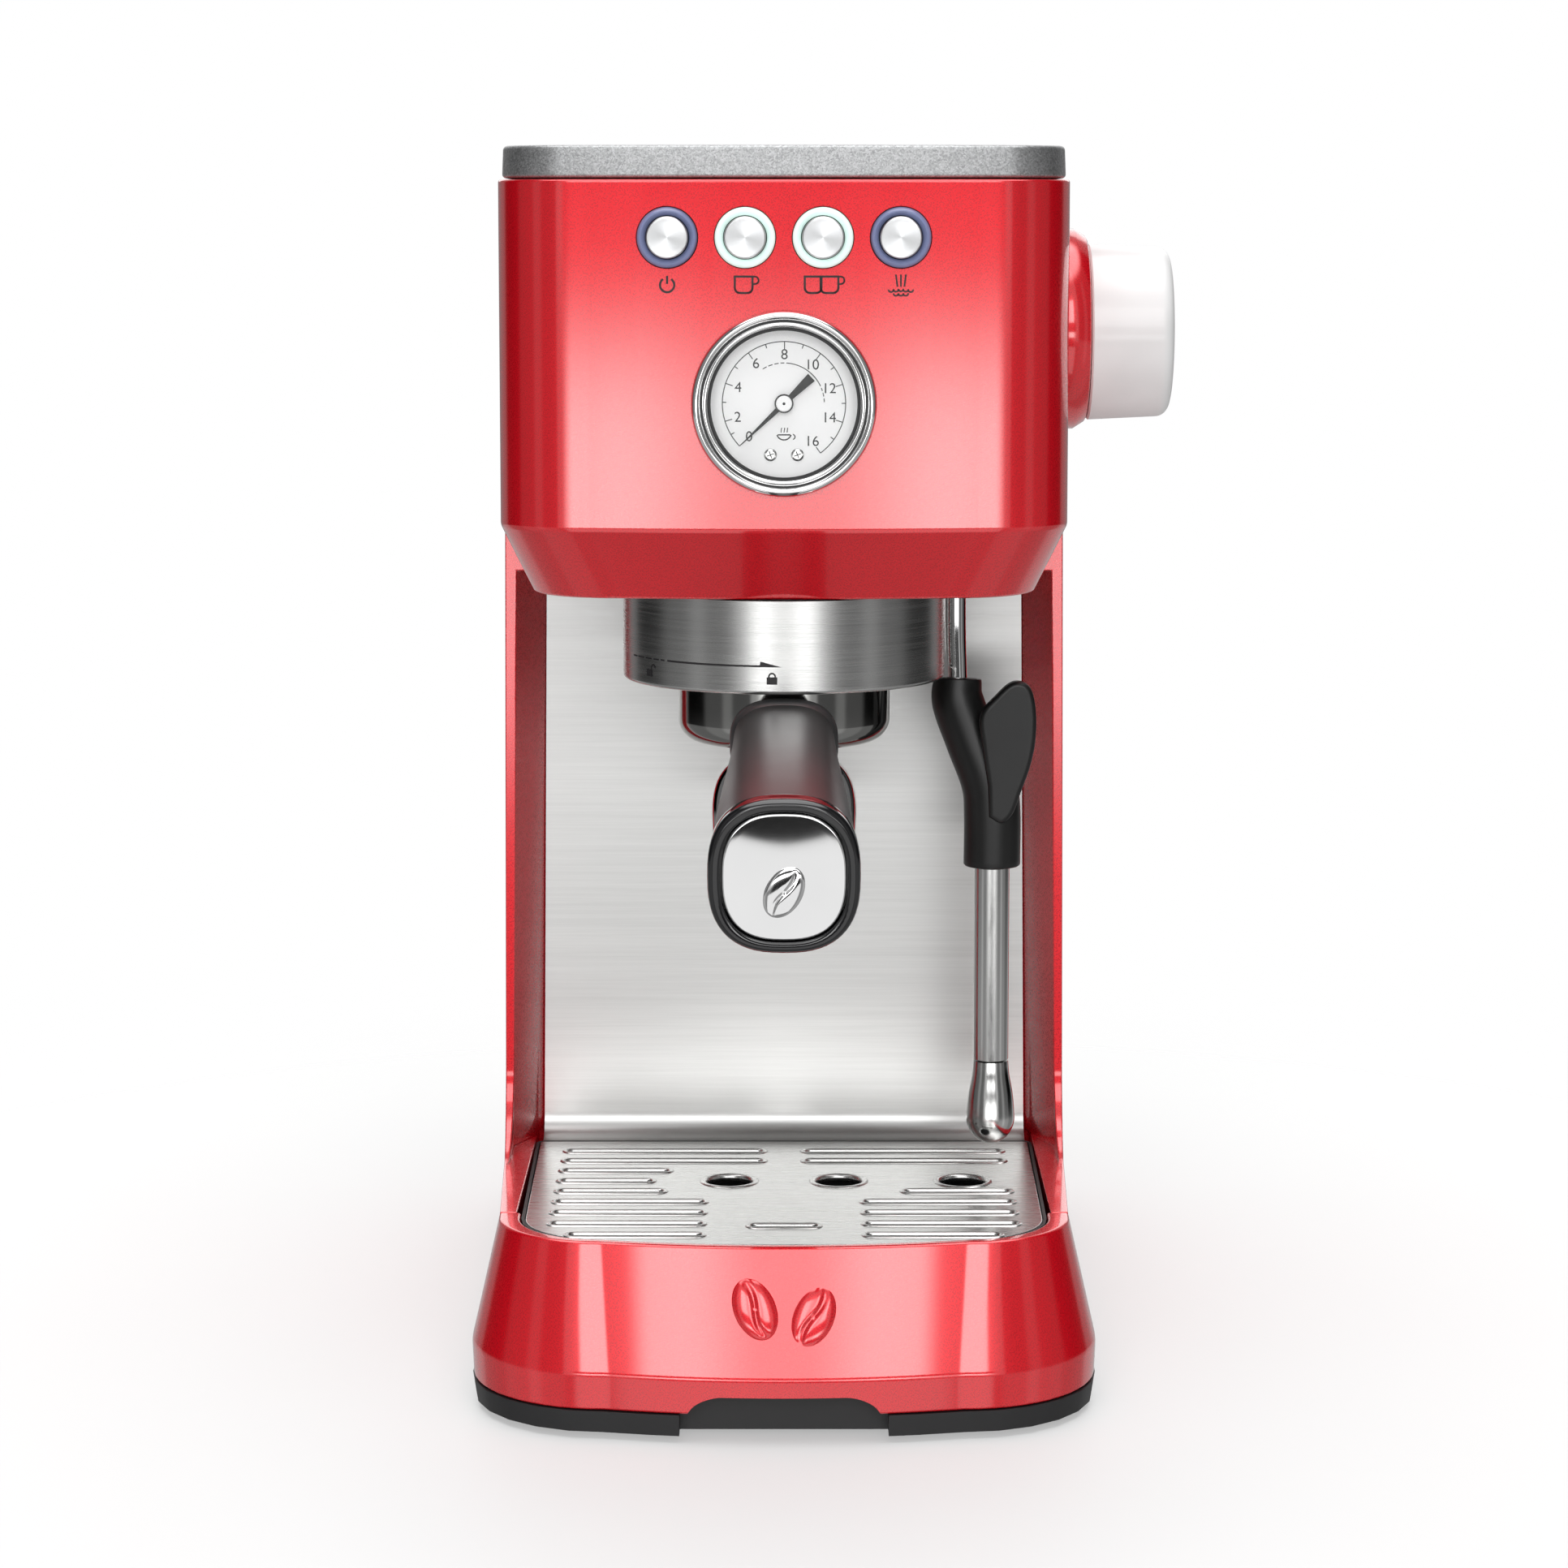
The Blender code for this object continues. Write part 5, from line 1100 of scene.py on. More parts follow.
class ESPRESSO_OT_drip_tray(EspressoPiece, bpy.types.Operator):
    """Drip tray with its painted front, and the slotted grille that lies in it"""

    bl_idname = "espresso.drip_tray"
    bl_label = "Drip tray"

    def tray_run(self, inset):
        size = housing()
        half = high("drip_tray").x
        return front_run(
            half - 1.4 * MM - inset,
            half - inset,
            low("drip_tray").y + inset,
            size.base_top_corner - 5 * MM - inset,
            size.base_bow,
            TRAY_SEAM,
        )

    def build_front(self):
        size = housing()
        crease = SHELL_FOOT + size.base_band
        rim = BASE_TOP
        seat = -PANEL_GAP
        inner = size.wall + 1 * MM
        levels = [
            level(base_run(0, 0.5 * MM), SHELL_FOOT),
            level(base_run(0), crease),
            level(base_run(1), rim),
            level(self.tray_run(seat), rim),
            level(self.tray_run(seat), rim - 9 * MM),
            level(base_run(0.8, inner), rim - 11 * MM),
            level(base_run(0, inner), crease),
            level(base_run(0, inner), SHELL_FOOT),
        ]
        bm = bmesh.new()
        shell_of(bm, levels)
        bmesh.ops.recalc_face_normals(bm, faces=bm.faces)
        soften(bm, size.edge, 4, 14)
        notch = bmesh.new()
        foot, top = size.notch_half + 3 * MM, SHELL_FOOT + size.notch_rise
        corners = [(-foot, 0), (foot, 0), (foot, SHELL_FOOT), (size.notch_half - 4 * MM, top)]
        corners += [(4 * MM - size.notch_half, top), (-foot, SHELL_FOOT)]
        face = notch.faces.new([notch.verts.new((x, -0.2, z)) for x, z in corners])
        pushed(notch, [face], (0, 0.2 + TRAY_SEAM, 0))
        bmesh.ops.recalc_face_normals(notch, faces=notch.faces)
        deep = [e for e in notch.edges if abs(e.verts[0].co.y - e.verts[1].co.y) > 0.01]
        soften(notch, 5 * MM, 6, edges=[e for e in deep if e.verts[0].co.z > 1 * MM])
        bm = carve(bm, "tray_face", [notch])
        publish(
            bm, "tray_face", "drip_tray", paint(tray_lacquer), ("tray_front",), 28
        )

    def build_relief(self):
        size = housing()
        crease = SHELL_FOOT + size.base_band
        back = math.degrees(math.atan2(size.base_setback, BASE_TOP - crease))
        z = (crease + BASE_TOP) / 2
        y = -BASE_FRONT + size.base_setback / 2 + 0.3 * MM
        bm = bmesh.new()
        for side, turn in ((-1, -24), (1, 24)):
            place = (side * 8.6 * MM, y, z - side * 1.2 * MM)
            bean(bm, place, lean(back, turn), 19 * MM, 12.5 * MM, 1.7 * MM)
        publish(
            bm, "bean_relief", "drip_tray", paint(tray_lacquer), (), 60, even=False
        )

    def slots(self):
        """Slots as (x from, x to, y), and where the row of drains lies."""
        edge = high("drip_tray").x - 10 * MM
        first = high("drip_tray").y - 15 * MM
        last = len(SLOT_STARTS) - 1
        pitch = (first - low("drip_tray").y - 12 * MM) / last
        rows = []
        for i, start in enumerate(SLOT_STARTS):
            y = first - i * pitch
            reach = edge - (6 * MM if i == last else 0)
            rows.append((-reach, -start * MM, y))
            if i not in (2, 3):  # the steam wand's drain lies on the right in these two
                rows.append((start * MM, reach, y))
        rows.append((-11 * MM, 11 * MM, first - 7.2 * pitch))
        return rows, first - 3 * pitch

    def outlines(self, grown):
        """The slots' outlines and the drains', with the slots grown by a margin."""
        rows, drain_y = self.slots()
        half = SLOT_HALF + grown
        slots = [stadium(start + half, end - half, y, half) for start, end, y in rows]
        return slots, [arc((x, drain_y), DRAIN_RADIUS, 0, 352.5, 47) for x in DRAINS]

    def build_grille(self):
        size = housing()
        lowest, highest = low("drip_grille"), high("drip_grille")
        half = highest.x
        run = front_run(
            half - 1.4 * MM,
            half,
            lowest.y,
            size.base_top_corner - 6 * MM,
            size.base_bow,
            highest.y - 20 * MM,
        )
        outer = run + [(half, highest.y), (-half, highest.y)]
        slots, drains = self.outlines(0)
        bm = bmesh.new()
        for outline in (outer, *slots, *drains):
            loop_of(bm, level(outline, highest.z))
        bmesh.ops.triangle_fill(bm, edges=bm.edges, use_beauty=True, use_dissolve=False)
        bmesh.ops.recalc_face_normals(bm, faces=bm.faces)
        pushed(bm, list(bm.faces), (0, 0, lowest.z - highest.z))
        bmesh.ops.recalc_face_normals(bm, faces=bm.faces)
        limit = math.radians(45)
        upper = highest.z - 0.01 * MM
        rims = [e for e in bm.edges if e.is_manifold and e.calc_face_angle() > limit]
        rims = [e for e in rims if min(v.co.z for v in e.verts) > upper]
        soften(bm, 0.5 * MM, 4, edges=rims)
        publish(
            bm, "slotted_grille", "grille", paint(grille_steel), ("drip_grille",)
        )

    def build_rolls(self):
        """The rolled lip that stands round every slot and drain."""
        slots, drains = self.outlines(0.5 * MM)
        bm = bmesh.new()
        top = high("drip_grille").z
        for outline in slots:
            rolled(bm, outline, 1.05 * MM, top - 0.6 * MM)
        for outline in drains:
            rolled(bm, outline, 1.3 * MM, top - 0.8 * MM)
        publish(
            bm, "slot_rolls", "grille", paint(grille_steel), (), 60, even=False
        )

    def build(self):
        self.build_front()
        self.build_relief()
        refined("drip_tray", "drip_tray", paint(matt_black), 0.4 * MM, 2, 40)
        self.build_grille()
        self.build_rolls()


class ESPRESSO_OT_group(EspressoPiece, bpy.types.Operator):
    """Brushed collar with its printed marks, and the brew head inside it"""

    bl_idname = "espresso.group"
    bl_label = "Group"

    def build_marks(self):
        drawn = Print()
        radius = COLLAR_RADIUS
        line = controls().line
        z = 8.7 * MM
        tail = -radius * math.radians(45)
        steps = 14
        for i in range(steps):
            start = tail + (-7 * MM - tail) * i / steps
            end = tail + (-7 * MM - tail) * (i + 1) / steps
            drawn.bar((start, z), (end, z), line * 1.2)
        barb, point = Vector((-7.2 * MM, z + 0.55 * MM)), Vector((-0.8 * MM, z - line / 2))
        for i in range(8):
            widths = [1.7 * MM * (1 - share / 8.2) for share in (i, i + 1)]
            drawn.bar(barb.lerp(point, i / 8), barb.lerp(point, (i + 1) / 8), *widths)
        dashes = ((-46.5, -48.5), (-49.5, -52.5), (-53.8, -57.5), (-58.8, -63), (-64, -67))
        for start, end in dashes:
            for i in range(2):
                share = (end - start) / 2
                near = radius * math.radians(start + share * i)
                far = radius * math.radians(start + share * (i + 1))
                drawn.bar((near, z), (far, z), line)
        for x, lifted in ((-radius * math.radians(55), 1), (-3.6 * MM, 0)):
            foot = 3.2 * MM
            drawn.bar((x, foot), (x, foot + 2.2 * MM), 3.2 * MM)
            hinge = x + lifted * 1.9 * MM
            top = foot + 2.4 * MM + lifted * 0.3 * MM
            drawn.band((hinge, top), 0.95 * MM, line, 0, 180, 12)
            for side in (-1, 1):
                if side < 0 or not lifted:
                    edge = hinge + side * 0.95 * MM
                    drawn.bar((edge, foot + 2 * MM), (edge, top), line)

        def place(u, v):
            angle = u / radius
            out = radius + 0.04 * MM
            x, y = COLLAR.x + out * math.sin(angle), COLLAR.y - out * math.cos(angle)
            return Vector((x, y, low("group_collar").z + v))

        publish_print(drawn, place, "collar_marks", "housing", paint(printed_ink))

    def build(self):
        foot, top = low("group_collar").z, high("group_collar").z
        wall = 1.2 * MM
        lip = 10 * MM
        radius = COLLAR_RADIUS
        edge = group().collar_edge
        profile = [(radius, top), (radius, (top + foot) / 2)]
        profile += arc((radius - edge, foot + edge), edge, 0, -90, 6)
        profile += [(radius - lip, foot), (radius - lip, foot + wall), (radius - wall, foot + wall)]
        profile += [(radius - wall, top)]
        bm = bmesh.new()
        turned(bm, profile, COLLAR_AXIS, "Z", 128)
        publish(
            bm, "brushed_collar", "housing", paint(collar_steel),
            ("group_collar",),
        )
        self.build_marks()
        refined("brew_head", "housing", paint(cast_metal), 0.4 * MM, 2, 40)
        paint_node("group_gasket", paint(silicone))
        refined("shower_screen", "housing", paint(grille_steel), 0.3 * MM, 2, 40)
        refined("shower_screw", "housing", paint(bright_chrome), 0.2 * MM, 2, 40)


class ESPRESSO_OT_portafilter(EspressoPiece, bpy.types.Operator):
    """Portafilter: cup, basket, handle, end cap and twin spout"""

    bl_idname = "espresso.portafilter"
    bl_label = "Portafilter"

    def station(self, share, grow=0.0):
        """A place along the handle, from the cup (0) to its end (1)."""
        size = group()
        end = low("portafilter_handle").y + 2.5 * MM
        start = COLLAR.y - CUP_RADIUS
        eased = share * share * (3 - 2 * share)
        neck = CUP_FOOT + 6.5 * MM
        centre = Vector((0, start + (end - start) * share, neck - size.handle_drop * share))
        half_width = size.neck_width + (size.handle_width - size.neck_width) * eased + grow
        half_height = size.neck_height + (size.handle_height - size.neck_height) * eased + grow
        return centre, half_width, half_height

    def build_cup(self):
        radius = CUP_RADIUS
        inner = high("filter_basket").x - 3 * MM
        edge = 7 * MM
        profile = [(0, CUP_FOOT), (radius - edge - 4 * MM, CUP_FOOT)]
        profile += arc((radius - edge, CUP_FOOT + edge), edge, -90, 0, 10)
        rim = [(radius, CUP_FOOT + 12 * MM), (radius, CUP_RIM), (inner, CUP_RIM)]
        profile += rounded(rim, 0.6 * MM)
        profile += [(inner, CUP_FOOT + 5 * MM), (0, CUP_FOOT + 4 * MM)]
        bm = bmesh.new()
        turned(bm, profile, COLLAR_AXIS, "Z", 128)
        top = CUP_RIM - 1 * MM
        sweep = 28  # degrees that each locking lug spans
        for side in (0, 180):
            bounds = [(radius - 1.5 * MM, top - 4 * MM), (radius + 4.5 * MM, top - 4 * MM)]
            bounds += [(radius + 4.5 * MM, top), (radius - 1.5 * MM, top)]
            turn = Matrix.Rotation(math.radians(side - sweep / 2), 4, "Z")
            before = set(bm.verts)
            verts = [bm.verts.new(turn @ Vector((r, 0, z))) for r, z in bounds]
            face = bm.faces.new(verts)
            bmesh.ops.spin(
                bm,
                geom=[face, *face.edges, *verts],
                cent=(0, 0, 0),
                axis=(0, 0, 1),
                angle=math.radians(sweep),
                steps=8,
                use_merge=False,
                use_duplicate=False,
            )
            made = [v for v in bm.verts if v not in before]
            bmesh.ops.translate(bm, vec=COLLAR_AXIS, verts=made)
        neck = [self.station(0.0)[0], self.station(0.0635)[0]]
        neck[0].y += 2.5 * MM
        tube(bm, [(neck[0], 9 * MM, 5.5 * MM), (neck[1], 8 * MM, 5.5 * MM)], 32, 2.4)
        publish(
            bm, "chrome_cup", "portafilter", paint(dark_chrome), ("portafilter_cup",)
        )

    def build_basket(self):
        rim = high("filter_basket")
        outer = rim.x - 3.6 * MM
        floor = low("filter_basket").z
        wall = 0.7 * MM
        bm = bmesh.new()
        profile = [(0, floor)] + arc((outer - 3 * MM, floor + 3 * MM), 3 * MM, -90, 0, 8)
        profile += [(outer, rim.z - 1.2 * MM), (rim.x, rim.z - 1.2 * MM), (rim.x, rim.z)]
        profile += [(outer - wall, rim.z)]
        profile += arc((outer - 3 * MM, floor + 3 * MM), 3 * MM - wall, 0, -90, 8)
        profile += [(0, floor + wall)]
        turned(bm, profile, COLLAR_AXIS)
        publish(
            bm, "steel_basket", "portafilter", paint(wand_steel),
            ("filter_basket",),
        )

    def build_handle(self):
        size = group()
        neck, rim = 0.066, 0.955
        stations = []
        lip = ((0.0, -1.6), (0.001, -0.4), (0.005, 0.2), (0.012, 0.5), (0.022, 0.45), (0.03, -0.1))
        for ahead, grow in lip:
            stations.append(self.station(neck + ahead, grow * MM))
        for i in range(34):
            share = neck + 0.036 + (rim - neck - 0.036) * i / 33
            stations.append(self.station(share, -0.75 * MM))
        bm = bmesh.new()
        tube(bm, stations, 64, 2.6)
        publish(
            bm, "satin_grip", "portafilter", paint(satin_handle),
            ("portafilter_handle",),
        )
        inset = size.cap_inset
        bm = bmesh.new()
        shape = [(rim - 0.012, -2.5), (rim - 0.01, -0.7), (rim - 0.004, -0.2), (rim + 0.004, 0.0)]
        shape += [(0.986, 0.0), (0.993, -0.3), (0.9975, -1.0), (0.9992, -1.7)]
        loops = []
        along = self.station(1)[0] - self.station(0)[0]
        inside = ((0.998, -inset + 0.3 * MM), (0.995, -inset), (0.972, -inset))
        for share, grow in (*((share, grow * MM) for share, grow in shape), *inside):
            centre, width, height = self.station(share, grow)
            loops.append(section(centre, along, width, height, 64, 2.6))
        lofted(bm, loops)
        publish(bm, "gloss_rim", "portafilter", paint(gloss_black), (), 50)

    def build_cap(self):
        inset = group().cap_inset + PANEL_GAP
        along = self.station(1)[0] - self.station(0)[0]
        out = along.normalized()
        centre, width, height = self.station(1.0, -inset)
        loops = [section(self.station(0.974)[0], along, width, height, 64, 2.6)]
        loops.append(section(centre - out * 1.5 * MM, along, width, height, 64, 2.6))
        for i in range(1, 6):
            a = math.pi / 2 * i / 5
            shrink = 0.8 * MM * (1 - math.cos(a))
            place = centre - out * (1.5 * MM - 0.8 * MM * math.sin(a))
            loops.append(section(place, along, width - shrink, height - shrink, 64, 2.6))
        for i in range(1, 13):
            share = 1 - i / 13
            bulge = 0.55 * MM * (1 - share * share)
            place = centre - out * (0.7 * MM - bulge)
            scale = Vector((width - 0.8 * MM, height - 0.8 * MM)) * share
            loops.append(section(place, along, scale.x, scale.y, 64, 2 + 0.6 * share))
        bm = bmesh.new()
        lofted(bm, loops)
        publish(
            bm, "bright_cap", "portafilter", paint(bright_chrome), ("handle_end_cap",), 50
        )
        bm = bmesh.new()
        tip = math.degrees(math.atan2(out.z, -out.y))
        place = centre - out * 0.5 * MM + Vector((0, 0, -4 * MM))
        bean(bm, place, lean(tip, 28), 15 * MM, 10 * MM, 1.0 * MM)
        publish(
            bm, "bean_emblem", "portafilter", paint(bright_chrome), (), 60, even=False
        )

    def build_spout(self):
        lowest, highest = low("twin_spout"), high("twin_spout")
        radius = group().spout_tube
        reach = highest.x - radius
        y = COLLAR.y
        down = Vector((0, 0, -1))
        bm = bmesh.new()
        for side in (-1, 1):
            points = [
                (side * 0.1 * reach, y, highest.z - 7 * MM),
                (side * 0.5 * reach, y, highest.z - 8.2 * MM),
                (side * 0.86 * reach, y, highest.z - 12.5 * MM),
                (side * reach, y, highest.z - 19 * MM),
                (side * reach, y, lowest.z),
            ]
            route = smooth_route(points, 8)
            loops = []
            for i, centre in enumerate(route):
                along = route[min(i + 1, len(route) - 1)] - route[max(i - 1, 0)]
                if i >= len(route) - 8:
                    along = down
                loops.append(section(centre, along, radius, radius, 40))
            mouth = Vector((side * reach, y, lowest.z))
            bore = radius - 1.3 * MM
            for place in (mouth, mouth + Vector((0, 0, 9 * MM))):
                loops.append(section(place, down, bore, bore, 40))
            lofted(bm, loops)
        boss = [(0, highest.z - 13 * MM), (8 * MM, highest.z - 13 * MM), (9.5 * MM, highest.z)]
        boss += [(0, highest.z)]
        turned(bm, rounded(boss, 2.5 * MM), (0, y, 0), "Z", 64)
        publish(
            bm, "chrome_spout", "portafilter", paint(bright_chrome), ("twin_spout",), 50
        )

    def build(self):
        self.build_cup()
        self.build_basket()
        self.build_handle()
        self.build_cap()
        self.build_spout()


class ESPRESSO_OT_steam_wand(EspressoPiece, bpy.types.Operator):
    """Steam wand: socket, ball, bent pipe, grip with its thumb fin, sleeve and tip"""

    bl_idname = "espresso.steam_wand"
    bl_label = "Steam wand"

    def build(self):
        socket = middle("wand_socket")
        top = high("wand_grip").z
        foot = low("wand_grip").z
        ball_z = high("wand_pipe").z - BALL_RADIUS
        shift = SLEEVE.x - socket.x
        forward = socket.y - SLEEVE.y

        def at(share, z, ahead):
            return Vector((socket.x + shift * share, socket.y - forward * ahead, z))

        bend = [
            at(0, ball_z - 2 * MM, 0),
            at(0, top + 20 * MM, 0),
            at(0.02, top + 8 * MM, 0.1),
            at(0.1, top - 6 * MM, 0.3),
            at(0.5, top - 19 * MM, 0.6),
            at(0.9, top - 32 * MM, 0.9),
            at(1, foot, 1),
            at(1, low("wand_pipe").z, 1),
        ]
        bm = bmesh.new()
        tube(bm, [(p, PIPE_RADIUS, PIPE_RADIUS) for p in smooth_route(bend, 8)], 32)
        sphere = Matrix.Translation((socket.x, socket.y, ball_z))
        bmesh.ops.create_uvsphere(
            bm, u_segments=48, v_segments=24, radius=BALL_RADIUS, matrix=sphere
        )
        publish(bm, "steam_tube", "wand", paint(bright_chrome), ("wand_pipe",), 50)

        places = [at(0.05, top, 0.2), at(0.06, top - 7 * MM, 0.3), at(0.45, top - 19 * MM, 0.55)]
        places += [at(0.9, top - 32 * MM, 0.9), at(1, top - 42 * MM, 1), at(1, foot, 1)]
        radii = [7.6, 8.3, 8.5, 8.8, 9, 9]
        pairs = [Vector((*place, radius * MM)) for place, radius in zip(places, radii)]
        fine = []
        for i in range(len(pairs) - 1):
            fine += [pairs[i].lerp(pairs[i + 1], k / 8) for k in range(8)]
        route = smooth_route(places, 8)
        stations = [(p, f.w, f.w) for p, f in zip(route, [*fine, pairs[-1]])]
        start = (route[0] - route[1]).normalized()
        crown = []
        for i in range(6):
            a = math.pi / 2 * i / 6
            radius = 7.6 * MM - 3.4 * MM * (1 - math.sin(a))
            crown.append((route[0] + start * 0.6 * MM * math.cos(a), radius, radius))
        lower, above = route[-1], route[-1] + Vector((0, 0, 0.5 * MM))
        hem = [(above, GRIP_RADIUS, GRIP_RADIUS), (lower, 8.5 * MM, 8.5 * MM)]
        bm = bmesh.new()
        tube(bm, [*crown, *stations[:-1], *hem], 40)
        x = SLEEVE.x
        rim = [(-1.5, -42), (2.5, -44), (6, -41), (8.6, -34), (11.4, -26), (13, -18), (13.2, -9)]
        rim += [(11.8, -1.8), (8.8, 0.8), (5, 0.4), (0.6, -3.6), (-4.4, -10), (-3.6, -20)]
        rim += [(-1.8, -32)]
        face_y = SLEEVE.y - 10 * MM
        outline = smooth_route([(x + a * MM, face_y, top + b * MM) for a, b in rim], 5)
        fin = bmesh.new()
        face = fin.faces.new([fin.verts.new(p) for p in outline])
        pushed(fin, [face], (0, 6.4 * MM, 0))
        bmesh.ops.recalc_face_normals(fin, faces=fin.faces)
        soften(fin, 1.7 * MM, 5, 60)
        merged(bm, fin)
        publish(bm, "wand_handle", "wand", paint(wand_rubber), ("wand_grip",), 50)

        radius = (high("wand_sleeve").x - low("wand_sleeve").x) / 2
        inner = 3.8 * MM
        lowest, highest = low("wand_sleeve").z, high("wand_sleeve").z
        centre = (SLEEVE.x, SLEEVE.y, 0)
        bm = bmesh.new()
        profile = [(inner, lowest), (radius - 0.3 * MM, lowest), (radius, lowest + 0.3 * MM)]
        profile += [(radius, highest - 0.3 * MM), (radius - 0.3 * MM, highest), (inner, highest)]
        turned(bm, profile, centre, "Z", 64)
        publish(bm, "steel_sleeve", "wand", paint(wand_steel), ("wand_sleeve",))

        lowest, highest = low("wand_tip").z, high("wand_tip").z
        widest = (high("wand_tip").x - low("wand_tip").x) / 2
        rise = highest - lowest
        bm = bmesh.new()
        profile = [(0, 0), (0.3, 0.012), (0.62, 0.07), (0.86, 0.16), (0.98, 0.27), (0.97, 0.42)]
        profile = [Vector((r * widest, lowest + z * rise, 0)) for r, z in profile]
        profile += [Vector((0.9 * widest, lowest + 0.62 * rise, 0))]
        profile += [Vector((radius + 0.35 * MM, lowest + 0.84 * rise, 0))]
        profile += [Vector((radius, highest, 0))]
        curve = [(p.x, p.y) for p in smooth_route(profile, 5)]
        curve[0] = (0, lowest)
        curve = [(max(0.0, r), max(z, lowest)) for r, z in curve]
        curve += [(inner, highest), (inner, highest - 5 * MM), (0, highest - 5 * MM)]
        turned(bm, curve, centre, "Z", 64)
        publish(bm, "steam_nozzle", "wand", paint(wand_steel), ("wand_tip",), 50)
        refined("wand_socket", "housing", paint(matt_black), 0.5 * MM, 2, 40)
        paint_node("wand_seat", paint(silicone))


class ESPRESSO_OT_steam_knob(EspressoPiece, bpy.types.Operator):
    """Satin steam knob on its painted cone"""

    bl_idname = "espresso.steam_knob"
    bl_label = "Steam knob"

    def build(self):
        lowest, highest = low("steam_knob"), high("steam_knob")
        radius = (highest.z - lowest.z) / 2
        centre = (0, KNOB.y, KNOB.z)
        bm = bmesh.new()
        profile = [(0, lowest.x), (radius - 0.6 * MM, lowest.x), (radius, lowest.x + 0.6 * MM)]
        profile += arc((radius - 5 * MM, highest.x - 4 * MM), 4 * MM, 0, 90, 10)
        profile += rounded(
            [
                (radius - 5 * MM, highest.x),
                (radius - 8 * MM, highest.x - 0.1 * MM),
                (radius - 9.5 * MM, highest.x - 1.4 * MM),
                (0, highest.x - 1.8 * MM),
            ],
            1.2 * MM,
        )
        turned(bm, profile, centre, "X", 128)
        half = 0.9 * MM
        bmesh.ops.create_cube(
            bm,
            size=1,
            matrix=Matrix.Translation((highest.x - 1.2 * MM, KNOB.y, KNOB.z + radius * 0.36))
            @ Matrix.Diagonal((1.4 * MM, 2 * half, radius * 0.5, 1)),
        )
        publish(
            bm, "satin_knob", "steam_knob", paint(satin_white), ("steam_knob",)
        )
        lowest, highest = low("knob_bezel"), high("knob_bezel")
        outer = (highest.z - lowest.z) / 2
        place = (0, KNOB.y, middle("knob_bezel").z)
        bm = bmesh.new()
        skirt = lowest.x - 2.9 * MM  # reaches the head's slanting side all round
        profile = [(6 * MM, skirt), (outer, skirt), (outer, lowest.x + 0.6 * MM)]
        profile += [(radius + 1.6 * MM, highest.x - 0.5 * MM), (radius + 0.7 * MM, highest.x)]
        profile += [(6 * MM, highest.x)]
        turned(bm, profile, place, "X", 128)
        publish(bm, "painted_cone", "housing", paint(lacquer), ("knob_bezel",), 40)
        paint_node("knob_spindle", paint(brass))


class ESPRESSO_OT_buttons(EspressoPiece, bpy.types.Operator):
    """Four spun buttons in their light rings"""

    bl_idname = "espresso.buttons"
    bl_label = "Buttons"

    def build(self):
        size = controls()
        for name in BUTTONS:
            place = middle(f"button_{name}")
            front, back = low(f"button_{name}").y, high(f"button_{name}").y
            radius = size.cap_radius
            centre = (place.x, 0, place.z)
            bm = bmesh.new()
            dish = 0.25 * MM
            profile = [(0, front + dish)]
            profile += [(radius * k / 6, front + dish * (1 - (k / 6) ** 2)) for k in range(1, 6)]
            profile += arc((radius - 0.5 * MM, front + 0.5 * MM), 0.5 * MM, -90, 0, 5)
            profile += [(radius, back), (0, back)]
            turned(bm, profile, centre, "Y", 64)
            publish(
                bm, f"spun_cap_{name}", f"button_{name}", paint(spun_aluminium, name),
                (f"button_{name}",),
            )
            face, rear = low(f"ring_{name}").y + 1 * MM, high(f"ring_{name}").y
            outer, inner = size.ring_radius, radius + PANEL_GAP
            bm = bmesh.new()
            profile = [(inner, face + 0.2 * MM), (inner + 0.9 * MM, face - 0.7 * MM)]
            profile += [((inner + outer) / 2, face - 1 * MM), (outer - 0.7 * MM, face - 0.8 * MM)]
            profile += [(outer, face - 0.1 * MM), (outer, rear), (inner, rear)]
            turned(bm, profile, centre, "Y", 64)
            publish(
                bm, f"glow_ring_{name}", "housing", paint(light_ring, RINGS[name]),
                (f"ring_{name}",), 50,
            )


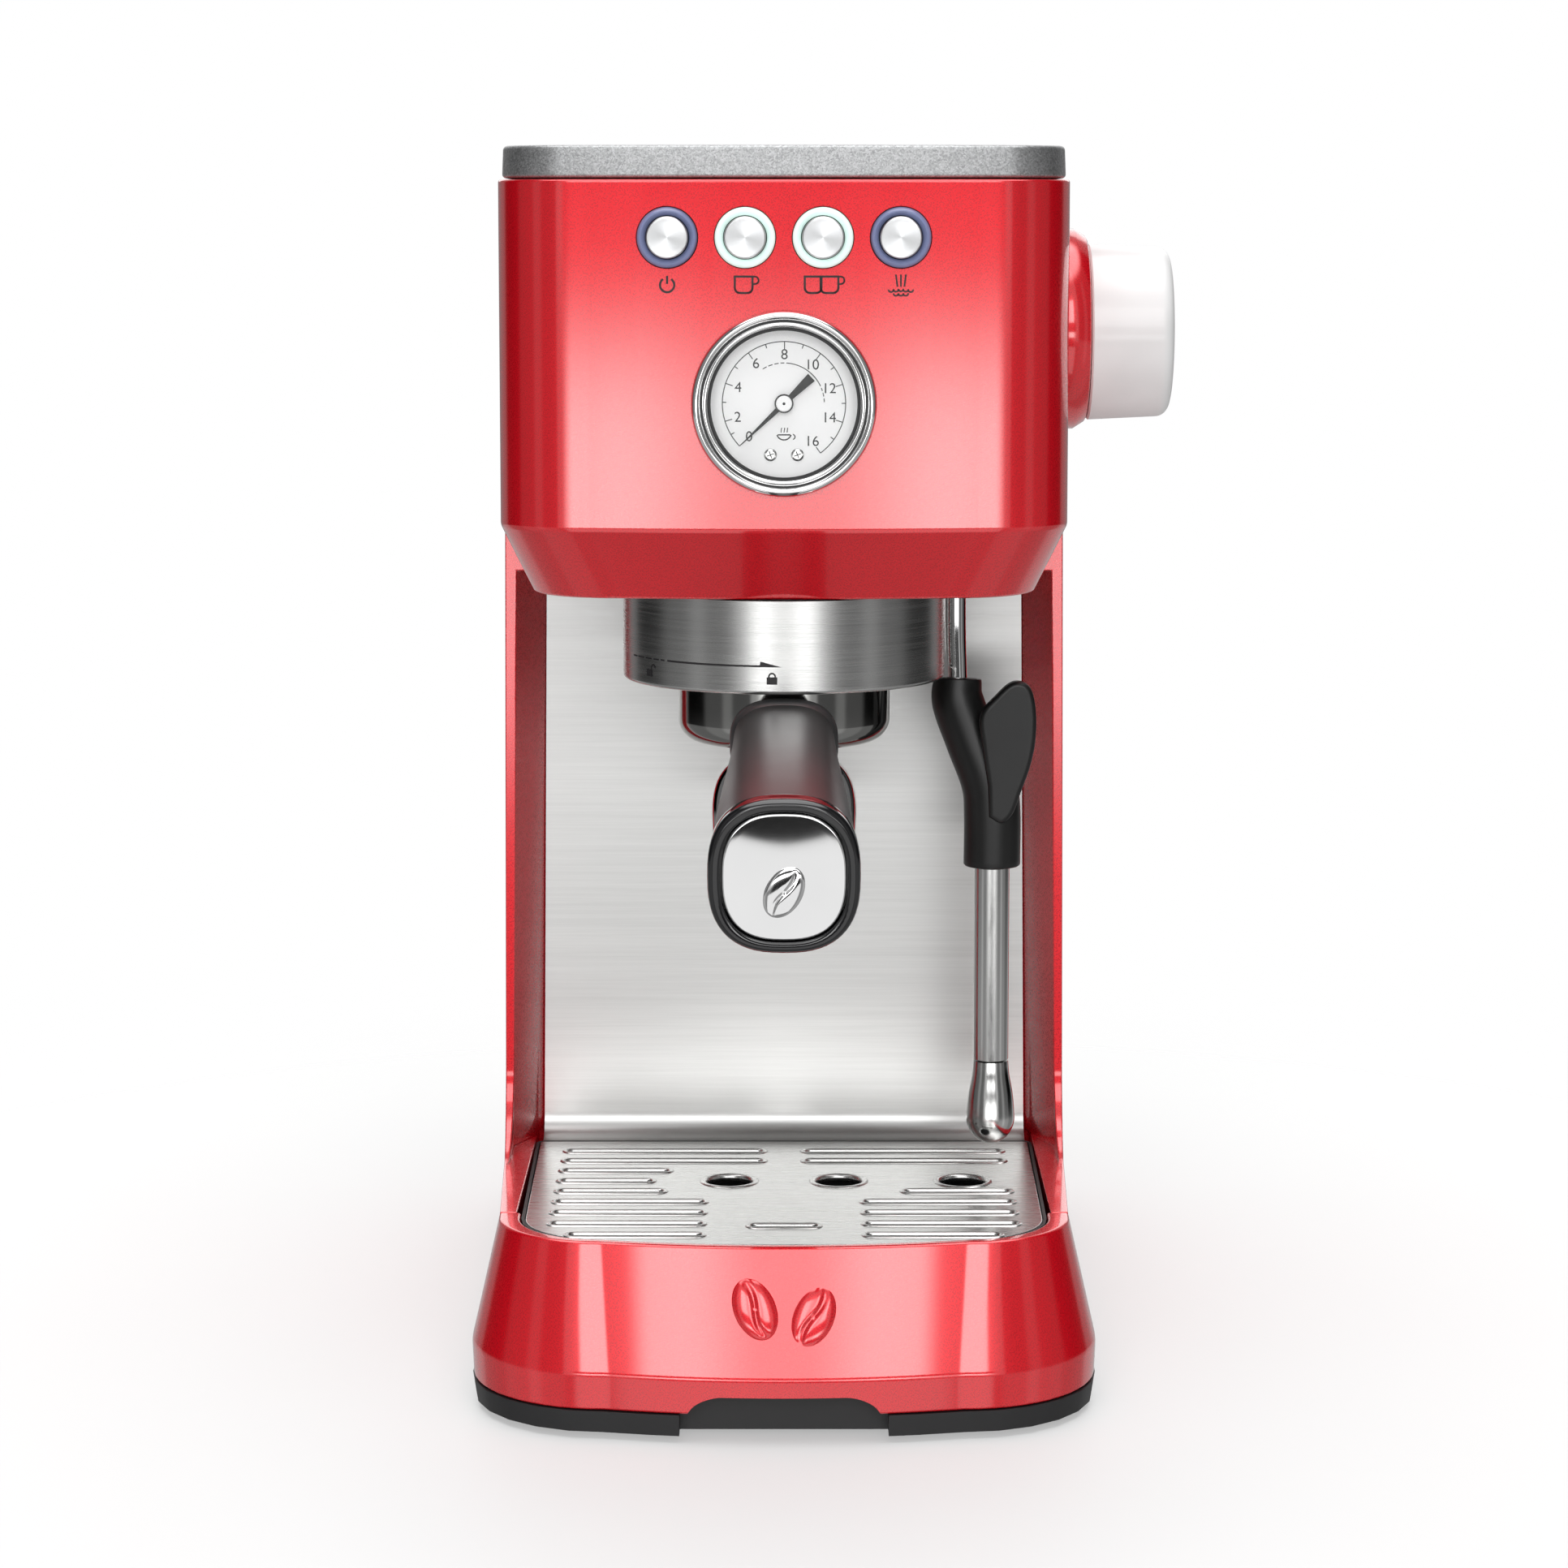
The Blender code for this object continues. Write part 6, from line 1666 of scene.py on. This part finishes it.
class ESPRESSO_OT_marks(EspressoPiece, bpy.types.Operator):
    """Printed pictograms under the buttons"""

    bl_idname = "espresso.marks"
    bl_label = "Marks"

    def cup(self, drawn, x, width, closed=True):
        line = controls().line * 1.25
        foot, top, corner = -2.4 * MM, 2.4 * MM, 1.5 * MM
        left, right = x - width / 2, x + width / 2
        side = [(left, top), (left, foot + corner)]
        side += arc((left + corner, foot + corner), corner, 180, 270, 6)[1:]
        side += arc((right - corner, foot + corner), corner, 270, 360, 6)
        drawn.line([*side, (right, top)], line)
        drawn.line([(left - line / 2, top), (right + line / 2, top)], line)
        if closed:
            handle = [(right, top), (right + 0.7 * MM, top)]
            handle += arc((right + 0.7 * MM, top - 1.1 * MM), 1.1 * MM, 90, -90, 8)
            drawn.line([*handle, (right, top - 2.2 * MM)], line * 0.8)

    def build(self):
        drop = controls().mark_drop
        line = controls().line
        drawn = Print()
        x = middle("button_program").x
        drawn.band((x, -0.1 * MM), 2.1 * MM, line * 1.3, 125, 415, 32)
        drawn.bar((x, 0.2 * MM), (x, 2.6 * MM), line * 1.3)
        x = middle("button_single").x
        self.cup(drawn, x - 0.4 * MM, 5.2 * MM)
        x = middle("button_double").x
        self.cup(drawn, x - 2.9 * MM, 4.9 * MM, closed=False)
        self.cup(drawn, x + 1.9 * MM, 5.2 * MM)
        x = middle("button_steam").x
        for i in (-1, 0, 1):
            foot = (x + i * 1.0 * MM, -0.6 * MM)
            tip = (x + i * 1.5 * MM, 3.0 * MM)
            drawn.bar(foot, tip, line)
        drops = [(i, -1.2 * MM - abs(i) * 0.1 * MM) for i in range(-2, 3)]
        for i, z in (*drops, (-1, -2.5 * MM), (0, -2.5 * MM), (1, -2.5 * MM)):
            drawn.band((x + i * 1.45 * MM, z), 0.75 * MM, line, 180, 360, 10)
        z = middle("button_program").z - drop

        def place(u, v):
            return Vector((u, head_face_y(u) - 0.05 * MM, z + v))

        publish_print(drawn, place, "button_marks", "housing", paint(printed_ink))


def scale_angle(value):
    """Where a value lies on the gauge's scale, in degrees anticlockwise from the right."""
    top_value, top, step = 8, 89.5, 17.9
    crowded_below, crowded, crowded_step = 2, 197, 13.4
    if value < crowded_below:
        return crowded + crowded_step * (crowded_below - value)
    return top - step * (value - top_value)


class ESPRESSO_OT_gauge(EspressoPiece, bpy.types.Operator):
    """Pressure gauge: ringed bezel, printed dial, needle, screws and window"""

    bl_idname = "espresso.gauge"
    bl_label = "Gauge"

    def build_bezel(self):
        front = high("gauge_bezel").y
        out = low("gauge_bezel").y
        r = GAUGE_RADIUS
        shape = [(0, 0), (0, 2.6), (-0.5, 3.5), (-1.3, 3.95), (-2.1, 3.7), (-2.6, 3.0), (-3.0, 2.5)]
        shape += [(-3.3, 3.0), (-3.9, 3.3), (-4.5, 3.1), (-4.9, 2.5), (-5.2, 1.9), (-5.7, 1.9)]
        curve = smooth_route([(a, b, 0) for a, b in shape[1:-1]], 4)
        profile = [(r, front)] + [(r + p.x * MM, front - p.y * MM) for p in curve]
        profile = [(a, max(b, out)) for a, b in profile]
        profile += [(r - 5.7 * MM, front - 1.9 * MM), (r - 4.2 * MM, front - 1.9 * MM)]
        profile += [(r - 4.2 * MM, front)]
        bm = bmesh.new()
        turned(bm, profile, GAUGE_AXIS, "Y", 128)
        publish(bm, "ringed_bezel", "housing", paint(bright_chrome), ("gauge_bezel",), 60)
        bm = bmesh.new()
        # Two black rings in the bezel. The inner one, against the dial, is painted shadow between
        # the chrome and the dial; the outer one is a black gasket ring.
        for inside, outside, proud in ((3.5, 2.7, 2.85), (5.7, 4.95, 2.5)):
            face = front - proud * MM
            profile = [(r - inside * MM, face), (r - outside * MM, face)]
            profile += [(a, b + 1 * MM) for a, b in reversed(profile)]
            turned(bm, profile, GAUGE_AXIS, "Y", 128)
        publish(bm, "bezel_gasket_and_shadow_rings", "housing", paint(matt_black), (), 60)

    def at_depth(self, y):
        return lambda u, v: Vector((GAUGE.x + u, y, GAUGE.z + v))

    def build_dial(self):
        front = low("gauge_dial").y
        radius = high("gauge_dial").x
        bm = bmesh.new()
        back = high("gauge_dial").y
        profile = [(1.2 * MM, front), (radius, front), (radius, back), (1.2 * MM, back)]
        turned(bm, profile, GAUGE_AXIS, "Y", 96)
        publish(bm, "printed_dial", "housing", paint(dial_white), ("gauge_dial",))
        size = controls()
        arc_radius, line = size.scale_radius, size.line * 0.55
        drawn = Print()
        drawn.band((0, 0), arc_radius, line, scale_angle(16), scale_angle(0), 120)
        for value in range(17):
            a = math.radians(scale_angle(value))
            out = Vector((math.cos(a), math.sin(a)))
            reach = 1.2 * MM if value % 2 else 2.2 * MM
            drawn.bar(out * arc_radius, out * (arc_radius - reach), line)
            if value % 2 == 0:
                inner = arc_radius - (3.9 if value < 10 else 4.2) * MM
                drawn.figure(str(value), out * inner, size.figure_height / 0.72)
        inner = arc_radius - 6.3 * MM
        parts = [(6.2, 6.55), (6.7, 7.05), (7.2, 7.55), (7.7, 8.0), (8.15, 11.6), (11.75, 12.0)]
        parts += [(12.15, 12.45), (12.6, 12.9)]
        for start, end in parts:
            steps = 40 if end - start > 1 else 8
            drawn.band((0, 0), inner, line, scale_angle(end), scale_angle(start), steps)
        drawn.band((0, -8.6 * MM), 2.2 * MM, line * 1.4, 200, 340, 20)
        drawn.bar((-1.9 * MM, -9.3 * MM), (1.9 * MM, -9.3 * MM), line * 1.4)
        drawn.band((2.5 * MM, -9.9 * MM), 0.75 * MM, line * 1.2, -80, 80, 10)
        for x in (-0.9 * MM, 0, 0.9 * MM):
            drawn.bar((x, -8.6 * MM), (x + 0.2 * MM, -7.2 * MM), line)
        publish_print(
            drawn, self.at_depth(front - 0.04 * MM), "dial_marks", "housing",
            paint(engraved_lines),
        )
        bm = bmesh.new()
        slots = Print()
        screw_z, head = -15.2 * MM, 1.8 * MM
        for x in (-4 * MM, 4 * MM):
            profile = [(0, front - 0.5 * MM), (1.3 * MM, front - 0.5 * MM)]
            profile += [(head, front - 0.1 * MM), (head, front + 0.2 * MM), (0, front + 0.2 * MM)]
            turned(bm, profile, (GAUGE.x + x, 0, GAUGE.z + screw_z), "Y", 32)
            slots.band((x, screw_z), head, 0.14 * MM, 0, 360, 32)
            for turn in (20, 110):
                a = math.radians(turn)
                out = Vector((math.cos(a), math.sin(a))) * 1.1 * MM
                hub = Vector((x, screw_z))
                slots.bar(hub - out, hub + out, 0.28 * MM)
        publish(bm, "dial_screws", "housing", paint(wand_steel))
        publish_print(
            slots, self.at_depth(front - 0.55 * MM), "screw_slots", "housing",
            paint(engraved_lines),
        )

    def build_needle(self):
        hub_front = low("gauge_needle").y
        back = high("gauge_needle").y
        blade = hub_front + 0.5 * MM
        a = math.radians(scale_angle(0))
        along = Vector((math.cos(a), math.sin(a)))
        aside = along.orthogonal()
        reach = controls().scale_radius - 0.6 * MM
        tail = -11.2 * MM
        stations = [(reach, 0.1 * MM), (2.5 * MM, 0.75 * MM), (-3 * MM, 0.85 * MM)]
        stations += [(tail, 1.45 * MM)]
        shape = [along * far + aside * half for far, half in stations]
        shape += [along * far - aside * half for far, half in reversed(stations)]
        bm = bmesh.new()
        verts = [bm.verts.new((GAUGE.x + p.x, blade, GAUGE.z + p.y)) for p in shape]
        pushed(bm, [bm.faces.new(verts)], (0, 0.4 * MM, 0))
        hub = 2.8 * MM
        profile = [(0, blade - 0.2 * MM), (hub, blade - 0.2 * MM), (hub, blade + 0.6 * MM)]
        profile += [(0.8 * MM, blade + 0.8 * MM), (0.8 * MM, back), (0, back)]
        turned(bm, profile, GAUGE_AXIS, "Y", 64)
        publish(
            bm, "dial_pointer", "gauge_needle", paint(engraved_lines),
            ("gauge_needle",),
        )
        bm = bmesh.new()
        profile = [(0, hub_front), (2.1 * MM, hub_front), (2.35 * MM, blade - 0.25 * MM)]
        profile += [(0, blade - 0.25 * MM)]
        turned(bm, profile, GAUGE_AXIS, "Y", 64)
        publish(bm, "pointer_hub", "gauge_needle", paint(dial_white))
        dot = Print()
        dot.disc((0, 0), 0.42 * MM)
        publish_print(
            dot, self.at_depth(hub_front - 0.03 * MM), "hub_dot", "gauge_needle",
            paint(engraved_lines),
        )

    def build(self):
        self.build_bezel()
        self.build_dial()
        self.build_needle()
        paint_node("gauge_case", paint(matt_black))
        front, back = low("gauge_lens").y, high("gauge_lens").y
        radius = high("gauge_lens").x
        bm = bmesh.new()
        profile = [(0, front), (radius, front), (radius, back), (0, back)]
        turned(bm, profile, GAUGE_AXIS, "Y", 96)
        publish(bm, "gauge_window", "housing", paint(gauge_glass), ("gauge_lens",))


class ESPRESSO_OT_lid(EspressoPiece, bpy.types.Operator):
    """Speckled lid frame, the ribbed plate that warms cups, and the tank's lid"""

    bl_idname = "espresso.lid"
    bl_label = "Lid"

    def build(self):
        refined("top_frame", "housing", paint(speckled_lid), 1.3 * MM, 5, 30)
        bm = cad_copy("cup_plate")
        soften(bm, 0.5 * MM, 3, 40)
        lowest, highest = low("cup_plate"), high("cup_plate")
        ribs, first, pitch, half = 9, 24 * MM, 18 * MM, 2.6 * MM
        reach = highest.x - 16 * MM
        for i in range(ribs):
            outline = stadium(-reach, reach, lowest.y + first + i * pitch, half)
            rib = bmesh.new()
            face = rib.faces.new([rib.verts.new(p) for p in level(outline, highest.z - 0.3 * MM)])
            pushed(rib, [face], (0, 0, 1.1 * MM))
            bmesh.ops.recalc_face_normals(rib, faces=rib.faces)
            edges = [e for e in rib.edges if min(v.co.z for v in e.verts) > highest.z]
            soften(rib, 0.6 * MM, 3, edges=edges)
            merged(bm, rib)
        publish(bm, "ribbed_plate", "housing", paint(shelf_steel), ("cup_plate",))
        refined("tank_lid", "tank_lid", paint(speckled_lid), 1.3 * MM, 5, 30)


class ESPRESSO_OT_water_tank(EspressoPiece, bpy.types.Operator):
    """Smoked water tank with its valve and seal"""

    bl_idname = "espresso.water_tank"
    bl_label = "Water tank"

    def build(self):
        refined("water_tank", "water_tank", paint(smoked_tank), 1.2 * MM, 4, 30)
        refined("tank_valve", "water_tank", paint(matt_black), 0.3 * MM, 2, 40)
        paint_node("tank_seal", paint(silicone))


class ESPRESSO_OT_rear_fittings(EspressoPiece, bpy.types.Operator):
    """Power switch and the gland for the mains cord"""

    bl_idname = "espresso.rear_fittings"
    bl_label = "Rear fittings"

    def build(self):
        refined("switch_frame", "housing", paint(matt_black), 0.6 * MM, 3, 40)
        gloss = paint(gloss_black)
        refined("power_rocker", "power_rocker", gloss, 0.5 * MM, 3, 40)
        place = middle("cord_gland")
        lowest, highest = low("cord_gland"), high("cord_gland")
        radius = (highest.x - lowest.x) / 2
        bore = 3.6 * MM
        bm = bmesh.new()
        flange = highest.y - 2.2 * MM
        profile = [(bore, lowest.y), (radius - 2.3 * MM, lowest.y), (radius - 2.3 * MM, flange)]
        profile += [(radius - 0.3 * MM, flange), (radius, flange + 0.4 * MM)]
        profile += [(radius - 1.4 * MM, highest.y - 0.3 * MM), (radius - 2 * MM, highest.y)]
        profile += [(bore + 0.6 * MM, highest.y), (bore, highest.y - 0.6 * MM)]
        turned(bm, profile, (place.x, 0, place.z), "Y", 64)
        publish(
            bm, "moulded_gland", "housing", paint(matt_black), ("cord_gland",)
        )


class ESPRESSO_OT_inner_works(EspressoPiece, bpy.types.Operator):
    """Finishes for the heater, pump, valve, board and hoses inside the casing"""

    bl_idname = "espresso.inner_works"
    bl_label = "Inner works"

    def build(self):
        refined("thermoblock", "housing", paint(cast_metal), 1.2 * MM, 3, 40)
        refined("control_board", "housing", paint(circuit_board), 0.2 * MM, 1, 40)
        paint_node("pump", paint(matt_black))
        paint_node("steam_valve", paint(brass))
        paint_node("steam_pipe", paint(wand_steel))
        paint_node("inlet_hose", paint(silicone))
        paint_node("pressure_hose", paint(silicone))


# ---------------------------------------------------------------- studio


def studio_light(world):
    """A bright studio: broad soft boxes in front, darker gaps at the sides, a plain backdrop."""
    tree = world.node_tree
    tree.nodes.clear()
    sky = Nodes(tree)
    direction = sky.node("TexCoord", output="Generated")
    x, y, z = sky.split(direction)
    turn = sky.maths("ABSOLUTE", sky.maths("ARCTAN2", x, y * -1.0)) * math.degrees(1)
    rise = sky.maths("ARCSINE", z) * math.degrees(1)
    front = 1 - sky.smooth(turn, 15, 31)
    dip = 0.5 + sky.smooth(turn, 3, 15) * 0.5
    low_box = sky.band(rise, -7.8, -2.2, 1.4) * front * dip * 6.2
    high_box = sky.band(rise, 9, 34, 1.5) * (1 - sky.smooth(turn, 20, 24)) * dip * 4.8
    top_box = sky.smooth(rise, 52, 66) * 3.4
    wings = sky.band(turn, 36, 96, 4) * 0.16
    strips = sky.band(turn, 58, 70, 3) * sky.band(rise, -30, 45, 5) * 0.25
    middle_zone = (1 - sky.smooth(turn, 34, 38)) * sky.smooth(rise, -14, -9) * 0.75
    rear = sky.smooth(turn, 126, 134) * 0.3
    rear_box = sky.smooth(turn, 150, 158) * sky.band(rise, 5, 40, 3) * 1.5
    horizon = sky.band(rise, -1.5, 8, 1.2) * (1 - sky.smooth(turn, 24, 30))
    apron = sky.band(rise, -50, -18.3, 0.35) * (1 - sky.smooth(turn, 24, 30)) * 0.85
    ground = (1 - sky.smooth(rise, -12, -8)) * 0.3
    below = sky.band(rise, -18.6, -9, 0.8) * (1 - sky.smooth(turn, 16, 24))
    around = (wings + strips + middle_zone + rear + rear_box) * (1 - horizon * 0.9)
    light = (around + ground) * (1 - below * 0.92) + apron + low_box + high_box + top_box
    studio = tree.nodes.new("ShaderNodeBackground")
    tree.links.new(light.socket, studio.inputs["Strength"])
    plain = tree.nodes.new("ShaderNodeBackground")
    plain.inputs["Color"].default_value = (1, 1, 1, 1)
    plain.inputs["Strength"].default_value = 1.0
    mix = tree.nodes.new("ShaderNodeMixShader")
    seen = sky.node("LightPath", output="Is Camera Ray")
    tree.links.new(seen.socket, mix.inputs[0])
    tree.links.new(studio.outputs[0], mix.inputs[1])
    tree.links.new(plain.outputs[0], mix.inputs[2])
    output = tree.nodes.new("ShaderNodeOutputWorld")
    tree.links.new(mix.outputs[0], output.inputs["Surface"])


class ESPRESSO_OT_studio(EspressoPiece, bpy.types.Operator):
    """Pale floor, soft studio light and the camera"""

    bl_idname = "espresso.studio"
    bl_label = "Studio"

    def build(self):
        scene = bpy.context.scene
        bm = bmesh.new()
        bmesh.ops.create_circle(bm, cap_ends=True, segments=96, radius=1.2)
        floor = as_object(bm, "floor")
        floor.data.materials.append(paint(studio_floor))
        floor.visible_glossy = False
        world = bpy.data.worlds.new("studio")
        world.use_nodes = True
        scene.world = world
        scene.view_settings.view_transform = "Standard"
        studio_light(world)
        lens = bpy.data.cameras.new("camera")
        lens.lens = 91.3
        lens.sensor_width = 36
        lens.shift_y = -0.08
        camera = bpy.data.objects.new("camera", lens)
        camera.location = ORIGIN + Vector((0, -1.297, 0.3674))
        camera.rotation_euler = (math.radians(90 - 6.65), 0, 0)
        scene.collection.objects.link(camera)
        scene.camera = camera


class ESPRESSO_PT_panel(bpy.types.Panel):
    """The machine's pieces, sizes and colours"""

    bl_label = "Espresso machine"
    bl_idname = "ESPRESSO_PT_panel"
    bl_space_type = "VIEW_3D"
    bl_region_type = "UI"
    bl_category = "Espresso"

    def draw(self, context):
        column = self.layout.column()
        for operator in OPERATORS:
            column.operator(operator.bl_idname)
        for name in PROPERTIES:
            settings = getattr(context.scene, name)
            box = self.layout.box()
            for key in settings.bl_rna.properties.keys():
                if key not in ("rna_type", "name"):
                    box.prop(settings, key)


PROPERTIES = {
    "espresso_housing": HousingSizes,
    "espresso_group": GroupSizes,
    "espresso_controls": ControlSizes,
    "espresso_colours": MachineColours,
}
OPERATORS = (
    ESPRESSO_OT_studio,
    ESPRESSO_OT_body,
    ESPRESSO_OT_head,
    ESPRESSO_OT_splash_panel,
    ESPRESSO_OT_drip_tray,
    ESPRESSO_OT_lid,
    ESPRESSO_OT_water_tank,
    ESPRESSO_OT_group,
    ESPRESSO_OT_portafilter,
    ESPRESSO_OT_steam_wand,
    ESPRESSO_OT_steam_knob,
    ESPRESSO_OT_buttons,
    ESPRESSO_OT_marks,
    ESPRESSO_OT_gauge,
    ESPRESSO_OT_rear_fittings,
    ESPRESSO_OT_inner_works,
)


def register():
    for name, kind in PROPERTIES.items():
        bpy.utils.register_class(kind)
        setattr(bpy.types.Scene, name, PointerProperty(type=kind))
    for kind in (*OPERATORS, ESPRESSO_PT_panel):
        bpy.utils.register_class(kind)


def unregister():
    for kind in reversed((*OPERATORS, ESPRESSO_PT_panel)):
        bpy.utils.unregister_class(kind)
    for name, kind in reversed(PROPERTIES.items()):
        delattr(bpy.types.Scene, name)
        bpy.utils.unregister_class(kind)


def main():
    register()
    for kind in OPERATORS:
        family, name = kind.bl_idname.split(".")
        getattr(getattr(bpy.ops, family), name)()


if __name__ == "__main__":
    main()
